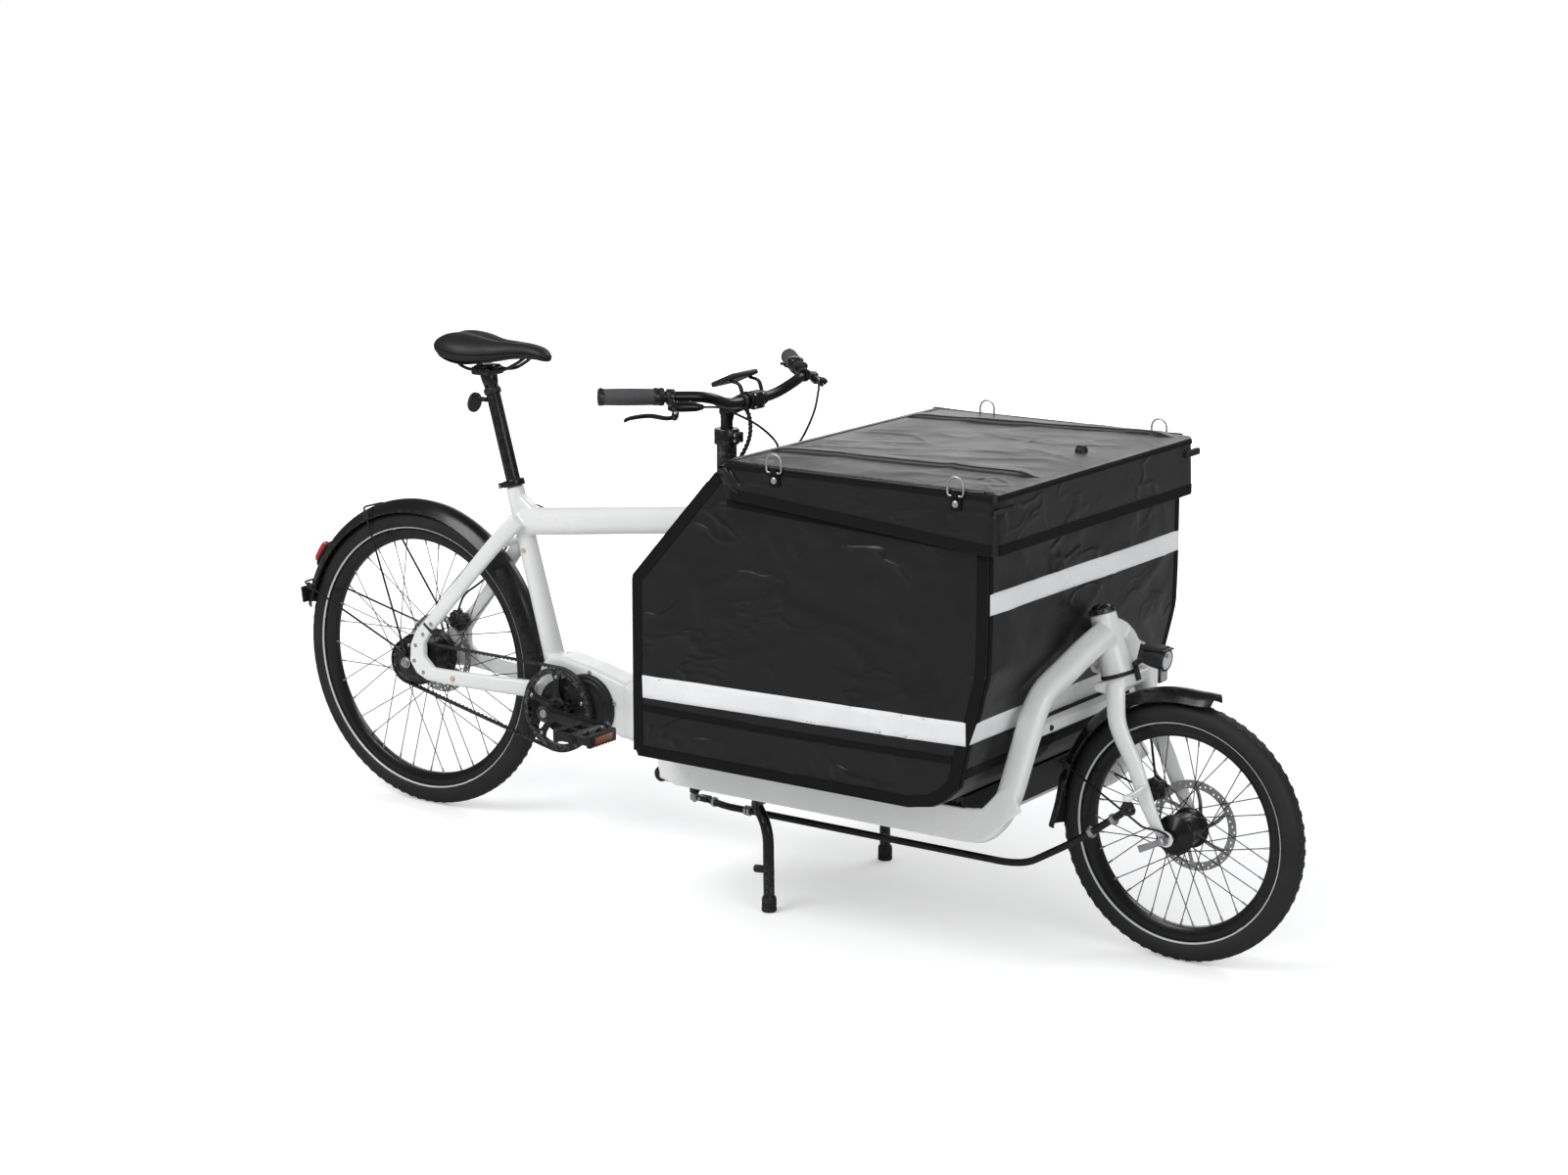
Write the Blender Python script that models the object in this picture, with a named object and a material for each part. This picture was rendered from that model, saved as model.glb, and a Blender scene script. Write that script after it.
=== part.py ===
"""Front-loading cargo bike as separate closed solids, in metres, +X forward, +Z up.

Stations below are measured from the ground point midway between the two axles.
Every object is then moved by ORIGIN_X so that the model's footprint is centred on 0.
"""

import math

import bmesh
import bpy
from mathutils import Matrix, Vector

# Fits
GAP = 0.0003
RUN = 0.0005
FINENESS = 0.55
ORIGIN_X = 0.04505

# Wheels
REAR_AXLE = (-0.9294, 0.0, 0.3265)
REAR_RADIUS = 0.3265
FRONT_AXLE = (0.9294, 0.0, 0.2500)
FRONT_RADIUS = 0.2500
TYRE_SECTION = 0.0235
RIM_DEPTH = 0.0250
RIM_HALF_WIDTH = 0.0135
RIM_FLANGE_BELOW_TREAD = 0.0415
SPOKE_COUNT = 36
SPOKE_HALF = 0.0009
AXLE_RADIUS = 0.0050

# Steering
HEAD_TOP = (0.7495, 0.0, 0.6450)
HEAD_LOW = (0.7870, 0.0, 0.5300)
STEERER_RADIUS = 0.0145
COLUMN_X = -0.1190
HOUSING_RADIUS = 0.0245
HOUSING_LOW = 0.2000
HOUSING_TOP = 0.7750
COLUMN_SHAFT_RADIUS = 0.0180
COLUMN_TUBE_RADIUS = 0.0205
COLUMN_TOP = 0.9110
STEM_SHAFT_RADIUS = 0.0127
ROD_Y = -0.1400
ROD_REAR = (-0.1010, ROD_Y, 0.1800)
ROD_FRONT = (0.8888, ROD_Y, 0.3170)
STUD_RADIUS = 0.0040
OPEN_PIVOT_CLEARANCE = 0.0050
ROD_PIN_X = -0.0830

# Seat and rear triangle
SEAT_LOW = (-0.5600, 0.0, 0.3360)
SEAT_TOP = (-0.6720, 0.0, 0.7320)
POST_RADIUS = 0.0155
POST_TOP = (-0.7390, 0.0, 0.9690)
STAY_DROPOUT_Y = 0.0750
PLATE_HALF = 0.0080
INSERT_THICKNESS = 0.0050
STAY_SQUARE = 0.75
RISER_SQUARE = 0.62

# Drive
BOTTOM_BRACKET = (-0.5200, 0.0, 0.2810)
MOTOR_NOSE = (-0.4550, 0.0, 0.2920)
MOTOR_REAR_RADIUS = 0.0600
MOTOR_NOSE_RADIUS = 0.0700
MOTOR_RIGHT = -0.0460
MOTOR_LEFT = 0.0500
BELT_Y = -0.0550
BELT_HALF = 0.0055
CHAINRING_RADIUS = 0.0872
SPROCKET_RADIUS = 0.0445
BELT_THICKNESS = 0.0055
SPINDLE_RADIUS = 0.0095
CRANK_LENGTH = 0.1750


PEDAL_AXLE_RADIUS = 0.0060

# Bay, box and lid
RAIL_Y = 0.2300
RAIL_Z = 0.2495
RAIL_RADIUS = 0.0165
RAIL_JOINT_X = 0.6000
SIDE_FACE_THICKNESS = 0.0060
SIDE_FACE_LOW = RAIL_Z - RAIL_RADIUS
SIDE_FACE_TOP = 0.3000
FLOOR_FRONT_LOW = 0.2575
BEAM_X = -0.1080
STAND_BAR = (0.0600, 0.0, 0.2000)
STAND_BAR_RADIUS = 0.0110
FLOOR_TOP = 0.3175
BOX_HALF = 0.3580
BOX_WALL = 0.0080
BOX_RIM = 0.9050
BOX_OUTLINE = [
    (0.1170, 0.9050), (-0.0850, 0.6780), (-0.0850, 0.3180), (0.5540, 0.3180),
    (0.6000, 0.3260), (0.6310, 0.3420), (0.6550, 0.3670), (0.6740, 0.4540),
    (0.6925, 0.5050), (0.7130, 0.5910), (0.7150, 0.6750), (0.7140, 0.9050),
]
LID_HALF = 0.3718
LID_SKIRT = 0.0060
LID_TOP_FRONT = (0.7340, 0.9290)
LID_TOP_REAR = (0.1425, 0.9270)
LID_SKIRT_FRONT = (0.7380, 0.8140)
LID_SKIRT_REAR = (0.1464, 0.8580)
LID_HINGE = (0.1245, 0.0, 0.9080)
LID_KNOB = (0.6600, 0.0650, 0.9290)
RING_STATIONS = (0.2610, 0.6560)
RING_Y = LID_HALF + 0.0052
RING_Z = 0.9180
RING_WIRE = 0.0020

# Handlebar
BAR_RADIUS = 0.0110
BAR_CLAMP = (-0.0560, 0.0, 0.9750)
BAR_BEND = (-0.0449, 0.1657, 1.0038)
BAR_END = (-0.1920, 0.3235, 1.0101)
GRIP_RADIUS = 0.0165


def clear_scene():
    """Remove every object that the start-up file brought."""
    for item in list(bpy.data.objects):
        bpy.data.objects.remove(item, do_unlink=True)


def make_material(name, colour, roughness, metallic=0.0):
    """Return a new Principled material."""
    material = bpy.data.materials.new(name)
    material.use_nodes = True
    shader = material.node_tree.nodes["Principled BSDF"]
    shader.inputs["Base Color"].default_value = (*colour, 1.0)
    shader.inputs["Roughness"].default_value = roughness
    shader.inputs["Metallic"].default_value = metallic
    return material


def make_object(name, verts, faces):
    """Link a mesh object whose faces all point outwards."""
    mesh = bpy.data.meshes.new(name)
    mesh.from_pydata([tuple(vert) for vert in verts], [], faces)
    work = bmesh.new()
    work.from_mesh(mesh)
    bmesh.ops.recalc_face_normals(work, faces=work.faces[:])
    work.to_mesh(mesh)
    work.free()
    body = bpy.data.objects.new(name, mesh)
    bpy.context.scene.collection.objects.link(body)
    return body


def mirror_y(point):
    """Return the same point on the other side of the bike."""
    return (point[0], -point[1], point[2])


def along(start, end, share):
    """Return the point at a share of the way from start to end."""
    return tuple(Vector(start).lerp(Vector(end), share))


def square_frame(axis):
    """Return the unit axis and two unit vectors square to it."""
    axis = Vector(axis).normalized()
    helper = Vector((0.0, 0.0, 1.0)) if abs(axis.z) < 0.9 else Vector((1.0, 0.0, 0.0))
    first = axis.cross(helper).normalized()
    return axis, first, axis.cross(first).normalized()


def facets(count):
    """Return how many sides a round piece gets; larger ones use whole quarters."""
    share = count * FINENESS
    step = 4 if share > 14.0 else 2
    return max(6, step * round(share / step))


def join_rows(faces, low, high):
    """Add the faces between two rows of vertex numbers; a row of one is a pole."""
    count = max(len(low), len(high))
    for i in range(count):
        j = (i + 1) % count
        if len(low) == 1:
            faces.append([low[0], high[i], high[j]])
        elif len(high) == 1:
            faces.append([low[i], low[j], high[0]])
        else:
            faces.append([low[i], low[j], high[j], high[i]])


def lathe(name, start, axis, profile, segments=24, ring=False):
    """Turn (radius, distance) pairs about an axis; a ring profile is a closed loop."""
    axis, first, second = square_frame(axis)
    segments = facets(segments)
    start = Vector(start)
    verts = []
    faces = []
    rows = []
    for radius, distance in profile:
        centre = start + axis * distance
        count = segments if radius > 1e-7 else 1
        row = []
        for i in range(count):
            turn = 2.0 * math.pi * i / segments
            row.append(len(verts))
            verts.append(centre + (first * math.cos(turn) + second * math.sin(turn)) * radius)
        rows.append(row)
    for k in range(len(rows) - 1):
        join_rows(faces, rows[k], rows[k + 1])
    if ring:
        join_rows(faces, rows[-1], rows[0])
    else:
        for row in (rows[0], rows[-1]):
            if len(row) > 1:
                faces.append(list(row))
    return make_object(name, verts, faces)


def rod(name, start, end, radius, segments=16):
    """Make a round bar between two points."""
    length = (Vector(end) - Vector(start)).length
    axis = Vector(end) - Vector(start)
    return lathe(name, start, axis, [(radius, 0.0), (radius, length)], segments)


def sleeve(name, start, end, inner, outer, segments=24):
    """Make a round sleeve with a bore between two points."""
    length = (Vector(end) - Vector(start)).length
    profile = [(inner, 0.0), (outer, 0.0), (outer, length), (inner, length)]
    return lathe(name, start, Vector(end) - Vector(start), profile, segments, ring=True)


def rounded_path(points, radius, steps=4):
    """Round the inner corners of a path, keeping its two ends."""
    points = [Vector(point) for point in points]
    path = [points[0]]
    for i in range(1, len(points) - 1):
        corner = points[i]
        before = points[i - 1] - corner
        after = points[i + 1] - corner
        reach = min(radius, before.length * 0.48, after.length * 0.48)
        start = corner + before.normalized() * reach
        end = corner + after.normalized() * reach
        for k in range(steps + 1):
            t = k / steps
            path.append(start * (1 - t) ** 2 + corner * (2 * t * (1 - t)) + end * t ** 2)
    path.append(points[-1])
    return [tuple(point) for point in path]


def tube(name, points, sizes, segments=16, up=(0.0, 0.0, 1.0), square=1.0):
    """Sweep a section; sizes is a radius or (up, side) pair per point, square below 1 boxes it."""
    points = [Vector(point) for point in points]
    segments = facets(segments)
    count = len(points)
    if not isinstance(sizes, list):
        sizes = [sizes] * count
    normal = Vector(up)
    verts = []
    faces = []
    rows = []
    for i in range(count):
        before = points[max(i - 1, 0)]
        after = points[min(i + 1, count - 1)]
        tangent = (after - before).normalized()
        normal = (normal - tangent * normal.dot(tangent)).normalized()
        side = tangent.cross(normal)
        size = sizes[i] if isinstance(sizes[i], tuple) else (sizes[i], sizes[i])
        row = []
        for k in range(segments):
            turn = 2.0 * math.pi * k / segments
            row.append(len(verts))
            c, s = math.cos(turn), math.sin(turn)
            offset = (normal * (math.copysign(abs(c) ** square, c) * size[0])
                      + side * (math.copysign(abs(s) ** square, s) * size[1]))
            verts.append(points[i] + offset)
        rows.append(row)
    for k in range(count - 1):
        join_rows(faces, rows[k], rows[k + 1])
    faces.append(list(rows[0]))
    faces.append(list(rows[-1]))
    return make_object(name, verts, faces)


def grade(start, end, count):
    """Return count (up, side) sizes running evenly from start to end."""
    sizes = []
    for i in range(count):
        t = i / (count - 1)
        sizes.append((start[0] + (end[0] - start[0]) * t, start[1] + (end[1] - start[1]) * t))
    return sizes


def soften(body, width, steps, caps_only):
    """Bevel the edges of a solid, all of them or only those round its two end faces."""
    work = bmesh.new()
    work.from_mesh(body.data)
    edges = work.edges[:]
    if caps_only:
        sides = sorted(work.faces, key=lambda face: len(face.verts))[-2:]
        edges = list({edge for face in sides for edge in face.edges})
    bmesh.ops.bevel(work, geom=edges, offset=width, segments=steps, profile=0.5,
                    affect="EDGES", clamp_overlap=True)
    work.to_mesh(body.data)
    work.free()


def prism(name, outline, axis, low, high, bevel=0.0, steps=2):
    """Extrude an outline along x, y or z; the outline gives the other two coordinates."""
    def place(a, b, c):
        """Put outline values a and b and distance c in x, y, z order."""
        return {"x": (c, a, b), "y": (a, c, b), "z": (a, b, c)}[axis]

    count = len(outline)
    verts = [place(a, b, low) for a, b in outline] + [place(a, b, high) for a, b in outline]
    faces = [list(range(count)), list(range(count, 2 * count))]
    for i in range(count):
        j = (i + 1) % count
        faces.append([i, j, count + j, count + i])
    body = make_object(name, verts, faces)
    if bevel > 0.0:
        soften(body, bevel, steps, count > 4)
    return body


def block(name, centre, size, bevel=0.0, steps=2):
    """Make a box about a centre, softened on every edge when a bevel is given."""
    cx, cy, cz = centre
    sx, sy, sz = (value / 2.0 for value in size)
    outline = [(cx - sx, cz - sz), (cx + sx, cz - sz), (cx + sx, cz + sz), (cx - sx, cz + sz)]
    return prism(name, outline, "y", cy - sy, cy + sy, bevel, steps)


def circle(centre_x, centre_z, radius, count, start=0.0, sweep=360.0):
    """Return points on a circle or arc, in degrees, for a side-view outline."""
    span = count if sweep >= 360.0 else count - 1
    points = []
    for i in range(count):
        turn = math.radians(start + sweep * i / span)
        points.append((centre_x + radius * math.cos(turn), centre_z + radius * math.sin(turn)))
    return points


def pulley_outline(rear, rear_radius, front, front_radius, count):
    """Return the side view of a loop pulled round two circles, rear one at smaller x."""
    dx = front[0] - rear[0]
    dz = front[2] - rear[2]
    span = math.hypot(dx, dz)
    lean = math.degrees(math.atan2(dz, dx))
    spread = math.degrees(math.acos((rear_radius - front_radius) / span))
    loop = circle(front[0], front[2], front_radius, count, lean - spread, 2.0 * spread)
    back = circle(rear[0], rear[2], rear_radius, count, lean + spread, 360.0 - 2.0 * spread)
    return loop + back


def inset(outline, distance):
    """Return a counter-clockwise outline moved inwards by one distance."""
    count = len(outline)
    area = sum(outline[i][0] * outline[(i + 1) % count][1]
               - outline[(i + 1) % count][0] * outline[i][1] for i in range(count))
    sign = 1.0 if area > 0.0 else -1.0
    result = []
    for i in range(count):
        before = Vector(outline[i - 1])
        here = Vector(outline[i])
        after = Vector(outline[(i + 1) % count])
        first = (here - before).normalized()
        second = (after - here).normalized()
        normal_a = Vector((-first.y, first.x)) * sign
        normal_b = Vector((-second.y, second.x)) * sign
        middle = (normal_a + normal_b).normalized()
        shift = middle * (distance / max(middle.dot(normal_a), 0.2))
        result.append(tuple(here + shift))
    return result


def combine(base, tools, operation, own=False):
    """Apply one exact Boolean per tool and remove the tools."""
    for tool in tools:
        modifier = base.modifiers.new("step", "BOOLEAN")
        modifier.solver = "EXACT"
        modifier.operation = operation
        modifier.use_self = own
        modifier.object = tool
    bpy.context.view_layer.update()
    graph = bpy.context.evaluated_depsgraph_get()
    mesh = bpy.data.meshes.new_from_object(base.evaluated_get(graph))
    base.modifiers.clear()
    base.data = mesh
    for tool in tools:
        bpy.data.objects.remove(tool, do_unlink=True)
    work = bmesh.new()
    work.from_mesh(base.data)
    bmesh.ops.remove_doubles(work, verts=work.verts[:], dist=0.000002)
    bmesh.ops.dissolve_degenerate(work, edges=work.edges[:], dist=0.000002)
    work.to_mesh(base.data)
    work.free()
    return base


def union(bodies):
    """Join overlapping solids into one closed body."""
    return combine(bodies[0], bodies[1:], "UNION")


def cut(base, tools):
    """Take solids away from a body."""
    return combine(base, tools, "DIFFERENCE")


def finish(body, name, material, pivot=(0.0, 0.0, 0.0)):
    """Name the body, colour it, and put its origin on its joint or on the model origin."""
    body.name = name
    body.data.name = name
    body.data.materials.clear()
    body.data.materials.append(material)
    pivot = Vector(pivot)
    body.data.transform(Matrix.Translation(-pivot))
    body.location = pivot + Vector((ORIGIN_X, 0.0, 0.0))
    body.data.shade_smooth()
    body.data.set_sharp_from_angle(angle=math.radians(35.0))
    return body


def housing_tool(clearance):
    """Return a cylinder as wide as the column housing plus a clearance."""
    return rod("tool", (COLUMN_X, 0.0, HOUSING_LOW - 0.01), (COLUMN_X, 0.0, HOUSING_TOP + 0.01),
               HOUSING_RADIUS + clearance, 32)


def motor_outline(grow):
    """Return the side view of the drive unit, grown by a clearance."""
    return pulley_outline(BOTTOM_BRACKET, MOTOR_REAR_RADIUS + grow,
                          MOTOR_NOSE, MOTOR_NOSE_RADIUS + grow, 12)


def dropout_plate(side):
    """Make the frame plate that closes the rear triangle on one side."""
    near = STAY_DROPOUT_Y - PLATE_HALF
    far = STAY_DROPOUT_Y + PLATE_HALF
    if side < 0:
        outline = [(-0.8600, 0.4360), (-0.8890, 0.4060), (-0.9045, 0.3740), (-0.9070, 0.3360),
                   (-0.8890, 0.3110), (-0.8600, 0.2990), (-0.8350, 0.3010), (-0.8420, 0.3280),
                   (-0.8660, 0.3500), (-0.8660, 0.3800), (-0.8420, 0.4120)]
        return prism("plate", outline, "y", -far, -near)
    outline = [(-0.8600, 0.4360), (-0.9090, 0.3880), (-0.9390, 0.3650), (-0.9550, 0.3400),
               (-0.9510, 0.3080), (-0.9250, 0.2950), (-0.8600, 0.2990), (-0.8350, 0.3010),
               (-0.8420, 0.3280), (-0.8660, 0.3500), (-0.8660, 0.3800), (-0.8420, 0.4120)]
    plate = prism("plate", outline, "y", near, far)
    bore = rod("bore", (REAR_AXLE[0], near - 0.01, REAR_AXLE[2]),
               (REAR_AXLE[0], far + 0.01, REAR_AXLE[2]), AXLE_RADIUS + RUN, 20)
    return cut(plate, [bore])


def build_frame_rear(white):
    """Seat tube, top tube, motor cradle, stays and dropouts as one welded piece."""
    pieces = [tube("seat_tube", [SEAT_LOW, SEAT_TOP], [0.0228, 0.0190], 24)]
    spine = [(-0.6600, 0.0, 0.6580), (-0.5200, 0.0, 0.6751), (-0.3300, 0.0, 0.6984),
             (COLUMN_X, 0.0, 0.7242)]
    pieces.append(tube("top_tube", spine, grade((0.0290, 0.0225), (0.0275, 0.0215), 4), 20))
    beam = [(-0.3600, 0.2310), (COLUMN_X, 0.2340), (COLUMN_X, 0.3480), (-0.3600, 0.3530)]
    pieces.append(prism("down_tube", beam, "y", -0.0360, 0.0360, 0.013, 2))
    cradle = [(-0.3550, 0.2330), (-0.3550, 0.3515), (-0.4500, 0.3750), (-0.5320, 0.3890),
              (-0.5720, 0.3800), (-0.5880, 0.3520), (-0.5880, 0.2900), (-0.5700, 0.2800),
              (-0.4000, 0.2500), (-0.3785, 0.2370)]
    pieces.append(prism("cradle", cradle, "y", -0.0350, 0.0350, 0.005, 1))
    for side in (-1.0, 1.0):
        upper = [(-0.6400, 0.030 * side, 0.6680), (-0.6950, 0.050 * side, 0.6060),
                 (-0.7930, 0.068 * side, 0.4910), (-0.8560, 0.075 * side, 0.4180)]
        pieces.append(tube("seat_stay", upper, grade((0.0190, 0.0095), (0.0150, 0.0085), 4), 16,
                           square=STAY_SQUARE))
        lower = [(-0.5790, 0.0320 * side, 0.3080), (-0.6200, 0.0385 * side, 0.3085),
                 (-0.7200, 0.0570 * side, 0.3100), (-0.8000, 0.0700 * side, 0.3120),
                 (-0.8600, 0.075 * side, 0.3140)]
        pieces.append(tube("chain_stay", lower, grade((0.0195, 0.0090), (0.0155, 0.0085), 5), 16,
                           square=STAY_SQUARE))
        pieces.append(dropout_plate(side))
    pieces.append(rod("bridge", (-0.6940, -0.0490, 0.6070), (-0.6940, 0.0490, 0.6070), 0.0070, 12))
    gusset = [(-0.6600, 0.7150), (-0.6450, 0.7150), (-0.6200, 0.6950), (-0.5900, 0.6850),
              (-0.6000, 0.6650), (-0.6500, 0.6650)]
    pieces.append(prism("gusset", gusset, "y", -0.0140, 0.0140))
    frame = union(pieces)
    motor_gap = prism("tool", motor_outline(GAP), "y", -0.2, 0.2)
    beam_gap = rod("tool", (BEAM_X, -0.1, RAIL_Z), (BEAM_X, 0.1, RAIL_Z), RAIL_RADIUS + GAP, 24)
    up = (Vector(SEAT_TOP) - Vector(SEAT_LOW)).normalized()
    bore_low = Vector(SEAT_TOP) - up * 0.180
    bore = rod("tool", bore_low, Vector(SEAT_TOP) + up * 0.02, POST_RADIUS + RUN, 24)
    cut(frame, [motor_gap, beam_gap, housing_tool(GAP), bore])
    return finish(frame, "frame_rear", white)


def side_face(side, outline):
    """Make the flat outer face of one side rail from its side view."""
    outer = RAIL_Y + RAIL_RADIUS
    low, high = sorted((side * outer, side * (outer - SIDE_FACE_THICKNESS)))
    return prism("side_face", outline, "y", low, high)


def stand_bracket(side):
    """Make one of the two frame blocks that hold the stand's cross bar."""
    x, _, z = STAND_BAR
    body = block("bracket", (x, side * 0.0450, (z - 0.018 + RAIL_Z) / 2.0),
                 (0.0380, 0.0240, RAIL_Z - z + 0.018), 0.003, 1)
    return body


def build_frame_bay(white):
    """Column housing, side rails and cross beams under the box."""
    pieces = [rod("housing", (COLUMN_X, 0.0, HOUSING_LOW), (COLUMN_X, 0.0, HOUSING_TOP),
                  HOUSING_RADIUS, 32)]
    for side in (-1.0, 1.0):
        rail = [(BEAM_X, side * RAIL_Y, RAIL_Z), (RAIL_JOINT_X - GAP, side * RAIL_Y, RAIL_Z)]
        pieces.append(tube("rail", rail, RAIL_RADIUS, 20))
        face = [(BEAM_X - 0.0070, SIDE_FACE_TOP), (BEAM_X - 0.0060, RAIL_Z + 0.0205),
                (BEAM_X + 0.0080, RAIL_Z - 0.0055), (BEAM_X + 0.0360, SIDE_FACE_LOW),
                (RAIL_JOINT_X - GAP, SIDE_FACE_LOW), (RAIL_JOINT_X - GAP, SIDE_FACE_TOP)]
        pieces.append(side_face(side, face))
        pieces.append(stand_bracket(side))
    pieces.append(rod("beam", (BEAM_X, -RAIL_Y - 0.0120, RAIL_Z), (BEAM_X, RAIL_Y + 0.0120, RAIL_Z),
                      RAIL_RADIUS - 0.0004, 20))
    for x in (STAND_BAR[0], 0.3300, 0.5700):
        pieces.append(rod("cross", (x, -RAIL_Y, RAIL_Z + 0.0010), (x, RAIL_Y, RAIL_Z + 0.0010),
                          0.0120, 16))
    bay = union(pieces)
    bore = rod("tool", (COLUMN_X, 0.0, 0.1), (COLUMN_X, 0.0, 0.9), COLUMN_SHAFT_RADIUS + RUN, 32)
    pivot = rod("tool", (STAND_BAR[0], -0.2, STAND_BAR[2]), (STAND_BAR[0], 0.2, STAND_BAR[2]),
                STAND_BAR_RADIUS + RUN, 24)
    cut(bay, [bore, pivot])
    return finish(bay, "frame_bay", white)


def build_frame_front(white):
    """Two risers from the rails to the front head tube, with cross bar and gusset."""
    pieces = []
    for side in (-1.0, 1.0):
        path = [(RAIL_JOINT_X + GAP, 0.2300, RAIL_Z), (RAIL_JOINT_X + 0.0120, 0.2300, RAIL_Z),
                (0.6380, 0.2300, 0.2560),
                (0.6660, 0.2270, 0.2850), (0.6890, 0.2260, 0.3350), (0.7085, 0.2250, 0.4020),
                (0.7228, 0.2190, 0.4600), (0.7290, 0.2070, 0.5000), (0.7335, 0.1790, 0.5300),
                (0.7400, 0.1200, 0.5560), (0.7560, 0.0650, 0.5900), (0.7690, 0.0200, 0.6130)]
        path = [(x, side * y, z) for x, y, z in path]
        sizes = [(0.0165, 0.0165), (0.0168, 0.0165), (0.0190, 0.0165), (0.0215, 0.0175),
                 (0.0235, 0.0190), (0.0235, 0.0195), (0.0235, 0.0200), (0.0235, 0.0205),
                 (0.0235, 0.0215), (0.0235, 0.0220), (0.0235, 0.0220), (0.0230, 0.0210)]
        pieces.append(tube("riser", path, sizes, 24, square=RISER_SQUARE))
        joint = RAIL_JOINT_X + GAP
        face = [(joint, SIDE_FACE_TOP), (joint, SIDE_FACE_LOW), (0.6390, 0.2374),
                (0.7250, 0.3120), (0.7150, 0.3300), (0.6900, 0.3550), (0.6740, 0.3430),
                (0.6400, 0.3060)]
        pieces.append(side_face(side, face))
    axis = (Vector(HEAD_LOW) - Vector(HEAD_TOP))
    profile = [(0.0255, 0.0), (0.0270, axis.length * 0.4), (0.0330, axis.length)]
    pieces.append(lathe("head", HEAD_TOP, axis, profile, 32))
    pieces.append(block("cross_bar", (0.6945, 0.0, 0.4408), (0.0260, 0.4200, 0.0235), 0.002, 1))
    gusset = [(0.7620, 0.6000), (0.7440, 0.5780), (0.7247, 0.5420), (0.7330, 0.5290),
              (0.7543, 0.5280), (0.7720, 0.5450)]
    web = prism("gusset", gusset, "y", -0.0080, 0.0080)
    cut(web, [rod("tool", (0.7430, -0.1, 0.5450), (0.7430, 0.1, 0.5450), 0.0060, 16)])
    pieces.append(web)
    front = union(pieces)
    way = axis.normalized()
    bore = rod("tool", Vector(HEAD_TOP) - way * 0.05, Vector(HEAD_LOW) + way * 0.05,
               STEERER_RADIUS + RUN, 32)
    trim_top = rod("tool", Vector(HEAD_TOP) - way * 0.08, Vector(HEAD_TOP), 0.0600, 24)
    trim_low = rod("tool", Vector(HEAD_LOW), Vector(HEAD_LOW) + way * 0.08, 0.0600, 24)
    cut(front, [bore, trim_top, trim_low])
    return finish(front, "frame_front", white)


def build_seat_collar(black):
    """Clamp ring round the top of the seat tube with its bolt lugs."""
    up = (Vector(SEAT_TOP) - Vector(SEAT_LOW)).normalized()
    low = Vector(SEAT_TOP) + up * GAP
    top = low + up * 0.0150
    body = sleeve("collar", low, top, POST_RADIUS + RUN, 0.0240, 28)
    middle = (low + top) * 0.5
    lug = block("lug", (middle.x - 0.0280, 0.0, middle.z - 0.0070), (0.0150, 0.0200, 0.0110))
    union([body, lug])
    return finish(body, "seat_collar", black)


def build_motor(black):
    """Drive unit held in the cradle, with a bore for the crank spindle."""
    body = prism("motor", motor_outline(0.0), "y", MOTOR_RIGHT, MOTOR_LEFT, 0.006, 1)
    spindle = rod("tool", (BOTTOM_BRACKET[0], -0.2, BOTTOM_BRACKET[2]),
                  (BOTTOM_BRACKET[0], 0.2, BOTTOM_BRACKET[2]), SPINDLE_RADIUS + RUN, 28)
    cut(body, [spindle])
    return finish(body, "motor", black)


def build_belt(rubber):
    """Toothed belt round the chainring and the rear sprocket, smooth in this solid."""
    inner = pulley_outline(REAR_AXLE, SPROCKET_RADIUS + RUN, BOTTOM_BRACKET,
                           CHAINRING_RADIUS + RUN, 28)
    outer = pulley_outline(REAR_AXLE, SPROCKET_RADIUS + BELT_THICKNESS, BOTTOM_BRACKET,
                           CHAINRING_RADIUS + BELT_THICKNESS, 22)
    body = prism("belt", outer, "y", BELT_Y - BELT_HALF, BELT_Y + BELT_HALF)
    cut(body, [prism("tool", inner, "y", -0.2, 0.2)])
    return finish(body, "drive_belt", rubber)


def build_rear_axle(black):
    """Bolted dropout insert with the wheel axle and its end nuts."""
    outline = [(-0.9090, 0.3880), (-0.9390, 0.3700), (-0.9550, 0.3450), (-0.9510, 0.3080),
               (-0.9170, 0.2840), (-0.8570, 0.2960), (-0.8560, 0.3060), (-0.8850, 0.3180),
               (-0.8880, 0.3600), (-0.8800, 0.3800)]
    near = STAY_DROPOUT_Y + PLATE_HALF + GAP
    inner = STAY_DROPOUT_Y - PLATE_HALF - GAP
    plate = prism("insert", outline, "y", -inner, -inner + INSERT_THICKNESS)
    x, _, z = REAR_AXLE
    shaft = rod("shaft", (x, -inner - 0.0120, z), (x, near + 0.0150, z), AXLE_RADIUS, 20)
    nut = rod("nut", (x, -inner - 0.0095, z), (x, -inner + 0.0010, z), 0.0095, 6)
    far_nut = rod("nut", (x, near, z), (x, near + 0.0090, z), 0.0095, 6)
    return finish(union([plate, shaft, nut, far_nut]), "rear_axle", black)


def caliper(name, centre, axle, rotor_y, material, ear_low, ear_high, extra=()):
    """Make a brake caliper straddling a rotor, with an ear between two corners; cut by extra."""
    body = block(name, (centre[0], rotor_y, centre[1]), (0.0400, 0.0240, 0.0340), 0.005)
    ear_low = Vector(ear_low)
    ear_high = Vector(ear_high)
    ear = block("ear", (ear_low + ear_high) * 0.5, ear_high - ear_low)
    slot = sleeve("tool", (axle[0], rotor_y - 0.0020, axle[2]), (axle[0], rotor_y + 0.0020, axle[2]),
                  0.0500, 0.0920, 64)
    union([body, ear])
    cut(body, [slot, *extra])
    return finish(body, name, material)


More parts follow.
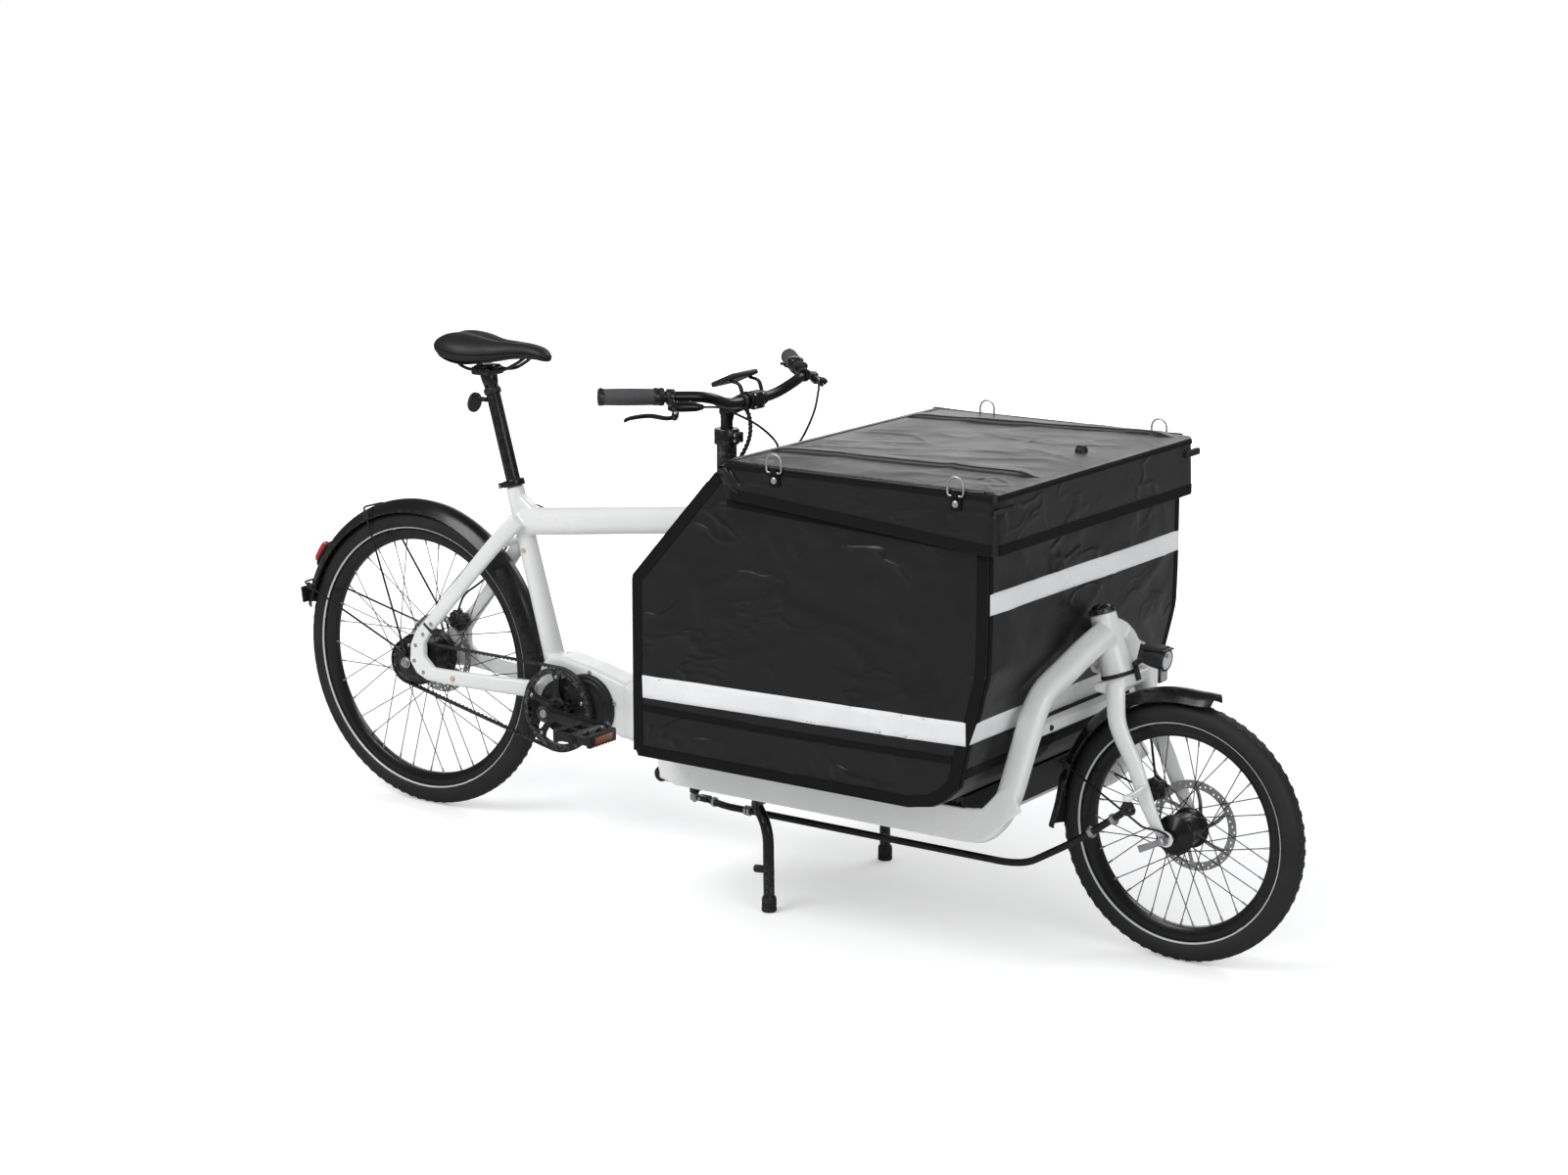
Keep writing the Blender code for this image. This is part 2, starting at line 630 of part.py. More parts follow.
def polar(centre, angle, radius, y):
    """Return a point round a wheel centre; the angle is in degrees from straight ahead."""
    turn = math.radians(angle)
    return (centre[0] + radius * math.cos(turn), y, centre[2] + radius * math.sin(turn))


def fender_shell(name, centre, radii, half_width, drop, thickness):
    """Sweep a domed strip over a wheel; radii lists (angle in degrees, outer radius)."""
    rows = []
    verts = []
    faces = []
    across = 4
    for angle, radius in radii:
        turn = math.radians(angle)
        row = []
        for layer in (0, 1):
            order = range(across + 1) if layer == 0 else range(across, -1, -1)
            for i in order:
                share = -1.0 + 2.0 * i / across
                inner = thickness if layer else 0.0
                r = radius - drop * abs(share) ** 2.4 - inner
                y = share * (half_width - inner)
                row.append(len(verts))
                verts.append((centre[0] + r * math.cos(turn), y, centre[2] + r * math.sin(turn)))
        rows.append(row)
    for k in range(len(rows) - 1):
        join_rows(faces, rows[k], rows[k + 1])
    faces.append(list(rows[0]))
    faces.append(list(rows[-1]))
    return make_object(name, verts, faces)


def build_rear_fender(black):
    """Black mudguard over the rear wheel, widening towards its tail."""
    radii = []
    for i in range(20):
        angle = 8.0 + 159.0 * i / 19
        widen = min(max((angle - 28.0) / 50.0, 0.0), 1.0)
        radii.append((angle, 0.3355 + 0.0135 * widen))
    body = fender_shell("fender", REAR_AXLE, radii, 0.0310, 0.0250, 0.0022)
    return finish(body, "rear_fender", black)


def build_rear_fender_stays(black):
    """Wire hoop from the right dropout over the mudguard to the left dropout."""
    wire = 0.0022
    right = -(STAY_DROPOUT_Y - PLATE_HALF + wire)
    left = STAY_DROPOUT_Y + PLATE_HALF + GAP + wire
    over = 0.3490 + 0.0006 + wire
    hoops = []
    for angle, knee_x, knee_z in ((114.0, -0.9440, 0.3860), (158.0, -0.9660, 0.3620)):
        path = [(-0.9300, right, 0.3460), (knee_x, right, knee_z),
                polar(REAR_AXLE, angle, over - 0.0300, -0.0355),
                polar(REAR_AXLE, angle, over, -0.0340), polar(REAR_AXLE, angle, over, 0.0340),
                polar(REAR_AXLE, angle, over - 0.0300, 0.0355),
                (knee_x, left, knee_z), (-0.9300, left, 0.3460)]
        hoops.append(tube("stays", rounded_path(path, 0.010, 2), wire, 8))
    return finish(union(hoops), "rear_fender_stays", black)


def build_tail_light(red):
    """Capsule lamp standing on the tail of the rear mudguard."""
    path = [polar(REAR_AXLE, angle, 0.3590, 0.0) for angle in (142.3, 146.5, 150.7)]
    body = tube("lamp", path, 0.0095, 20, up=(0.0, 1.0, 0.0))
    soften(body, 0.004, 2, True)
    return finish(body, "tail_light", red)


def build_bay_floor(black):
    """Folded tray that carries the box on the two rails."""
    top = FLOOR_TOP
    low = RAIL_Z + RAIL_RADIUS + GAP
    half = 0.2350
    skin = 0.0040
    outline = [(-half, low), (-half, top), (half, top), (half, low), (half - skin, low),
               (half - skin, top - skin), (-half + skin, top - skin), (-half + skin, low)]
    body = prism("floor", outline, "x", -0.0830, 0.5900)
    board = block("board", (0.5930, 0.0, (FLOOR_FRONT_LOW + top) / 2.0),
                  (0.0070, 0.4140, top - FLOOR_FRONT_LOW))
    return finish(union([body, board]), "bay_floor", black)


def build_box(fabric):
    """Open-topped cargo box: the outer solid less its inside, with a seam rod at the rear."""
    body = prism("box", BOX_OUTLINE, "y", -BOX_HALF, BOX_HALF, 0.004, 2)
    inner = inset(BOX_OUTLINE, BOX_WALL)
    inner[0] = (inner[0][0] + 0.0900, 1.0000)
    inner[-1] = (inner[-1][0], 1.0000)
    cavity = prism("tool", inner, "y", -BOX_HALF + BOX_WALL, BOX_HALF - BOX_WALL)
    cap = block("tool", (0.3, 0.0, BOX_RIM + 0.0500), (1.4, 1.2, 0.1))
    cut(body, [cavity, cap])
    seam = rod("seam", (LID_HINGE[0], -0.3400, LID_HINGE[2]), (LID_HINGE[0], 0.3400, LID_HINGE[2]),
               0.0045, 12)
    union([body, seam])
    return finish(body, "box_shell", fabric)


def build_lid(fabric):
    """Padded lid with a skirt on three sides and four sleeves for the rings."""
    outer = [LID_SKIRT_REAR, (0.1345, 0.9056), LID_TOP_REAR, LID_TOP_FRONT, LID_SKIRT_FRONT]
    body = prism("lid", outer, "y", -LID_HALF, LID_HALF, 0.003, 1)
    under = BOX_RIM + GAP
    front = LID_SKIRT_FRONT[0] - 0.0080
    hollow = [(0.0500, 0.7000), (0.0500, under), (front - 0.0020, under), (front, 0.7000)]
    inside = prism("tool", hollow, "y", -LID_HALF + LID_SKIRT, LID_HALF - LID_SKIRT)
    cut(body, [inside])
    pieces = [body]
    for x in RING_STATIONS:
        for side in (-1.0, 1.0):
            y = side * (RING_Y - 0.0005)
            pieces.append(block("lug", (x, y, RING_Z), (0.0140, 0.0110, 0.0110)))
    union(pieces)
    bores = []
    for side in (-1.0, 1.0):
        y = side * RING_Y
        bores.append(rod("tool", (0.0, y, RING_Z), (0.9, y, RING_Z), RING_WIRE + GAP, 14))
    cut(body, bores)
    return finish(body, "lid_shell", fabric, LID_HINGE)


def build_knob(black):
    """Round turn lock on the lid."""
    x, y, z = LID_KNOB
    profile = [(0.0, 0.0), (0.0150, 0.0), (0.0150, 0.0030), (0.0120, 0.0040), (0.0120, 0.0110),
               (0.0100, 0.0130), (0.0, 0.0130)]
    body = lathe("knob", (x, y, z + GAP), (0.0, 0.0, 1.0), profile, 24)
    return finish(body, "lid_knob", black, (x, y, z))


def build_ring(name, x, side, steel):
    """D-shaped wire ring standing in its sleeve."""
    y = side * RING_Y
    path = [(x - 0.0140, y, RING_Z), (x - 0.0165, y, RING_Z + 0.0040)]
    for i in range(7):
        turn = math.radians(180.0 - 30.0 * i)
        path.append((x + 0.0165 * math.cos(turn), y, RING_Z + 0.0180 + 0.0165 * math.sin(turn)))
    path += [(x + 0.0165, y, RING_Z + 0.0040), (x + 0.0140, y, RING_Z)]
    count = len(path)
    normal = Vector((0.0, 1.0, 0.0))
    verts = []
    rows = []
    faces = []
    for i in range(count):
        before = Vector(path[i - 1])
        after = Vector(path[(i + 1) % count])
        here = Vector(path[i])
        tangent = (after - before).normalized()
        across = tangent.cross(normal)
        row = []
        for k in range(6):
            turn = 2.0 * math.pi * (k + 0.5) / 6
            row.append(len(verts))
            offset = normal * math.cos(turn) + across * math.sin(turn)
            verts.append(here + offset * RING_WIRE)
        rows.append(row)
    for k in range(count):
        join_rows(faces, rows[k], rows[(k + 1) % count])
    return finish(make_object(name, verts, faces), name, steel, (x, y, RING_Z))


def spokes(axle, hub_radius, flange_y, rim_radius, count):
    """Return one mesh of crossed spokes from both flanges to the rim."""
    verts = []
    faces = []
    for i in range(count):
        side = 1.0 if i % 2 else -1.0
        lead = 1.0 if (i // 2) % 2 else -1.0
        rim_turn = 2.0 * math.pi * i / count
        hub_turn = rim_turn + lead * math.radians(58.0)
        flange = side * (flange_y + lead * 0.0022)
        start = Vector((math.cos(hub_turn) * (hub_radius - 0.004), flange,
                        math.sin(hub_turn) * (hub_radius - 0.004)))
        end = Vector((math.cos(rim_turn) * rim_radius, side * 0.0040,
                      math.sin(rim_turn) * rim_radius))
        way, first, second = square_frame(end - start)
        base = len(verts)
        for point in (start, end):
            for a, b in ((0.0, 1.2), (-1.0, -0.6), (1.0, -0.6)):
                offset = (first * a + second * b) * SPOKE_HALF
                verts.append(Vector(axle) + point + offset)
        for k in range(3):
            j = (k + 1) % 3
            faces.append([base + k, base + j, base + 3 + j, base + 3 + k])
        faces.append([base, base + 1, base + 2])
        faces.append([base + 3, base + 4, base + 5])
    return make_object("spokes", verts, faces)


def build_wheel(prefix, axle, radius, hub, rotor, mats):
    """Make tyre, rim, spoked hub and brake rotor of one wheel, all turning on its axle."""
    y_axis = (0.0, 1.0, 0.0)
    rim_top = radius - RIM_FLANGE_BELOW_TREAD
    middle = radius - TYRE_SECTION
    section = []
    for i in range(8):
        turn = 2.0 * math.pi * i / 8
        r = middle + TYRE_SECTION * math.cos(turn)
        y = TYRE_SECTION * math.sin(turn)
        if r < rim_top + GAP:
            r = rim_top + GAP
            y = math.copysign(min(abs(y), 0.0120), y)
        section.append((r, y))
    section = [pair for i, pair in enumerate(section) if pair != section[i - 1]]
    tyre = lathe("tyre", axle, y_axis, section, 68, ring=True)
    finish(tyre, prefix + "_tyre", mats["rubber"], axle)
    low = rim_top - RIM_DEPTH
    profile = [(rim_top, -RIM_HALF_WIDTH), (rim_top, RIM_HALF_WIDTH), (low, 0.0080),
               (low, -0.0080)]
    rim = lathe("rim", axle, y_axis, profile, 68, ring=True)
    finish(rim, prefix + "_rim", mats["black"], axle)
    core = lathe("hub", axle, y_axis, hub, 28, ring=True)
    flange_y = max(y for r, y in hub if r > 0.8 * max(r for r, _ in hub)) - 0.0025
    top = max(r for r, _ in hub)
    wires = spokes(axle, top, flange_y, low - 2.0 * GAP, SPOKE_COUNT)
    combine(core, [wires], "UNION", own=True)
    finish(core, prefix + "_hub", mats["black"], axle)
    rotor_y, rotor_radius = rotor
    ring = [(rotor_radius - 0.0180, rotor_y - 0.0010), (rotor_radius, rotor_y - 0.0010),
            (rotor_radius, rotor_y + 0.0010), (rotor_radius - 0.0180, rotor_y + 0.0010)]
    disc = lathe("rotor", axle, y_axis, ring, 48, ring=True)
    boss = [(0.0160, rotor_y - 0.0010), (0.0280, rotor_y - 0.0010),
            (0.0280, rotor_y + 0.0010), (0.0160, rotor_y + 0.0010)]
    pieces = [disc, lathe("boss", axle, y_axis, boss, 24, ring=True)]
    for i in range(6):
        turn = math.radians(60.0 * i)
        lean = turn + math.radians(28.0)
        inner = (math.cos(turn) * 0.0250, math.sin(turn) * 0.0250)
        outer = (math.cos(lean) * (rotor_radius - 0.0150), math.sin(lean) * (rotor_radius - 0.0150))
        away = Vector((outer[0] - inner[0], outer[1] - inner[1])).normalized()
        flat = Vector((-away.y, away.x)) * 0.0035
        outline = [(axle[0] + inner[0] + flat.x, axle[2] + inner[1] + flat.y),
                   (axle[0] + outer[0] + flat.x, axle[2] + outer[1] + flat.y),
                   (axle[0] + outer[0] - flat.x, axle[2] + outer[1] - flat.y),
                   (axle[0] + inner[0] - flat.x, axle[2] + inner[1] - flat.y)]
        pieces.append(prism("arm", outline, "y", rotor_y - 0.0008, rotor_y + 0.0008))
    finish(union(pieces), prefix + "_rotor", mats["steel"], axle)


def build_sprocket(black):
    """Rear belt sprocket beside the hub, free to turn on the axle."""
    low = BELT_Y - BELT_HALF
    high = low + 2 * BELT_HALF
    profile = [(AXLE_RADIUS + RUN, low + 0.0020), (0.0360, low + 0.0020), (0.0380, low),
               (SPROCKET_RADIUS, low), (SPROCKET_RADIUS, high), (AXLE_RADIUS + RUN, high)]
    body = lathe("sprocket", REAR_AXLE, (0.0, 1.0, 0.0), profile, 40, ring=True)
    return finish(body, "rear_sprocket", black, REAR_AXLE)


def build_chainring(black):
    """Front belt wheel: rim, four arms and a centre ring."""
    y_axis = (0.0, 1.0, 0.0)
    low = BELT_Y - BELT_HALF
    high = BELT_Y + BELT_HALF
    centre = BOTTOM_BRACKET
    rim = lathe("ring", centre, y_axis, [(CHAINRING_RADIUS - 0.0110, low), (CHAINRING_RADIUS, low),
                                         (CHAINRING_RADIUS, high), (CHAINRING_RADIUS - 0.0110, high)],
                44, ring=True)
    middle = lathe("middle", centre, y_axis,
                   [(SPINDLE_RADIUS + GAP, low), (0.0240, low), (0.0240, low + 0.0070),
                    (SPINDLE_RADIUS + GAP, low + 0.0070)], 28, ring=True)
    pieces = [rim, middle]
    for i in range(5):
        turn = math.radians(18.0 + 72.0 * i)
        c, s = math.cos(turn), math.sin(turn)
        outline = []
        for r, w in ((0.0200, 0.0110), (CHAINRING_RADIUS - 0.0080, 0.0060),
                     (CHAINRING_RADIUS - 0.0080, -0.0060), (0.0200, -0.0110)):
            outline.append((centre[0] + c * r - s * w, centre[2] + s * r + c * w))
        pieces.append(prism("arm", outline, "y", low + 0.0010, low + 0.0060))
    return finish(union(pieces), "chainring", black, centre)


def build_crank(name, side, spindle, black):
    """One crank arm with its pedal axle; the right one also carries the spindle."""
    x, _, z = BOTTOM_BRACKET
    ahead = -side
    end_x = x + ahead * CRANK_LENGTH
    inner = side * 0.0840
    if side < 0:
        inner = BELT_Y - BELT_HALF - GAP
    boss = rod("boss", (x, inner, z), (x, side * 0.1040, z), 0.0190, 24)
    path = [(x, side * 0.0950, z), (x + ahead * 0.0400, side * 0.0990, z),
            (x + ahead * 0.1100, side * 0.1130, z), (end_x, side * 0.1200, z)]
    sizes = [(0.0155, 0.0085), (0.0145, 0.0080), (0.0125, 0.0070), (0.0130, 0.0065)]
    arm = tube("arm", path, sizes, 12)
    tip = rod("tip", (end_x, side * 0.1130, z), (end_x, side * 0.1270, z), 0.0140, 20)
    axle = rod("axle", (end_x, side * 0.1200, z), (end_x, side * 0.2300, z), PEDAL_AXLE_RADIUS, 16)
    pieces = [boss, arm, tip, axle]
    if spindle:
        pieces.append(rod("spindle", (x, side * 0.0900, z), (x, -side * 0.0837, z),
                          SPINDLE_RADIUS, 24))
    return finish(union(pieces), name, black, BOTTOM_BRACKET)


def build_pedal(name, side, black):
    """Platform pedal: two plates and two treads round a bored barrel."""
    x = BOTTOM_BRACKET[0] - side * CRANK_LENGTH
    z = BOTTOM_BRACKET[2]
    low = side * 0.1400
    high = side * 0.2320
    middle = (low + high) / 2.0
    pieces = [rod("barrel", (x, low, z), (x, high, z), 0.0115, 16)]
    for dx in (-0.0430, 0.0430):
        pieces.append(block("tread", (x + dx, middle, z), (0.0120, abs(high - low) - 0.004, 0.0250)))
    for y in (low + side * 0.0080, high - side * 0.0080):
        pieces.append(block("web", (x, y, z), (0.0860, 0.0100, 0.0200)))
    body = union(pieces)
    cut(body, [rod("tool", (x, -side * 0.1, z), (x, side * 0.4, z), PEDAL_AXLE_RADIUS + RUN, 20)])
    return finish(body, name, black, (x, 0.0, z))


def head_point(down, ahead, y=0.0):
    """Return a point measured from the foot of the head tube, along and square to its axis."""
    axis = (Vector(HEAD_LOW) - Vector(HEAD_TOP)).normalized()
    forward = Vector((-axis.z, 0.0, axis.x))
    point = Vector(HEAD_LOW) + axis * down + forward * ahead
    return (point.x, y, point.z)


def head_outline(pairs):
    """Turn (down, ahead) pairs into a side-view outline."""
    return [(head_point(a, b)[0], head_point(a, b)[2]) for a, b in pairs]


def fork_leg(side, grow):
    """Make one curved fork leg, grown by a clearance."""
    path = [(0.8060, 0.0440, 0.5260), (0.8120, 0.0540, 0.4950), (0.8180, 0.0590, 0.4600),
            (0.8316, 0.0600, 0.4275), (0.8560, 0.0610, 0.3850), (0.8740, 0.0630, 0.3450),
            (0.8900, 0.0650, 0.3100), (0.9100, 0.0655, 0.2720), (0.9200, 0.0655, 0.2600)]
    sizes = [(0.0185, 0.0130), (0.0185, 0.0130), (0.0180, 0.0125), (0.0172, 0.0120),
             (0.0165, 0.0112), (0.0155, 0.0105), (0.0145, 0.0095), (0.0120, 0.0055),
             (0.0100, 0.0039)]
    leg = [(x, side * y, z) for x, y, z in path]
    grown = [(a + grow, b + grow) for a, b in sizes]
    return tube("leg", leg, grown, 14, up=(1.0, 0.0, 0.0))


def build_fork(white):
    """Front fork: steerer, crown, two curved legs, dropouts and the steering arm."""
    crown = head_outline([(0.0010, -0.0300), (0.0010, 0.0380), (0.0200, 0.0380), (0.0245, 0.0310),
                          (0.0245, -0.0100), (0.0160, -0.0300)])
    pieces = [prism("crown", crown, "y", -0.0520, 0.0520, 0.004, 2)]
    pieces.append(rod("steerer", head_point(0.0150, 0.0), head_point(-0.1260, 0.0),
                      STEERER_RADIUS, 28))
    for side in (-1.0, 1.0):
        pieces.append(fork_leg(side, 0.0))
        eye = rod("eye", (FRONT_AXLE[0], side * 0.0615, FRONT_AXLE[2]),
                  (FRONT_AXLE[0], side * 0.0695, FRONT_AXLE[2]), 0.0150, 20)
        pieces.append(eye)
    arm = [(0.8830, -0.0640, 0.3420), (0.8860, -0.1000, 0.3400), (ROD_FRONT[0], ROD_Y, 0.3400)]
    pieces.append(tube("arm", arm, 0.0070, 12))
    pieces.append(rod("stud", (ROD_FRONT[0], ROD_Y, 0.3440), (ROD_FRONT[0], ROD_Y, 0.3000),
                      STUD_RADIUS, 14))
    pieces.append(block("tab", (0.8085, 0.0, 0.5110), (0.0140, 0.0200, 0.0172)))
    fork = union(pieces)
    bore = rod("tool", (FRONT_AXLE[0], -0.2, FRONT_AXLE[2]), (FRONT_AXLE[0], 0.2, FRONT_AXLE[2]),
               AXLE_RADIUS + RUN, 20)
    cut(fork, [bore])
    return finish(fork, "fork", white, HEAD_LOW)


def build_front_axle(steel):
    """Front wheel axle with its two outer nuts."""
    x, _, z = FRONT_AXLE
    pieces = [rod("shaft", (x, -0.0755, z), (x, 0.0780, z), AXLE_RADIUS, 20)]
    pieces.append(rod("nut", (x, -0.0760, z), (x, -0.0698, z), 0.0095, 20))
    pieces.append(rod("nut", (x, 0.0698, z), (x, 0.0790, z), 0.0095, 20))
    return finish(union(pieces), "front_axle", steel, HEAD_LOW)


def build_release_lever(steel):
    """Quick-release lever with its round cam beside the right axle nut."""
    x, _, z = FRONT_AXLE
    y = -0.0760 - GAP - 0.0075
    way = Vector((-0.9040, 0.0, -0.4270)).normalized()
    cam_axis = Vector((-way.z, 0.0, way.x)).normalized()
    centre = Vector((x, y, z))
    cam = rod("cam", centre - cam_axis * 0.0070, centre + cam_axis * 0.0070, 0.0075, 20)
    path = [centre, centre + way * 0.0150, centre + way * 0.0480 + Vector((0.0, -0.0040, 0.0))]
    blade = tube("blade", path, [(0.0035, 0.0060), (0.0030, 0.0060), (0.0025, 0.0070)], 12,
                 up=(0.0, 1.0, 0.0))
    return finish(union([cam, blade]), "release_lever", steel, centre)


def front_fender_radius(angle):
    """Return the outer radius of the front mudguard at an angle in degrees."""
    kick = max((84.0 - angle) / 8.0, 0.0)
    close = min(max((angle - 112.0) / 58.0, 0.0), 1.0)
    return 0.2765 - 0.0115 * close + 0.0060 * kick


def build_front_fender(black):
    """Mudguard over the front wheel with a kicked-up nose."""
    radii = []
    for i in range(16):
        angle = 76.0 + 96.0 * i / 15
        radii.append((angle, front_fender_radius(angle)))
    body = fender_shell("fender", FRONT_AXLE, radii, 0.0310, 0.0215, 0.0022)
    return finish(body, "front_fender", black, HEAD_LOW)


def build_mudflap(rubber):
    """Rubber flap over the tail of the front mudguard."""
    radii = [(164.0, 0.2696), (168.0, 0.2686), (172.0, 0.2684), (176.0, 0.2700), (180.0, 0.2740),
             (184.0, 0.2800), (187.0, 0.2860)]
    body = fender_shell("flap", FRONT_AXLE, radii, 0.0345, 0.0215, 0.0028)
    return finish(body, "front_mudflap", rubber, HEAD_LOW)


def build_front_fender_stays(black):
    """Wire hoop holding the tail of the front mudguard to both dropouts."""
    wire = 0.0022
    seat = 0.0695 + GAP + wire
    over = front_fender_radius(157.0) + 0.0006 + wire
    half = [polar(FRONT_AXLE, 35.0, 0.0125, seat), polar(FRONT_AXLE, 75.0, 0.0135, seat),
            polar(FRONT_AXLE, 120.0, 0.0220, seat + 0.0055),
            polar(FRONT_AXLE, 155.0, 0.0450, seat + 0.0055),
            polar(FRONT_AXLE, 157.0, over - 0.0300, 0.0355),
            polar(FRONT_AXLE, 157.0, over, 0.0340)]
    path = [mirror_y(point) for point in half] + list(reversed(half))
    body = tube("stays", rounded_path(path, 0.008, 2), wire, 8)
    return finish(body, "front_fender_stays", black, HEAD_LOW)


def build_headlight(black):
    """Round headlamp on a strap against the front of the fork crown."""
    start = (0.8340, 0.0, 0.5780)
    profile = [(0.0, 0.0), (0.0100, 0.0), (0.0150, 0.0060), (0.0195, 0.0260), (0.0205, 0.0480),
               (0.0195, 0.0530), (0.0, 0.0530)]
    lamp = lathe("lamp", start, (0.996, 0.0, -0.087), profile, 28)
    strap = prism("strap", head_outline([(-0.0200, 0.0380 + GAP), (-0.0200, 0.0420),
                                         (0.0160, 0.0420), (0.0160, 0.0380 + GAP)]),
                  "y", -0.0080, 0.0080)
    neck = tube("neck", [head_point(-0.0160, 0.0405), (0.8440, 0.0, 0.5740)], 0.0050, 12)
    plate = block("reflector", (0.8800, 0.0, 0.5450), (0.0040, 0.0260, 0.0260))
    return finish(union([lamp, strap, neck, plate]), "headlight", black, HEAD_LOW)


def build_column(black):
    """Rear steering column: shaft in the housing, tube, clamp collar, arm and ball stud."""
    x = COLUMN_X
    top = HOUSING_TOP + GAP
    profile = [(0.0, 0.1880), (COLUMN_SHAFT_RADIUS, 0.1880), (COLUMN_SHAFT_RADIUS, top),
               (COLUMN_TUBE_RADIUS, top), (COLUMN_TUBE_RADIUS, 0.8800), (0.0255, 0.8810),
               (0.0255, 0.9080), (0.0240, COLUMN_TOP), (0.0, COLUMN_TOP)]
    body = lathe("column", (x, 0.0, 0.0), (0.0, 0.0, 1.0), profile, 32)
    arm = tube("arm", [(x, 0.0, 0.1930), (ROD_REAR[0], ROD_Y, 0.1930)], (0.0050), 12)
    tip = rod("tip", (ROD_REAR[0], ROD_Y, 0.1890), (ROD_REAR[0], ROD_Y, 0.1985), 0.0100, 18)
    stud = rod("stud", (ROD_REAR[0], ROD_Y, 0.1960), (ROD_REAR[0], ROD_Y, 0.1690),
               STUD_RADIUS, 14)
    lug = block("lug", (x + 0.0270, 0.0, 0.8950), (0.0120, 0.0240, 0.0220), 0.003)
    union([body, arm, tip, stud, lug])
    cut(body, [rod("tool", (x, 0.0, 0.7900), (x, 0.0, 1.0), STEM_SHAFT_RADIUS + RUN, 32)])
    return finish(body, "steering_column", black, (x, 0.0, ROD_REAR[2]))


def build_stem(black):
    """Height-adjustable stem with the handlebar clamp."""
    x = COLUMN_X
    shaft = rod("shaft", (x, 0.0, 0.8000), (x, 0.0, 0.9560), STEM_SHAFT_RADIUS, 28)
    head = tube("head", [(x - 0.0100, 0.0, 0.9440), (x + 0.0150, 0.0, 0.9540), BAR_CLAMP],
                [0.0140, 0.0150, 0.0165], 20)
    clamp = rod("clamp", (BAR_CLAMP[0], -0.0210, BAR_CLAMP[2]),
                (BAR_CLAMP[0], 0.0210, BAR_CLAMP[2]), 0.0180, 28)
    union([shaft, head, clamp])
    cut(shaft, [rod("tool", (BAR_CLAMP[0], -0.1, BAR_CLAMP[2]), (BAR_CLAMP[0], 0.1, BAR_CLAMP[2]),
                    BAR_RADIUS + GAP, 28)])
    return finish(shaft, "stem", black, (x, 0.0, COLUMN_TOP))


def build_handlebar(black):
    """One bent tube, mirrored about the middle."""
    half = [BAR_CLAMP, (BAR_CLAMP[0], 0.0780, BAR_CLAMP[2]), BAR_BEND, BAR_END]
    whole = [mirror_y(point) for point in reversed(half[1:])] + half
    body = tube("bar", rounded_path(whole, 0.0350, 3), BAR_RADIUS, 20)
    return finish(body, "handlebar", black, BAR_CLAMP)


def bar_point(share, side):
    """Return a point on the straight hand section, 0 at the bend and 1 at the end."""
    point = Vector(BAR_BEND).lerp(Vector(BAR_END), share)
    return Vector((point.x, point.y * side, point.z))


def build_grip(name, side, rubber):
    """Rubber grip with a collar at each end, over the bar end."""
    start = bar_point(0.4500, side)
    end = bar_point(0.9950, side)
    axis = end - start
    length = axis.length
    inner = BAR_RADIUS + GAP
    profile = [(inner, 0.0), (0.0172, 0.0), (0.0172, 0.0090), (0.0160, 0.0110),
               (0.0160, length - 0.0110), (0.0172, length - 0.0090), (0.0172, length),
               (inner, length)]
    return finish(lathe("grip", start, axis, profile, 24, ring=True), name, rubber, BAR_CLAMP)


def lever_frame(side):
    """Return clamp centre, inboard and forward unit vectors of one brake lever."""
    clamp = bar_point(0.3400, side)
    inboard = (bar_point(0.0, side) - bar_point(1.0, side)).normalized()
    forward = Vector((0.0, 0.0, 1.0)).cross(inboard).normalized()
    if forward.x < 0.0:
        forward = -forward
    return clamp, inboard, forward


def lever_pivot(side):
    """Return the blade pivot and its hinge axis."""
    clamp, inboard, forward = lever_frame(side)
    cylinder = clamp + forward * 0.0280 + Vector((0.0, 0.0, -0.0160))
    axis = (forward * 0.69 + Vector((0.0, 0.0, 0.72))).normalized()
    pivot = cylinder + forward * 0.0180 + Vector((0.0, 0.0, -0.0170))
    return cylinder, pivot, axis


def build_lever_body(name, side, black):
    """Clamp band, master cylinder and pivot ear of one hydraulic brake lever."""
    clamp, inboard, forward = lever_frame(side)
    cylinder, pivot, axis = lever_pivot(side)
    band = rod("band", clamp - inboard * 0.0080, clamp + inboard * 0.0080, 0.0155, 24)
    neck = tube("neck", [clamp, cylinder], [0.0090, 0.0080], 12)
    barrel = tube("barrel", [cylinder - inboard * 0.0100, cylinder, cylinder + inboard * 0.0450,
                             cylinder + inboard * 0.0600],
                  [0.0070, 0.0095, 0.0090, 0.0055], 16)
    ear = rod("ear", pivot + axis * 0.0034, pivot + axis * 0.0145, 0.0072, 18)
    link = tube("link", [cylinder, pivot + axis * 0.0110], 0.0038, 12)
    union([band, neck, barrel, ear, link])
    cut(band, [rod("tool", clamp - inboard * 0.0500, clamp + inboard * 0.0500,
                   BAR_RADIUS + GAP, 24)])
    return finish(band, name, black, BAR_CLAMP)


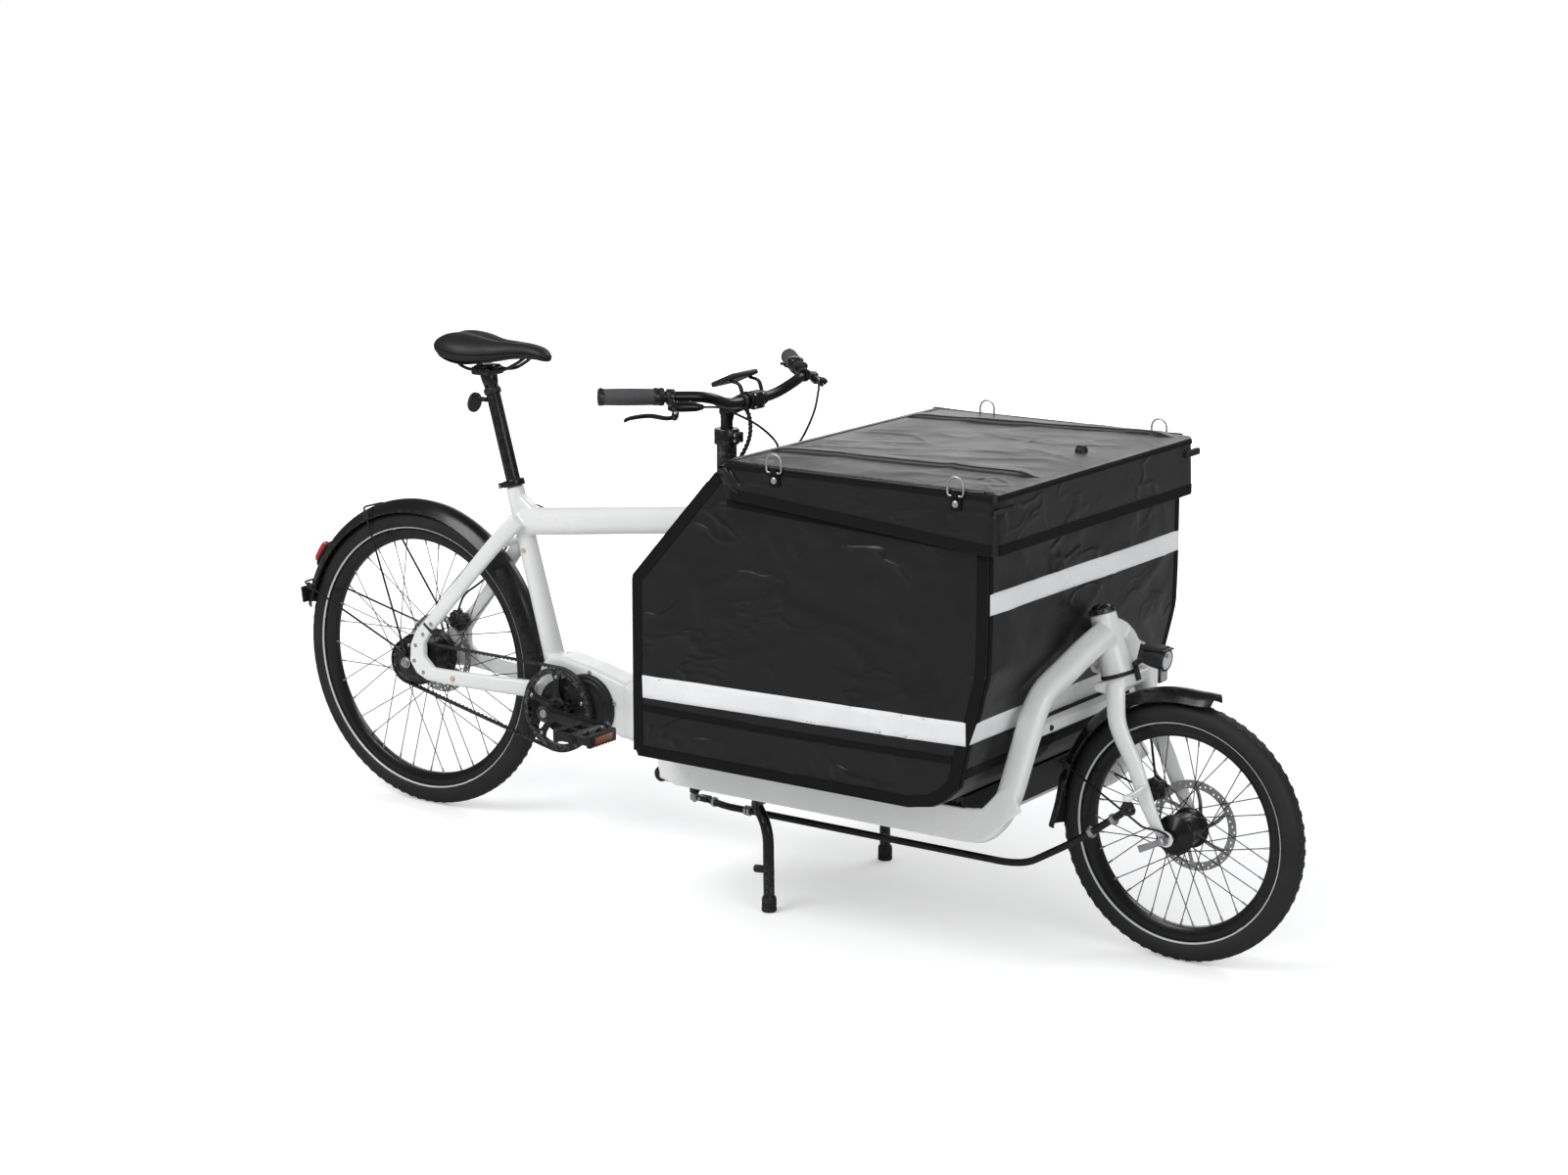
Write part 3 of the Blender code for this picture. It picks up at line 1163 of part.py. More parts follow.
def build_blade(name, side, black):
    """Brake lever blade on its pivot disc."""
    clamp, inboard, forward = lever_frame(side)
    _, pivot, axis = lever_pivot(side)
    disc = rod("disc", pivot - axis * 0.0031, pivot + axis * 0.0031, 0.0062, 20)
    outboard = -inboard
    across = (forward - axis * forward.dot(axis)).normalized()
    path = [pivot, pivot + outboard * 0.0180 + across * 0.0020,
            pivot + outboard * 0.0500 - across * 0.0040,
            pivot + outboard * 0.0850 + across * 0.0010,
            pivot + outboard * 0.1000 + across * 0.0080]
    sizes = [(0.0028, 0.0050), (0.0028, 0.0055), (0.0028, 0.0060), (0.0028, 0.0060),
             (0.0028, 0.0045)]
    blade = tube("blade", path, sizes, 10, up=tuple(axis))
    return finish(union([disc, blade]), name, black, pivot)


def build_display(black):
    """Tilted display plate on two clips round the handlebar."""
    plate = block("display", (0.0, 0.0, 0.0), (0.0600, 0.0880, 0.0110), 0.003, 1)
    turn = Matrix.Rotation(math.radians(-24.0), 4, "Y")
    plate.data.transform(Matrix.Translation((-0.0990, 0.0, 1.0145)) @ turn)
    pieces = [plate]
    for side in (-1.0, 1.0):
        pieces.append(rod("clip", (BAR_CLAMP[0], side * 0.0290, BAR_CLAMP[2]),
                          (BAR_CLAMP[0], side * 0.0370, BAR_CLAMP[2]), 0.0150, 20))
        pieces.append(tube("arm", [(BAR_CLAMP[0], side * 0.0330, BAR_CLAMP[2] + 0.012),
                                   (-0.0850, side * 0.0330, 1.0160)], 0.0035, 10))
    union(pieces)
    cut(plate, [rod("tool", (BAR_CLAMP[0], -0.1, BAR_CLAMP[2]), (BAR_CLAMP[0], 0.1, BAR_CLAMP[2]),
                    BAR_RADIUS + GAP, 24)])
    return finish(plate, "display", black, BAR_CLAMP)


def cord(name, points, radius, material, pivot=(0.0, 0.0, 0.0)):
    """Make a free cord as one closed tube along a smooth path."""
    body = tube(name, rounded_path(points, 0.060, 3), radius, 8)
    return finish(body, name, material, pivot)


def build_hoses(black):
    """Brake hoses: two free loops at the handlebar, one along the frame, one on the fork."""
    for name, side in (("hose_right", -1.0), ("hose_left", 1.0)):
        cylinder, _, _ = lever_pivot(side)
        _, inboard, _ = lever_frame(side)
        start = cylinder + inboard * 0.0603
        path = [tuple(start), tuple(start + inboard * 0.0350), (0.0300, side * 0.0950, 0.9450),
                (0.0380, side * 0.0350, 0.8950), (0.0050, side * 0.0100, 0.8450),
                (-0.0600, side * 0.0080, 0.8150), (-0.0935, side * 0.0080, 0.8050)]
        cord(name, path, 0.0025, black, BAR_CLAMP)
    rear = [(-0.8760, 0.0450, 0.4270), (-0.8690, 0.0560, 0.4620), (-0.8102, 0.0680, 0.5052),
            (-0.7123, 0.0500, 0.6205), (-0.6600, 0.0330, 0.6960), (-0.6000, 0.0276, 0.6820),
            (-0.3300, 0.0268, 0.7000), (-0.1750, 0.0262, 0.7190), (-0.1190, 0.0273, 0.7690)]
    cord("rear_brake_hose", rear, 0.0025, black)
    front = [(0.8450, 0.0480, 0.3261), (0.8380, 0.0500, 0.3600), (0.8180, 0.0740, 0.4050),
             (0.7920, 0.0720, 0.4600), (0.7840, 0.0660, 0.5200), (0.8100, 0.0440, 0.5850)]
    cord("front_brake_hose", front, 0.0025, black, HEAD_LOW)


def build_tie_rod(black, steel):
    """Swivel on the column stud and the bent rod that carries its turn to the fork."""
    x, y, z = ROD_REAR
    ring = rod("ring", (x, y, z - 0.0070), (x, y, z + 0.0065), 0.0090, 24)
    tongue = block("tongue", (x + 0.0140, y, z), (0.0200, 0.0080, 0.0110))
    union([ring, tongue])
    stud = rod("tool", (x, y, z - 0.1), (x, y, z + 0.1), STUD_RADIUS + RUN, 16)
    pin = rod("tool", (ROD_PIN_X, y - 0.1, z), (ROD_PIN_X, y + 0.1, z), 0.0025 + RUN, 16)
    cut(ring, [stud, pin])
    finish(ring, "rod_swivel", steel, ROD_REAR)
    path = [(ROD_PIN_X + 0.0140, y, z), (-0.0500, y, 0.1760), (-0.0200, y, 0.1725),
            (0.6350, y, 0.1725), (0.6800, y, 0.1800), (0.7900, y, 0.2450),
            (ROD_FRONT[0] - 0.0130, y, ROD_FRONT[2] - 0.0080)]
    bar = tube("bar", rounded_path(path, 0.0500, 2), 0.0070, 14)
    pieces = [bar, block("base", (ROD_PIN_X + 0.0140, y, z), (0.0100, 0.0200, 0.0110), 0.001, 1)]
    for side in (-1.0, 1.0):
        pieces.append(block("cheek", (ROD_PIN_X + 0.0050, y + side * 0.0070, z),
                            (0.0210, 0.0050, 0.0100)))
    pieces.append(rod("pin", (ROD_PIN_X, y - 0.0080, z), (ROD_PIN_X, y + 0.0080, z), 0.0025, 14))
    fx, fy, fz = ROD_FRONT
    pieces.append(rod("eye", (fx, fy, fz - 0.0070), (fx, fy, fz + 0.0070), 0.0150, 24))
    rod_body = union(pieces)
    cut(rod_body, [rod("tool", (fx, fy, fz - 0.1), (fx, fy, fz + 0.1),
                       STUD_RADIUS + OPEN_PIVOT_CLEARANCE, 24)])
    finish(rod_body, "tie_rod", black, (ROD_PIN_X, y, z))


def build_stand(black):
    """Two-legged stand: cross bar, curved legs, a foot peg and sleeve-shaped feet."""
    x, _, z = STAND_BAR
    half = [(x, 0.1250, z), (0.0640, 0.1600, z), (0.0950, 0.1900, 0.1960),
            (0.1200, 0.2060, 0.1780), (0.1290, 0.2085, 0.1500), (0.1310, 0.2085, 0.0150)]
    whole = [mirror_y(point) for point in reversed(half)] + half
    pieces = [tube("legs", rounded_path(whole, 0.0250, 2), STAND_BAR_RADIUS, 14)]
    for side in (-1.0, 1.0):
        foot = [(0.1310, side * 0.2085, 0.0300), (0.1310, side * 0.2085, 0.0)]
        pieces.append(rod("foot", foot[1], foot[0], 0.0150, 18))
    pieces.append(rod("peg", (0.1300, -0.2085, 0.0850), (0.0980, -0.2085, 0.0820), 0.0060, 12))
    return finish(union(pieces), "stand", black, STAND_BAR)


def saddle_rail(side, grow):
    """Make one saddle rail, plugged into the cover at both ends; grown by a clearance."""
    path = [(-0.6250, 0.0100, 1.0150 + grow), (-0.6420, 0.0150, 1.0010), (-0.6850, 0.0220, 0.9780),
            (-0.7780, 0.0220, 0.9760), (-0.7990, 0.0270, 0.9860), (-0.8080, 0.0300, 1.0060 + grow)]
    path = [(x, side * y, z) for x, y, z in path]
    return tube("rail", rounded_path(path, 0.02, 1), 0.0035 + grow, 10)


def build_saddle(leather):
    """Padded saddle: rear wings, drawn-in waist and narrow nose with a raised crown."""
    stations = [(-0.8480, 1.0350, 1.0210, 0.0400), (-0.8400, 1.0430, 1.0130, 0.0560),
                (-0.8200, 1.0490, 1.0020, 0.0690), (-0.7900, 1.0490, 0.9945, 0.0745),
                (-0.7600, 1.0455, 0.9915, 0.0715), (-0.7300, 1.0405, 0.9945, 0.0600),
                (-0.7000, 1.0380, 1.0000, 0.0445), (-0.6650, 1.0385, 1.0070, 0.0330),
                (-0.6300, 1.0385, 1.0105, 0.0265), (-0.6000, 1.0350, 1.0110, 0.0225),
                (-0.5820, 1.0280, 1.0085, 0.0165), (-0.5735, 1.0190, 1.0080, 0.0080)]
    verts = []
    rows = []
    faces = []
    count = 16
    for x, top, low, half in stations:
        middle = low + 0.30 * (top - low)
        row = []
        for k in range(count):
            turn = 2.0 * math.pi * k / count
            c, s = math.cos(turn), math.sin(turn)
            y = half * math.copysign(abs(c) ** 0.80, c)
            rise = (top - middle) if s > 0.0 else (middle - low)
            dip = 0.0030 * (1.0 - abs(c)) if s > 0.5 and x < -0.76 else 0.0
            row.append(len(verts))
            verts.append((x, y, middle + rise * math.copysign(abs(s) ** 0.70, s) - dip))
        rows.append(row)
    for k in range(len(rows) - 1):
        join_rows(faces, rows[k], rows[k + 1])
    faces.append(list(rows[0]))
    faces.append(list(rows[-1]))
    body = make_object("saddle", verts, faces)
    cut(body, [saddle_rail(side, GAP) for side in (-1.0, 1.0)])
    return finish(body, "saddle_cover", leather, POST_TOP)


def build_seatpost(black):
    """Seat post with its clamp head and the two saddle rails."""
    up = (Vector(SEAT_TOP) - Vector(SEAT_LOW)).normalized()
    pieces = [rod("post", Vector(SEAT_TOP) - up * 0.1700, POST_TOP, POST_RADIUS, 28)]
    pieces.append(block("clamp", (-0.7410, 0.0, 0.9740), (0.0480, 0.0560, 0.0200), 0.003, 1))
    for side in (-1.0, 1.0):
        pieces.append(saddle_rail(side, 0.0))
    return finish(union(pieces), "seatpost", black, POST_TOP)


REAR_HUB = [(AXLE_RADIUS + RUN, -0.0485), (0.0180, -0.0485), (0.0560, -0.0360),
            (0.0560, -0.0310), (0.0480, -0.0280), (0.0480, 0.0280), (0.0560, 0.0310),
            (0.0560, 0.0360), (0.0260, 0.0437), (AXLE_RADIUS + RUN, 0.0437)]
FRONT_HUB = [(AXLE_RADIUS + RUN, -0.0600), (0.0110, -0.0600), (0.0130, -0.0430),
             (0.0390, -0.0330), (0.0390, -0.0280), (0.0325, -0.0250), (0.0325, 0.0250),
             (0.0390, 0.0280), (0.0390, 0.0330), (0.0260, 0.0467), (0.0140, 0.0467),
             (0.0130, 0.0600), (AXLE_RADIUS + RUN, 0.0600)]
REAR_ROTOR = (0.0450, 0.0880)
FRONT_ROTOR = (0.0480, 0.0880)


def build_all():
    """Build every sub-part in turn."""
    clear_scene()
    white = make_material("white_paint", (0.86, 0.86, 0.84), 0.28)
    black = make_material("black_metal", (0.025, 0.025, 0.027), 0.42, 0.3)
    plastic = make_material("black_plastic", (0.022, 0.022, 0.024), 0.5)
    rubber = make_material("rubber", (0.02, 0.02, 0.021), 0.8)
    fabric = make_material("tarpaulin", (0.03, 0.031, 0.034), 0.45)
    leather = make_material("saddle_skin", (0.022, 0.022, 0.023), 0.6)
    steel = make_material("bright_steel", (0.72, 0.72, 0.73), 0.28, 1.0)
    red = make_material("red_lens", (0.45, 0.02, 0.02), 0.2)
    build_frame_rear(white)
    build_frame_bay(white)
    build_frame_front(white)
    build_seat_collar(black)
    build_motor(plastic)
    build_belt(rubber)
    build_rear_axle(black)
    build_rear_fender(plastic)
    build_rear_fender_stays(black)
    build_tail_light(red)
    build_bay_floor(black)
    build_box(fabric)
    build_lid(fabric)
    build_knob(plastic)
    rings = ("ring_rear", "ring_front")
    for label, x in zip(rings, RING_STATIONS):
        build_ring(label + "_right", x, -1.0, steel)
        build_ring(label + "_left", x, 1.0, steel)
    mats = {"rubber": rubber, "black": black, "steel": steel}
    build_wheel("rear", REAR_AXLE, REAR_RADIUS, REAR_HUB, REAR_ROTOR, mats)
    build_wheel("front", FRONT_AXLE, FRONT_RADIUS, FRONT_HUB, FRONT_ROTOR, mats)
    caliper("rear_caliper", (-0.8728, 0.4073), REAR_AXLE, REAR_ROTOR[0], black,
            (-0.8850, 0.0500, 0.3960), (-0.8600, 0.0664, 0.4090))
    caliper("front_caliper", (0.8450, 0.3080), FRONT_AXLE, FRONT_ROTOR[0], black,
            (0.8480, 0.0540, 0.3050), (0.8850, 0.0640, 0.3150), [fork_leg(1.0, GAP)])
    build_sprocket(black)
    build_chainring(black)
    build_crank("crank_right", -1.0, True, black)
    build_crank("crank_left", 1.0, False, black)
    build_pedal("pedal_right", -1.0, plastic)
    build_pedal("pedal_left", 1.0, plastic)
    build_fork(white)
    build_front_axle(steel)
    build_release_lever(steel)
    build_front_fender(plastic)
    build_mudflap(rubber)
    build_front_fender_stays(black)
    build_headlight(plastic)
    build_column(black)
    build_stem(black)
    build_handlebar(black)
    build_grip("grip_right", -1.0, rubber)
    build_grip("grip_left", 1.0, rubber)
    build_lever_body("lever_body_right", -1.0, black)
    build_lever_body("lever_body_left", 1.0, black)
    build_blade("brake_lever_right", -1.0, black)
    build_blade("brake_lever_left", 1.0, black)
    build_display(plastic)
    build_hoses(rubber)
    build_tie_rod(black, steel)
    build_stand(black)
    build_saddle(leather)
    build_seatpost(black)


build_all()
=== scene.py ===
"""Looks of a front-loading cargo bicycle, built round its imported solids.

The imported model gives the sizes, the bodies and the joints. Each class below is one
sub-assembly: it holds its own sizes, builds its meshes and dresses them. All lengths are
metres, +X is forward, +Y is the rider's left and +Z is up.
"""

from __future__ import annotations

import logging
import math
from dataclasses import dataclass, field
from enum import Enum
from typing import Callable, Iterable, Optional, Sequence

import bmesh
import bpy
from mathutils import Matrix, Vector
from mathutils import noise as field_noise


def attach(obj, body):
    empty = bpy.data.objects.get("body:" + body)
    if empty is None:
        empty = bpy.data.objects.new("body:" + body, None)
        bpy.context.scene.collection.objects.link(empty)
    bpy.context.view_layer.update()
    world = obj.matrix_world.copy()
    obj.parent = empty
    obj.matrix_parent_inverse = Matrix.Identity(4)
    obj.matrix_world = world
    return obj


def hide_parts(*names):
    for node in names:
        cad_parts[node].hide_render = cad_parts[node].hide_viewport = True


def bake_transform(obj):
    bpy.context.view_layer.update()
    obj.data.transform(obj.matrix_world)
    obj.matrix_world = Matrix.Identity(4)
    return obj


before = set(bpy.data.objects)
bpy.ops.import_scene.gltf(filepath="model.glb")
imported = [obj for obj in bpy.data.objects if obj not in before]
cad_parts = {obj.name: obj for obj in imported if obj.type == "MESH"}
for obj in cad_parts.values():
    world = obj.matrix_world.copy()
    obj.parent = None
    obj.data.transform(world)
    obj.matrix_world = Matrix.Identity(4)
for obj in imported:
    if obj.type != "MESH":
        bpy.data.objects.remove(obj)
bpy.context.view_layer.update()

LOG = logging.getLogger("cargo_bicycle")

Point = Sequence[float]
Section = tuple[Vector, Vector, Vector]

# Stations are measured from the ground point midway between the axles, as in the solids.
STATION_TO_WORLD = Vector((0.04505, 0.0, 0.0))

REAR_AXLE = Vector((-0.9294, 0.0, 0.3265)) + STATION_TO_WORLD
FRONT_AXLE = Vector((0.9294, 0.0, 0.25)) + STATION_TO_WORLD
CRANK_CENTRE = Vector((-0.52, 0.0, 0.281)) + STATION_TO_WORLD
HEAD_TOP = Vector((0.7495, 0.0, 0.645)) + STATION_TO_WORLD
HEAD_LOW = Vector((0.787, 0.0, 0.53)) + STATION_TO_WORLD
COLUMN_X = -0.119 + STATION_TO_WORLD.x
BAR_CLAMP = Vector((-0.056, 0.0, 0.975)) + STATION_TO_WORLD
BAR_BEND = Vector((-0.0449, 0.1657, 1.0038)) + STATION_TO_WORLD
BAR_END = Vector((-0.192, 0.3235, 1.0101)) + STATION_TO_WORLD
BAR_RADIUS = 0.011
SEAT_LOW = Vector((-0.56, 0.0, 0.336)) + STATION_TO_WORLD
SEAT_TOP = Vector((-0.672, 0.0, 0.732)) + STATION_TO_WORLD
POST_TOP = Vector((-0.739, 0.0, 0.969)) + STATION_TO_WORLD

# Stitches: distance between threads, length of one as a share of it, half thickness.
THREAD_PITCH = 0.0095
THREAD_SHARE = 0.62
THREAD_END = 0.00035
THREAD_MIDDLE = 0.00055
# Size of the faces that the cargo frame's skin is rebuilt with.
CARGO_VOXEL = 0.0032

X_AXIS = Vector((1.0, 0.0, 0.0))
Y_AXIS = Vector((0.0, 1.0, 0.0))
Z_AXIS = Vector((0.0, 0.0, 1.0))


def station(x: float, y: float, z: float) -> Vector:
    """Return the world place of a point given in stations."""
    return Vector((x, y, z)) + STATION_TO_WORLD


def stations(points: Iterable[Point]) -> list[Vector]:
    """Return the world places of several points given in stations."""
    return [station(*point) for point in points]


def smooth_step(low: float, high: float, value: float) -> float:
    """Return 0 below low, 1 above high and a smooth ramp between them."""
    share = min(max((value - low) / (high - low), 0.0), 1.0)
    return share * share * (3.0 - 2.0 * share)


# ---------------------------------------------------------------- meshes


def deselect_all() -> None:
    """Leave no object selected and no object in edit mode."""
    if bpy.context.object and bpy.context.object.mode != "OBJECT":
        bpy.ops.object.mode_set(mode="OBJECT")
    bpy.ops.object.select_all(action="DESELECT")


def activate(piece: bpy.types.Object) -> None:
    """Make one object the only selected and active one."""
    deselect_all()
    piece.select_set(True)
    bpy.context.view_layer.objects.active = piece


def take_new(name: str) -> bpy.types.Object:
    """Name the object that an operator just made and return it."""
    piece = bpy.context.object
    piece.name = name
    piece.data.name = name
    return piece


def clean(piece: bpy.types.Object, merge: float = 0.00002) -> bpy.types.Object:
    """Merge doubles and turn every face outwards.

    Args:
        piece: the mesh object to clean.
        merge: the distance under which vertices become one.

    Returns:
        The same object.
    """
    activate(piece)
    bpy.ops.object.mode_set(mode="EDIT")
    bpy.ops.mesh.select_all(action="SELECT")
    bpy.ops.mesh.remove_doubles(threshold=merge)
    bpy.ops.mesh.dissolve_degenerate(threshold=0.000001)
    bpy.ops.mesh.select_all(action="SELECT")
    bpy.ops.mesh.normals_make_consistent(inside=False)
    bpy.ops.object.mode_set(mode="OBJECT")
    return piece


def shade(piece: bpy.types.Object, degrees: float = 35.0) -> bpy.types.Object:
    """Shade a piece smooth, apart from edges sharper than an angle."""
    activate(piece)
    bpy.ops.object.shade_smooth_by_angle(angle=math.radians(degrees))
    return piece


def apply_modifier(piece: bpy.types.Object, modifier: bpy.types.Modifier) -> None:
    """Apply one modifier to a piece."""
    activate(piece)
    bpy.ops.object.modifier_apply(modifier=modifier.name)


def bevel(piece: bpy.types.Object, width: float, segments: int = 2,
        degrees: float = 35.0) -> bpy.types.Object:
    """Round a piece's edges and apply the rounding.

    Args:
        piece: the mesh object.
        width: the bevel's width.
        segments: the steps of the rounding.
        degrees: edges flatter than this stay as they are.

    Returns:
        The same object.
    """
    modifier = piece.modifiers.new("edges", "BEVEL")
    modifier.width = width
    modifier.segments = segments
    modifier.limit_method = "ANGLE"
    modifier.angle_limit = math.radians(degrees)
    apply_modifier(piece, modifier)
    return piece


def subdivide_surface(piece: bpy.types.Object, levels: int = 1) -> bpy.types.Object:
    """Apply a subdivision surface."""
    modifier = piece.modifiers.new("surface", "SUBSURF")
    modifier.levels = levels
    modifier.render_levels = levels
    apply_modifier(piece, modifier)
    return piece


def boolean(piece: bpy.types.Object, tool: bpy.types.Object, operation: str) -> bpy.types.Object:
    """Join a tool to a piece or cut it out, and remove the tool."""
    modifier = piece.modifiers.new("cut", "BOOLEAN")
    modifier.operation = operation
    modifier.solver = "EXACT"
    modifier.object = tool
    apply_modifier(piece, modifier)
    bpy.data.objects.remove(tool, do_unlink=True)
    return piece


def join(name: str, pieces: Sequence[bpy.types.Object]) -> bpy.types.Object:
    """Join several mesh objects into one named object."""
    activate(pieces[0])
    for piece in pieces[1:]:
        piece.select_set(True)
    if len(pieces) > 1:
        bpy.ops.object.join()
    return take_new(name)


def loft(name: str, rings: Sequence[Sequence[Vector]], closed: bool = False,
        caps: bool = True) -> bpy.types.Object:
    """Skin a tube over rings of points, starting from a grid.

    Args:
        name: the new object's name.
        rings: rings of equal length, in order along the piece.
        closed: True where the last ring joins the first.
        caps: True where the ends of an open tube are filled.

    Returns:
        The new mesh object.
    """
    along = len(rings) + (1 if closed else 0)
    around = len(rings[0]) + 1
    deselect_all()
    bpy.ops.mesh.primitive_grid_add(x_subdivisions=along - 1, y_subdivisions=around - 1, size=2.0)
    piece = take_new(name)
    for vertex in piece.data.vertices:
        i = round((vertex.co.x + 1.0) / 2.0 * (along - 1)) % len(rings)
        j = round((vertex.co.y + 1.0) / 2.0 * (around - 1)) % len(rings[0])
        vertex.co = rings[i][j]
    activate(piece)
    bpy.ops.object.mode_set(mode="EDIT")
    bpy.ops.mesh.select_all(action="SELECT")
    bpy.ops.mesh.remove_doubles(threshold=0.000005)
    if caps and not closed:
        bpy.ops.mesh.select_all(action="DESELECT")
        bpy.ops.mesh.select_mode(type="EDGE")
        bpy.ops.mesh.select_non_manifold(extend=False, use_wire=False, use_multi_face=False,
            use_non_contiguous=False, use_verts=False)
        bpy.ops.mesh.edge_face_add()
    bpy.ops.mesh.select_mode(type="VERT")
    bpy.ops.mesh.select_all(action="SELECT")
    bpy.ops.mesh.normals_make_consistent(inside=False)
    bpy.ops.object.mode_set(mode="OBJECT")
    return piece


def sweep_frames(path: Sequence[Vector], up: Vector) -> list[Section]:
    """Return place, side and upright vectors at each point of a path.

    Args:
        path: the points of the centre line.
        up: the direction that each section's second axis leans to.

    Returns:
        One (point, first axis, second axis) for each point.
    """
    frames = []
    for i, point in enumerate(path):
        before = path[max(i - 1, 0)]
        after = path[min(i + 1, len(path) - 1)]
        way = (after - before).normalized()
        side = way.cross(up)
        if side.length < 0.05:
            side = way.cross(X_AXIS if abs(way.x) < 0.9 else Y_AXIS)
        side.normalize()
        frames.append((point, side, side.cross(way).normalized()))
    return frames


def sweep(name: str, path: Sequence[Vector], sizes: Sequence[tuple[float, float]], sides: int = 24,
        up: Vector = Z_AXIS, power: float = 1.0) -> bpy.types.Object:
    """Sweep an ellipse or a rounded box along a path.

    Args:
        name: the new object's name.
        path: the points of the centre line.
        sizes: half width and half height at each point.
        sides: the points of each section.
        up: the direction of the section's height.
        power: 1 for an ellipse, smaller for a squarer section.

    Returns:
        The new mesh object.
    """
    rings = []
    for (point, side, rise), (half_width, half_height) in zip(sweep_frames(path, up), sizes):
        ring = []
        for k in range(sides):
            turn = 2.0 * math.pi * (k + 0.5) / sides
            c, s = math.cos(turn), math.sin(turn)
            across = half_width * math.copysign(abs(c) ** power, c)
            height = half_height * math.copysign(abs(s) ** power, s)
            ring.append(point + side * across + rise * height)
        rings.append(ring)
    return loft(name, rings)


def curve_through(points: Sequence[Vector], steps: int = 8, closed: bool = False) -> list[Vector]:
    """Return points of a smooth curve that passes through given points.

    Args:
        points: the points to pass through.
        steps: the new points for each stretch.
        closed: True where the curve comes back to its start.

    Returns:
        The points of the smooth curve.
    """
    count = len(points)
    result = []
    last = count if closed else count - 1
    for i in range(last):
        if closed:
            a, b, c, d = (points[(i + k) % count] for k in (-1, 0, 1, 2))
        else:
            a, b, c, d = (points[min(max(i + k, 0), count - 1)] for k in (-1, 0, 1, 2))
        for step in range(steps):
            t = step / steps
            result.append(0.5 * ((2.0 * b) + (c - a) * t + (2.0 * a - 5.0 * b + 4.0 * c - d) * t
                * t + (3.0 * b - a - 3.0 * c + d) * t * t * t))
    if not closed:
        result.append(points[-1].copy())
    return result


def rounded_path(points: Sequence[Vector], radius: float, steps: int = 6) -> list[Vector]:
    """Return a path whose corners are rounded.

    Args:
        points: the corners of the path.
        radius: how far from a corner its curve starts.
        steps: the points of each curve.

    Returns:
        The points of the rounded path.
    """
    result = [points[0].copy()]
    for i in range(1, len(points) - 1):
        before, here, after = points[i - 1], points[i], points[i + 1]
        reach = min(radius, (before - here).length * 0.48, (after - here).length * 0.48)
        start = here + (before - here).normalized() * reach
        end = here + (after - here).normalized() * reach
        for step in range(steps + 1):
            t = step / steps
            result.append(start * (1 - t) ** 2 + here * 2 * t * (1 - t) + end * t * t)
    result.append(points[-1].copy())
    return result


def tube(name: str, points: Sequence[Vector], radius: float, sides: int = 20, bend: float = 0.03,
        steps: int = 8) -> bpy.types.Object:
    """Make a round tube along a path with rounded corners."""
    path = rounded_path(points, bend, steps) if len(points) > 2 else list(points)
    up = Z_AXIS if abs((path[-1] - path[0]).normalized().z) < 0.9 else X_AXIS
    return sweep(name, path, [(radius, radius)] * len(path), sides, up)


def graded(start: Point, end: Point, count: int) -> list[tuple[float, float]]:
    """Return section sizes that change evenly from one to another."""
    shares = [i / (count - 1) for i in range(count)]
    return [(start[0] + (end[0] - start[0]) * t, start[1] + (end[1] - start[1]) * t)
        for t in shares]


def turned(name: str, profile: Sequence[Point], centre: Vector, axis: Vector, steps: int = 48,
        closed: bool = False) -> bpy.types.Object:
    """Spin a profile of (radius, distance along the axis) round an axis.

    Args:
        name: the new object's name.
        profile: the points of the profile, from one end of the axis to the other.
        centre: the point from which distances along the axis are counted.
        axis: the direction of the axis.
        steps: the steps of the full turn.
        closed: True for a ring, whose profile is a loop clear of the axis.

    Returns:
        The new mesh object.
    """
    way = axis.normalized()
    out = way.orthogonal().normalized()
    deselect_all()
    bpy.ops.mesh.primitive_circle_add(vertices=len(profile), fill_type="NOTHING")
    piece = take_new(name)
    for vertex, (radius, along) in zip(piece.data.vertices, profile):
        vertex.co = centre + way * along + out * radius
    bpy.ops.object.mode_set(mode="EDIT")
    if not closed:
        work = bmesh.from_edit_mesh(piece.data)
        work.verts.ensure_lookup_table()
        first, last = work.verts[0], work.verts[-1]
        for edge in work.edges:
            edge.select = first in edge.verts and last in edge.verts
        bmesh.update_edit_mesh(piece.data)
        bpy.ops.mesh.delete(type="EDGE_FACE")
    bpy.ops.mesh.select_all(action="SELECT")
    bpy.ops.mesh.spin(steps=steps, angle=2.0 * math.pi, center=centre, axis=way,
        use_auto_merge=True)
    bpy.ops.object.mode_set(mode="OBJECT")
    return clean(piece)


def plate(name: str, outline: Sequence[Point], low: float, high: float,
        axis: Vector = Y_AXIS) -> bpy.types.Object:
    """Extrude a flat outline between two distances along an axis.

    Args:
        name: the new object's name.
        outline: (x, z) points for the Y axis, (y, z) for X and (x, y) for Z.
        low: where the plate starts.
        high: where the plate ends.
        axis: one of the three world axes.

    Returns:
        The new mesh object.
    """
    deselect_all()
    bpy.ops.mesh.primitive_circle_add(vertices=len(outline), fill_type="NGON")
    piece = take_new(name)
    for vertex, (first, second) in zip(piece.data.vertices, outline):
        if axis.y:
            vertex.co = (first, low, second)
        elif axis.x:
            vertex.co = (low, first, second)
        else:
            vertex.co = (first, second, low)
    bpy.ops.object.mode_set(mode="EDIT")
    bpy.ops.mesh.select_all(action="SELECT")
    bpy.ops.mesh.extrude_region_move(TRANSFORM_OT_translate={"value": axis * (high - low)})
    bpy.ops.mesh.select_all(action="SELECT")
    bpy.ops.mesh.normals_make_consistent(inside=False)
    bpy.ops.object.mode_set(mode="OBJECT")
    return piece


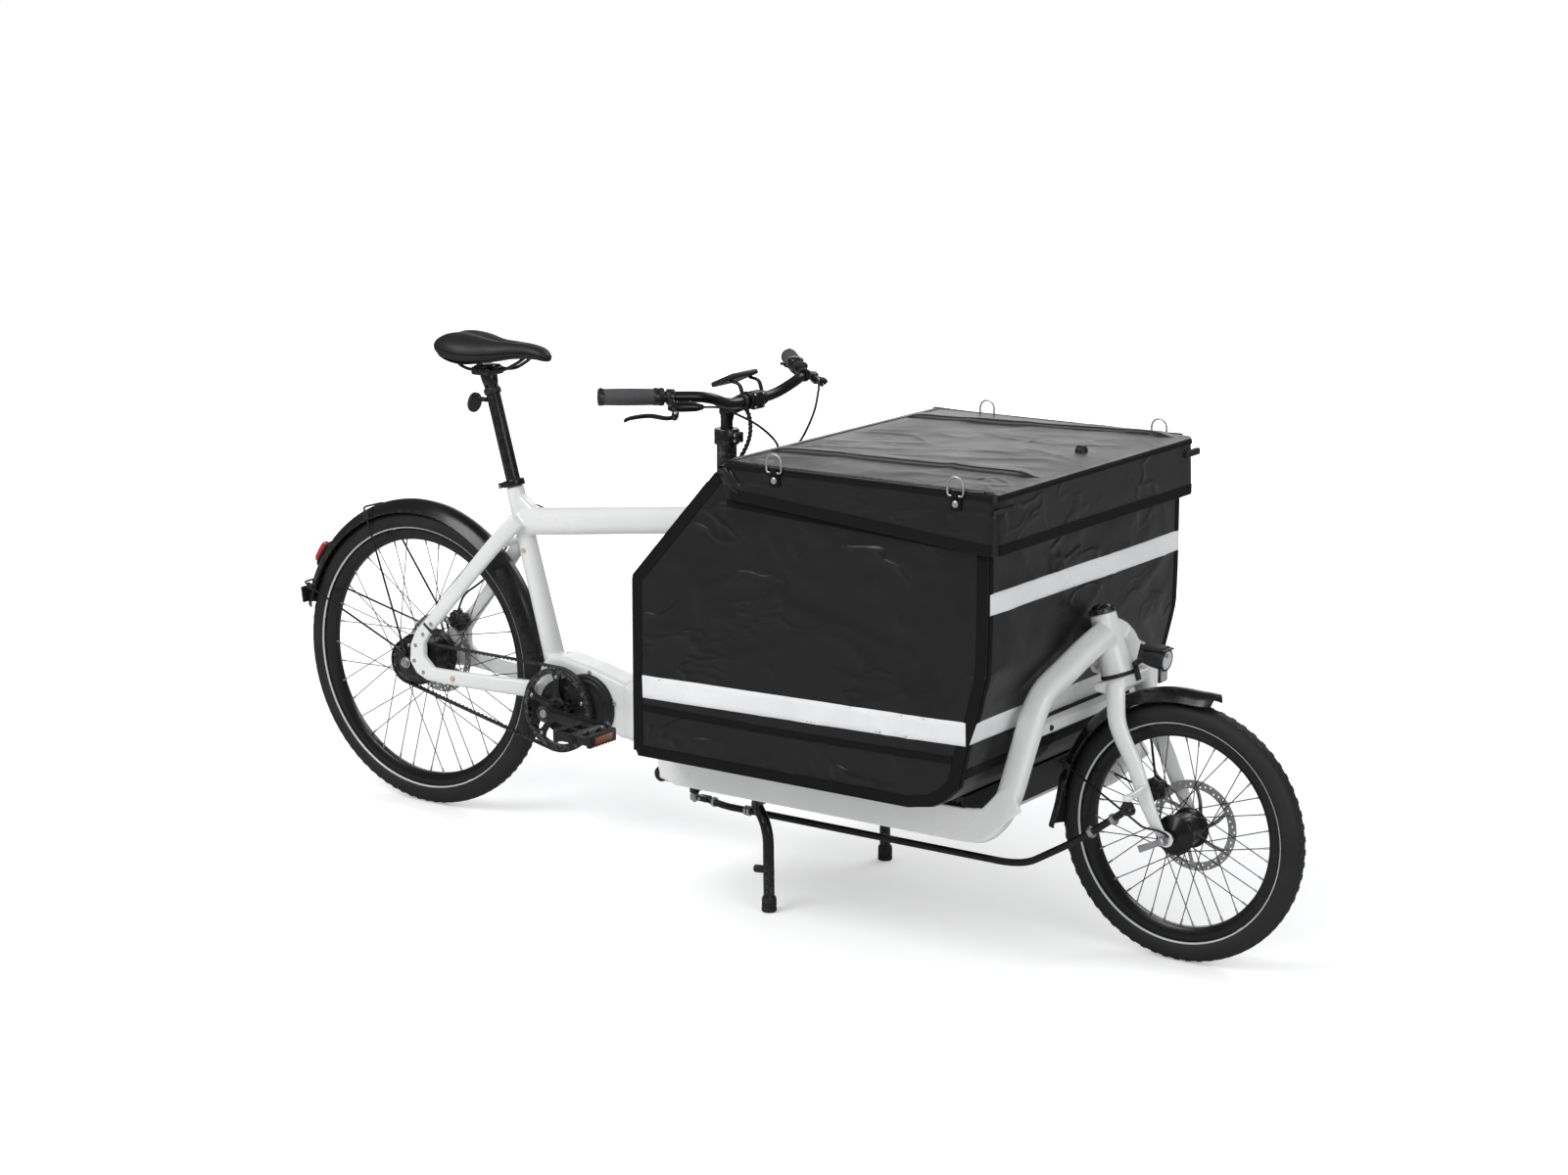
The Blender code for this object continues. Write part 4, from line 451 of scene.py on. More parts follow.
def block(name: str, centre: Vector, size: Point, edge: float = 0.0,
        turn: Optional[Matrix] = None) -> bpy.types.Object:
    """Make a box with rounded edges, turned about its centre."""
    deselect_all()
    bpy.ops.mesh.primitive_cube_add(size=1.0)
    piece = take_new(name)
    piece.data.transform(Matrix.Diagonal((*size, 1.0)))
    if edge:
        bevel(piece, edge, 3)
    if turn is not None:
        piece.data.transform(turn)
    piece.data.transform(Matrix.Translation(centre))
    return piece


def cylinder(name: str, start: Vector, end: Vector, radius: float, sides: int = 24,
        edge: float = 0.0) -> bpy.types.Object:
    """Make a round bar between two points with rounded rims."""
    way = end - start
    deselect_all()
    bpy.ops.mesh.primitive_cylinder_add(vertices=sides, radius=radius, depth=way.length)
    piece = take_new(name)
    if edge:
        bevel(piece, edge, 2, 40.0)
    place = Matrix.Translation((start + end) * 0.5) @ way.to_track_quat("Z",
        "Y").to_matrix().to_4x4()
    piece.data.transform(place)
    return piece


def socket_bolt(name: str, seat: Vector, axis: Vector, radius: float = 0.0042,
        height: float = 0.0035) -> bpy.types.Object:
    """Make a button-head bolt with a hexagon socket."""
    profile = [(0.0, height * 0.45), (radius * 0.42, height * 0.45), (radius * 0.46, height),
        (radius * 0.72, height * 0.93), (radius * 0.95, height * 0.55), (radius, 0.0), (0.0, 0.0)]
    return turned(name, profile, seat, axis, 18)


def hex_nut(name: str, start: Vector, end: Vector, radius: float) -> bpy.types.Object:
    """Make a six-sided nut with softened corners."""
    return cylinder(name, start, end, radius, 6, radius * 0.08)


def mirrored(name: str, piece: bpy.types.Object) -> bpy.types.Object:
    """Copy a piece to the other side of the bicycle with its own mesh."""
    activate(piece)
    bpy.ops.object.duplicate()
    other = take_new(name)
    other.data.transform(Matrix.Diagonal((1.0, -1.0, 1.0, 1.0)))
    return clean(other, 0.0)


def copy_node(name: str, node: str, degrees: float = 32.0, edge: float = 0.0) -> bpy.types.Object:
    """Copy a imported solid, merge its loose triangles and smooth its round faces.

    Args:
        name: the new object's name.
        node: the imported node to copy.
        degrees: edges sharper than this stay crisp.
        edge: the width of the rounding on sharp edges.

    Returns:
        The new mesh object.
    """
    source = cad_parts[node]
    piece = bpy.data.objects.new(name, source.data.copy())
    bpy.context.scene.collection.objects.link(piece)
    piece.data.materials.clear()
    clean(piece, 0.00001)
    activate(piece)
    bpy.ops.object.mode_set(mode="EDIT")
    bpy.ops.mesh.select_all(action="SELECT")
    bpy.ops.mesh.dissolve_limited(angle_limit=math.radians(1.0))
    bpy.ops.object.mode_set(mode="OBJECT")
    if edge:
        bevel(piece, edge, 2, 40.0)
    return shade(piece, degrees)


def weld_smooth(piece: bpy.types.Object, voxel: float, passes: int = 6) -> bpy.types.Object:
    """Fuse overlapping tubes into one skin with filleted joints.

    Args:
        piece: the joined tubes.
        voxel: the size of the remeshed faces.
        passes: how often the skin is smoothed.

    Returns:
        The same object.
    """
    modifier = piece.modifiers.new("skin", "REMESH")
    modifier.mode = "VOXEL"
    modifier.voxel_size = voxel
    modifier.use_smooth_shade = True
    apply_modifier(piece, modifier)
    modifier = piece.modifiers.new("fillet", "SMOOTH")
    modifier.factor = 0.5
    modifier.iterations = passes
    apply_modifier(piece, modifier)
    return piece


# ---------------------------------------------------------------- materials


class Graph:
    """A node tree with short calls for adding and linking nodes."""

    def __init__(self, tree: bpy.types.NodeTree) -> None:
        """Keep the tree that nodes are added to."""
        self.tree = tree

    def add(self, kind: str, **inputs: object) -> bpy.types.Node:
        """Add a node and set or link its inputs by name.

        Args:
            kind: the node's type name.
            inputs: values or sockets, with spaces in names written as underscores.

        Returns:
            The new node.
        """
        node = self.tree.nodes.new(kind)
        for label, value in inputs.items():
            self.feed(node.inputs[label.replace("_", " ")], value)
        return node

    def feed(self, socket: bpy.types.NodeSocket, value: object) -> None:
        """Link a socket to another, or give it a constant."""
        if isinstance(value, bpy.types.NodeSocket):
            self.tree.links.new(value, socket)
        elif value is not None:
            socket.default_value = value

    def math(self, operation: str, first: object, second: object = 0.0) -> bpy.types.NodeSocket:
        """Add a math node and return its result."""
        node = self.tree.nodes.new("ShaderNodeMath")
        node.operation = operation
        self.feed(node.inputs[0], first)
        self.feed(node.inputs[1], second)
        return node.outputs[0]

    def vector(self, operation: str, first: object, second: object) -> bpy.types.NodeSocket:
        """Add a vector math node and return its result."""
        node = self.tree.nodes.new("ShaderNodeVectorMath")
        node.operation = operation
        self.feed(node.inputs[0], first)
        self.feed(node.inputs[1], second)
        return node.outputs[0]

    def ramp(self, value: object, low: float, high: float, start: float = 0.0,
            end: float = 1.0) -> bpy.types.NodeSocket:
        """Map a value smoothly from one range to another."""
        node = self.tree.nodes.new("ShaderNodeMapRange")
        node.interpolation_type = "SMOOTHSTEP"
        for label, number in zip(("Value", "From Min", "From Max", "To Min", "To Max"),
                (value, low, high, start, end)):
            self.feed(node.inputs[label], number)
        return node.outputs[0]

    def mix(self, share: object, first: object, second: object) -> bpy.types.NodeSocket:
        """Mix two colours and return the result."""
        node = self.tree.nodes.new("ShaderNodeMix")
        node.data_type = "RGBA"
        self.feed(node.inputs[0], share)
        self.feed(node.inputs[6], first)
        self.feed(node.inputs[7], second)
        return node.outputs[2]

    def noise(self, place: object, scale: float, detail: float = 3.0,
            roughness: float = 0.5) -> bpy.types.NodeSocket:
        """Add a noise texture and return its value."""
        node = self.add("ShaderNodeTexNoise", Vector=place, Scale=scale, Detail=detail,
            Roughness=roughness)
        return node.outputs[0]


def new_group(name: str, inputs: Sequence[tuple[str, float]], outputs: Sequence[str]) -> tuple[
        bpy.types.NodeTree, Graph, bpy.types.Node, bpy.types.Node]:
    """Start a node group with float inputs, a coordinate input and float outputs.

    Args:
        name: the group's name.
        inputs: the name and default of each float input.
        outputs: the names of the float outputs.

    Returns:
        The tree, its graph, its input node and its output node.
    """
    tree = bpy.data.node_groups.new(name, "ShaderNodeTree")
    tree.interface.new_socket("Place", in_out="INPUT", socket_type="NodeSocketVector")
    for label, value in inputs:
        socket = tree.interface.new_socket(label, in_out="INPUT", socket_type="NodeSocketFloat")
        socket.default_value = value
    for label in outputs:
        tree.interface.new_socket(label, in_out="OUTPUT", socket_type="NodeSocketFloat")
    graph = Graph(tree)
    return tree, graph, graph.add("NodeGroupInput"), graph.add("NodeGroupOutput")


def dust_group() -> bpy.types.NodeTree:
    """Return the group that gives handling marks, fine dust and edge wear."""
    tree, graph, source, sink = new_group("surface_marks", [("Size", 1.0)],
        ["Cloud", "Speck", "Edge", "Scuff"])
    place = graph.vector("SCALE", source.outputs["Place"], (0.0, 0.0, 0.0))
    scale_node = place.node
    scale_node.inputs["Scale"].default_value = 1.0
    graph.feed(scale_node.inputs["Scale"], source.outputs["Size"])
    graph.feed(sink.inputs["Cloud"], graph.noise(place, 9.0, 4.0, 0.6))
    speck = graph.noise(place, 900.0, 2.0, 0.6)
    graph.feed(sink.inputs["Speck"], graph.ramp(speck, 0.62, 0.74))
    shape = graph.add("ShaderNodeNewGeometry").outputs["Pointiness"]
    broken = graph.noise(place, 120.0, 4.0, 0.7)
    edge = graph.math("MULTIPLY", graph.ramp(shape, 0.53, 0.6), graph.ramp(broken, 0.45, 0.6))
    graph.feed(sink.inputs["Edge"], edge)
    stretch = graph.vector("MULTIPLY", place, (260.0, 260.0, 22.0))
    scuff = graph.noise(stretch, 1.0, 2.0, 0.5)
    graph.feed(sink.inputs["Scuff"], graph.ramp(scuff, 0.66, 0.78))
    return tree


def weave_group() -> bpy.types.NodeTree:
    """Return the group that gives a plain weave's height."""
    tree, graph, source, sink = new_group("plain_weave", [("Threads", 900.0)], ["Height"])
    parts = graph.add("ShaderNodeSeparateXYZ", Vector=source.outputs["Place"])
    threads = source.outputs["Threads"]
    waves = []
    for label, second in (("X", "Z"), ("Y", "Z"), ("Z", "X")):
        angle = graph.math("MULTIPLY", parts.outputs[label], threads)
        other = graph.math("MULTIPLY", parts.outputs[second], threads)
        waves.append(graph.math("MULTIPLY", graph.math("SINE", angle), graph.math("SINE", other)))
    total = graph.math("ADD", graph.math("ADD", waves[0], waves[1]), waves[2])
    graph.feed(sink.inputs["Height"], graph.math("MULTIPLY", total, 0.33))
    return tree


def wrinkle_group() -> bpy.types.NodeTree:
    """Return the group that gives the small creases of coated cloth."""
    tree, graph, source, sink = new_group("creases", [("Size", 1.0)], ["Height", "Soft"])
    place = graph.vector("SCALE", source.outputs["Place"], (0.0, 0.0, 0.0))
    graph.feed(place.node.inputs["Scale"], source.outputs["Size"])
    bend = graph.add("ShaderNodeTexNoise", Vector=place, Scale=4.0, Detail=2.0)
    shifted = graph.vector("ADD", place, graph.vector("MULTIPLY", bend.outputs["Color"],
        (0.16, 0.16, 0.16)))
    wave = graph.noise(graph.vector("MULTIPLY", shifted, (6.0, 6.0, 13.0)), 1.0, 2.0, 0.45)
    fold = graph.math("ABSOLUTE", graph.math("SUBTRACT", wave, 0.5))
    crease = graph.ramp(fold, 0.0, 0.05)
    mask = graph.ramp(graph.noise(place, 3.6, 2.0), 0.44, 0.66)
    deep = graph.math("MULTIPLY", graph.math("SUBTRACT", 1.0, crease), mask)
    graph.feed(sink.inputs["Height"], deep)
    graph.feed(sink.inputs["Soft"], graph.noise(place, 9.0, 2.0, 0.5))
    return tree


class Groups:
    """The node groups that the finishes share, each made once."""

    makers: dict[str, Callable[[], bpy.types.NodeTree]] = {"marks": dust_group,
        "weave": weave_group, "creases": wrinkle_group}
    made: dict[str, bpy.types.NodeTree] = {}

    @classmethod
    def get(cls, name: str) -> bpy.types.NodeTree:
        """Return a shared group, making it on first use."""
        if name not in cls.made:
            cls.made[name] = cls.makers[name]()
        return cls.made[name]


class Surface(Enum):
    """The kinds of fine relief a finish can have."""

    SMOOTH = "smooth"
    GRAIN = "grain"
    BRUSHED = "brushed"
    WOVEN = "woven"
    CREASED = "creased"
    LEATHER = "leather"


@dataclass(frozen=True)
class Finish:
    """One painted, moulded, woven or metal finish and its procedural material.

    Attributes:
        name: the material's name.
        colour: the main colour, linear RGB.
        shade: the colour that slow variation leans to.
        roughness: the mean roughness.
        metallic: 1 for bare metal.
        coat: the weight of a clear coat.
        relief: the kind of fine relief.
        depth: the strength of the relief.
        wear: the colour that shows on worn edges.
        wear_share: how much of the wear shows.
        transmission: 1 for clear plastic and glass.
        glow: the strength of emission.
        sheen: the sheen weight of cloth.
        anisotropic: how far highlights stretch along brushed metal.
        specular: the strength of mirror-like reflection of a non-metal.
    """

    name: str
    colour: tuple[float, float, float]
    shade: tuple[float, float, float]
    roughness: float
    metallic: float = 0.0
    coat: float = 0.0
    relief: Surface = Surface.SMOOTH
    depth: float = 0.1
    wear: tuple[float, float, float] = (0.3, 0.3, 0.3)
    wear_share: float = 0.0
    transmission: float = 0.0
    glow: float = 0.0
    sheen: float = 0.0
    anisotropic: float = 0.0
    specular: float = 0.5

    def material(self) -> bpy.types.Material:
        """Return this finish's material, building it on first use."""
        made = bpy.data.materials.get(self.name)
        if made:
            return made
        made = bpy.data.materials.new(self.name)
        made.use_nodes = True
        made.node_tree.nodes.clear()
        graph = Graph(made.node_tree)
        place = graph.add("ShaderNodeTexCoord").outputs["Object"]
        marks = self.group(graph, "marks", place)
        tint = graph.mix(graph.ramp(marks.outputs["Cloud"], 0.3, 0.7), (*self.colour, 1.0),
            (*self.shade, 1.0))
        worn = graph.math("MULTIPLY", marks.outputs["Edge"], self.wear_share)
        tint = graph.mix(worn, tint, (*self.wear, 1.0))
        rough = graph.ramp(marks.outputs["Cloud"], 0.25, 0.75, self.roughness * 0.86,
            min(self.roughness * 1.14, 1.0))
        rough = graph.math("ADD", rough, graph.math("MULTIPLY", marks.outputs["Scuff"], 0.05))
        shader = graph.add("ShaderNodeBsdfPrincipled", Base_Color=tint, Roughness=rough)
        shader.inputs["Metallic"].default_value = self.metallic
        shader.inputs["Specular IOR Level"].default_value = self.specular
        shader.inputs["Coat Weight"].default_value = self.coat
        shader.inputs["Coat Roughness"].default_value = 0.06
        shader.inputs["Transmission Weight"].default_value = self.transmission
        shader.inputs["Sheen Weight"].default_value = self.sheen
        shader.inputs["Sheen Roughness"].default_value = 0.5
        shader.inputs["Anisotropic"].default_value = self.anisotropic
        if self.glow:
            graph.feed(shader.inputs["Emission Color"], tint)
            shader.inputs["Emission Strength"].default_value = self.glow
        height, distance = self.height(graph, place, marks)
        bump = graph.add("ShaderNodeBump", Height=height, Strength=self.depth, Distance=distance)
        graph.feed(shader.inputs["Normal"], bump.outputs["Normal"])
        output = graph.add("ShaderNodeOutputMaterial", Surface=shader.outputs["BSDF"])
        output.location = (600.0, 0.0)
        made.diffuse_color = (*self.colour, 1.0)
        return made

    def group(self, graph: Graph, name: str, place: bpy.types.NodeSocket) -> bpy.types.Node:
        """Add one of the shared groups to a material."""
        node = graph.tree.nodes.new("ShaderNodeGroup")
        node.node_tree = Groups.get(name)
        graph.feed(node.inputs["Place"], place)
        return node

    def height(self, graph: Graph, place: bpy.types.NodeSocket,
            marks: bpy.types.Node) -> tuple[bpy.types.NodeSocket, float]:
        """Return the relief's height socket and its distance in metres."""
        if self.relief is Surface.GRAIN:
            return graph.noise(place, 1400.0, 2.0, 0.6), 0.0004
        if self.relief is Surface.BRUSHED:
            return graph.noise(graph.vector("MULTIPLY", place, (2600.0, 90.0, 2600.0)), 1.0,
                2.0), 0.0002
        if self.relief is Surface.WOVEN:
            weave = self.group(graph, "weave", place)
            weave.inputs["Threads"].default_value = 3600.0
            return weave.outputs["Height"], 0.0004
        if self.relief is Surface.LEATHER:
            cells = graph.add("ShaderNodeTexVoronoi", Vector=place, Scale=620.0)
            cells.feature = "SMOOTH_F1"
            return graph.math("ADD", cells.outputs[0], graph.math("MULTIPLY",
                marks.outputs["Cloud"], 0.5)), 0.0008
        if self.relief is Surface.CREASED:
            creases = self.group(graph, "creases", place)
            creases.inputs["Size"].default_value = 1.0
            fine = graph.math("MULTIPLY", creases.outputs["Soft"], 1.2)
            weave = self.group(graph, "weave", place)
            weave.inputs["Threads"].default_value = 4200.0
            thread = graph.math("MULTIPLY", weave.outputs["Height"], 0.02)
            total = graph.math("ADD", graph.math("ADD", creases.outputs["Height"], fine), thread)
            return total, 0.006
        return graph.noise(place, 180.0, 2.0), 0.0005

    def dress(self, *pieces: bpy.types.Object) -> None:
        """Give pieces this finish in their first slot."""
        for piece in pieces:
            if piece.type == "MESH" and not piece.data.materials:
                piece.data.materials.append(self.material())
            elif piece.material_slots:
                for slot in piece.material_slots:
                    slot.material = self.material()
            else:
                piece.data.materials.append(self.material())


PAINT = Finish("gloss_white_paint", (0.78, 0.78, 0.77), (0.74, 0.745, 0.74), 0.3, coat=0.6,
    depth=0.03, wear=(0.55, 0.55, 0.54), wear_share=0.25)
SATIN_BLACK = Finish("satin_black_metal", (0.0065, 0.0065, 0.007), (0.009, 0.009, 0.0095), 0.25,
    relief=Surface.GRAIN, depth=0.08, wear=(0.22, 0.22, 0.22), wear_share=0.3)
MOULDED = Finish("moulded_black_plastic", (0.0095, 0.0095, 0.01), (0.0135, 0.0135, 0.014), 0.46,
    relief=Surface.GRAIN, depth=0.22, wear=(0.09, 0.09, 0.09), wear_share=0.4)
FENDER_BLACK = Finish("satin_fender_plastic", (0.007, 0.007, 0.0075), (0.01, 0.01, 0.0105), 0.26,
    depth=0.05, wear=(0.08, 0.08, 0.08), wear_share=0.3)
RUBBER = Finish("black_rubber", (0.012, 0.012, 0.012), (0.018, 0.0175, 0.017), 0.7,
    relief=Surface.GRAIN, depth=0.4, wear=(0.07, 0.068, 0.065), wear_share=0.5)
TYRE_RUBBER = Finish("tyre_rubber", (0.011, 0.011, 0.011), (0.0165, 0.0165, 0.016), 0.62,
    relief=Surface.GRAIN, depth=0.3, wear=(0.06, 0.058, 0.055), wear_share=0.5)
GRIP_GREY = Finish("grip_rubber", (0.055, 0.055, 0.058), (0.075, 0.075, 0.078), 0.66,
    relief=Surface.GRAIN, depth=0.35)
BRIGHT = Finish("bright_steel", (0.62, 0.62, 0.62), (0.54, 0.54, 0.55), 0.26, metallic=1.0,
    relief=Surface.BRUSHED, depth=0.08, wear=(0.75, 0.75, 0.75), wear_share=0.4)
COATED = Finish("coated_cloth", (0.004, 0.004, 0.0043), (0.0055, 0.0055, 0.0059), 0.34,
    relief=Surface.CREASED, depth=0.55, wear=(0.05, 0.05, 0.052), wear_share=0.25, sheen=0.05)
LID_CLOTH = Finish("lid_cloth", (0.005, 0.005, 0.0054), (0.007, 0.007, 0.0074), 0.36,
    relief=Surface.CREASED, depth=0.3, wear=(0.05, 0.05, 0.052), wear_share=0.25, sheen=0.05)
# Lid straps: the same black webbing as the borders, with its colour painted lighter as a painted
# highlight for the glancing light on the lid's top.
PAINTED_HIGHLIGHT_WEBBING = Finish("lid_webbing_painted_highlight", (0.015, 0.015, 0.0155), (0.022, 0.022, 0.0225), 0.34,
    relief=Surface.WOVEN, depth=0.25, sheen=0.05)
PIPING = Finish("gloss_piping", (0.006, 0.006, 0.0064), (0.0085, 0.0085, 0.009), 0.22,
    relief=Surface.CREASED, depth=0.1)
WEBBING = Finish("black_webbing", (0.003, 0.003, 0.0032), (0.0045, 0.0045, 0.0048), 0.7,
    relief=Surface.WOVEN, depth=0.5, sheen=0.02, specular=0.22)
TAPE = Finish("reflective_tape", (0.78, 0.78, 0.78), (0.72, 0.72, 0.725), 0.3,
    relief=Surface.CREASED, depth=0.18)
RIM_TAPE = Finish("reflective_ring", (0.55, 0.56, 0.57), (0.48, 0.49, 0.5), 0.3, depth=0.05)
LEATHER = Finish("saddle_leatherette", (0.01, 0.01, 0.01), (0.015, 0.015, 0.015), 0.5,
    relief=Surface.LEATHER, depth=0.28, wear=(0.05, 0.05, 0.05), wear_share=0.3)
CLEAR = Finish("clear_lens", (0.92, 0.94, 0.95), (0.88, 0.9, 0.92), 0.06, transmission=0.85,
    depth=0.05)
RED_LENS = Finish("red_lens", (0.07, 0.004, 0.004), (0.05, 0.003, 0.003), 0.14, coat=0.6,
    depth=0.15)
AMBER = Finish("amber_reflector", (0.34, 0.085, 0.012), (0.28, 0.065, 0.01), 0.2, coat=0.6,
    depth=0.15)
GLASS_BLACK = Finish("display_window", (0.008, 0.009, 0.011), (0.012, 0.013, 0.015), 0.08,
    coat=0.8, depth=0.02)
CREAM = Finish("cream_disc", (0.52, 0.45, 0.25), (0.46, 0.4, 0.22), 0.4, depth=0.08)
CHROME = Finish("polished_metal", (0.8, 0.8, 0.81), (0.72, 0.72, 0.73), 0.1, metallic=1.0,
    depth=0.02)


def fit_out(piece: bpy.types.Object, finish: Finish, body: str, slot: Optional[str] = None,
        replaced: Sequence[str] = ()) -> bpy.types.Object:
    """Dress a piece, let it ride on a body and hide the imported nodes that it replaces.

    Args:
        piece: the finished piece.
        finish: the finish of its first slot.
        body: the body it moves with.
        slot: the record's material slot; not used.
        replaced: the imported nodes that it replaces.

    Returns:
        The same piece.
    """
    finish.dress(piece)
    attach(piece, body)
    if replaced:
        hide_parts(*replaced)
    PIECES.append(piece.name)
    return piece


PIECES: list[str] = []


# ---------------------------------------------------------------- painted frame


@dataclass
class PaintedFrame:
    """White welded frame: rear triangle, bay, front risers and the small parts on them."""

    voxel: float = 0.003
    beam_half_width: float = 0.036
    rail_y: float = 0.23
    rail_z: float = 0.2495
    rail_radius: float = 0.0165
    housing_radius: float = 0.0245
    housing_low: float = 0.2
    housing_top: float = 0.775

    def build(self) -> None:
        """Build and dress every piece of the frame."""
        self.build_rear()
        self.build_cargo_frame()
        self.build_joint_rings()
        self.build_covers()

    def box_beam(self, name: str, outline: Sequence[Point], half: float,
            edge: float) -> bpy.types.Object:
        """Make a beam of rounded section from its side view."""
        placed = [(x + STATION_TO_WORLD.x, z) for x, z in outline]
        return bevel(plate(name, placed, -half, half), edge, 4, 20.0)

    def stay(self, name: str, corners: Sequence[Point], start: Point,
            end: Point) -> bpy.types.Object:
        """Make one tapering stay of oval section."""
        path = curve_through(stations(corners), 6)
        return sweep(name, path, graded(start, end, len(path)), 24, power=0.72)

    def build_rear(self) -> None:
        """Build the seat tube, top tube, down beam, cradle, stays and dropout plates."""
        seat = sweep("seat_tube", [SEAT_LOW.lerp(SEAT_TOP, t / 12) for t in range(13)],
            graded((0.0232, 0.0232), (0.0194, 0.0194), 13), 28, X_AXIS)
        spine = curve_through(stations([(-0.66, 0.0, 0.658), (-0.52, 0.0, 0.6751),
            (-0.33, 0.0, 0.6984), (-0.119, 0.0, 0.7242)]), 8)
        top = sweep("top_tube", spine, graded((0.023, 0.0295), (0.022, 0.028), len(spine)), 28,
            power=0.85)
        beam = self.box_beam("down_beam", [(-0.36, 0.231), (-0.119, 0.234), (-0.119, 0.348),
            (-0.36, 0.353)], self.beam_half_width, 0.014)
        cradle = self.box_beam("cradle", [(-0.355, 0.233), (-0.355, 0.3515), (-0.45, 0.375),
            (-0.532, 0.389), (-0.572, 0.38), (-0.588, 0.352), (-0.588, 0.29), (-0.57, 0.28),
            (-0.4, 0.25), (-0.3785, 0.237)], 0.035, 0.009)
        gusset = self.box_beam("gusset", [(-0.66, 0.717), (-0.645, 0.715), (-0.62, 0.696),
            (-0.59, 0.686), (-0.6, 0.665), (-0.65, 0.665)], 0.014, 0.006)
        parts = [seat, top, beam, cradle, gusset]
        for side in (-1.0, 1.0):
            parts.append(self.stay("seat_stay", [(-0.64, 0.03 * side, 0.668),
                (-0.695, 0.05 * side, 0.606), (-0.793, 0.068 * side, 0.491),
                (-0.856, 0.075 * side, 0.418)], (0.01, 0.0193), (0.009, 0.0153)))
            parts.append(self.stay("chain_stay", [(-0.579, 0.032 * side, 0.308),
                (-0.62, 0.0385 * side, 0.3085), (-0.72, 0.057 * side, 0.31),
                (-0.8, 0.07 * side, 0.312), (-0.86, 0.075 * side, 0.314)], (0.0095, 0.0198),
                (0.009, 0.0158)))
            parts.append(self.dropout(side))
        parts.append(cylinder("bridge", station(-0.694, -0.049, 0.607),
            station(-0.694, 0.049, 0.607), 0.008, 20))
        piece = weld_smooth(join("painted_rear_frame", parts), self.voxel, 5)
        fit_out(piece, PAINT, "frame", "white_paint", ["frame_rear"])

    def dropout(self, side: float) -> bpy.types.Object:
        """Make the plate that closes the rear triangle on one side."""
        near, far = 0.067, 0.083
        shared = [(-0.86, 0.299), (-0.835, 0.301), (-0.842, 0.328), (-0.866, 0.35), (-0.866, 0.38),
            (-0.842, 0.412)]
        if side < 0:
            outline = [(-0.86, 0.436), (-0.889, 0.406), (-0.9045, 0.374), (-0.907, 0.336),
                (-0.889, 0.311)] + shared
        else:
            outline = [(-0.86, 0.436), (-0.909, 0.388), (-0.939, 0.365), (-0.955, 0.34),
                (-0.951, 0.308), (-0.925, 0.295)] + shared
        placed = [(x + STATION_TO_WORLD.x, z) for x, z in outline]
        low, high = (-far, -near) if side < 0 else (near, far)
        return bevel(plate("dropout", placed, low, high), 0.003, 2, 25.0)

    def side_face(self, side: float, outline: Sequence[Point]) -> bpy.types.Object:
        """Make the flat outer face of one side rail from its side view."""
        placed = [(x + STATION_TO_WORLD.x, z) for x, z in outline]
        low, high = sorted((side * 0.2466, side * 0.24))
        return bevel(plate("side_face", placed, low, high), 0.0015, 2, 25.0)

    def bay_parts(self) -> list[bpy.types.Object]:
        """Make the column housing, the side rails, the cross beams and stand brackets."""
        z = self.rail_z
        parts = [cylinder("housing", Vector((COLUMN_X, 0.0, self.housing_low)),
            Vector((COLUMN_X, 0.0, self.housing_top)), self.housing_radius, 40)]
        for side in (-1.0, 1.0):
            y = side * self.rail_y
            parts.append(cylinder("rail", station(-0.108, y, z), station(0.5997, y, z),
                self.rail_radius, 28))
            parts.append(self.side_face(side, [(-0.115, 0.3), (-0.114, 0.27), (-0.108, 0.253),
                (-0.096, 0.2405), (-0.072, 0.2328), (0.602, 0.2328), (0.602, 0.3)]))
            bracket = block("bracket", station(0.06, side * 0.045, 0.2155), (0.038, 0.024, 0.067),
                0.004)
            parts.append(bracket)
        parts.append(cylinder("beam", station(-0.108, -0.242, z), station(-0.108, 0.242, z),
            self.rail_radius, 28))
        for x in (0.06, 0.33, 0.57):
            parts.append(cylinder("cross", station(x, -self.rail_y, z + 0.001),
                station(x, self.rail_y, z + 0.001), 0.012, 20))
        return parts

    def build_cargo_frame(self) -> None:
        """Weld the bay and the risers into one skin, then build their caps and bolts."""
        piece = join("painted_cargo_frame", self.bay_parts() + self.front_parts())
        hole = cylinder("hole", station(0.743, -0.03, 0.545), station(0.743, 0.03, 0.545), 0.006,
            20)
        weld_smooth(piece, CARGO_VOXEL, 4)
        boolean(piece, hole, "DIFFERENCE")
        fit_out(piece, PAINT, "frame", "white_paint", ["frame_bay", "frame_front"])
        z = self.rail_z
        caps = []
        for side in (-1.0, 1.0):
            start = station(-0.108, side * 0.2405, z)
            caps.append(cylinder("cap", start, start + Y_AXIS * side * 0.0035, 0.0155, 24, 0.001))
        fit_out(shade(join("beam_end_caps", caps)), MOULDED, "frame", "black_plastic")
        bolts = []
        for side in (-1.0, 1.0):
            bolts.append(socket_bolt("bolt", station(0.7074, side * 0.112, 0.4408), X_AXIS, 0.006,
                0.004))
            bolts.append(cylinder("stop", station(0.707, side * 0.188, 0.434),
                station(0.72, side * 0.188, 0.434), 0.008, 20, 0.001))
        fit_out(shade(join("cross_bar_bolts", bolts)), SATIN_BLACK, "frame", "black_metal")

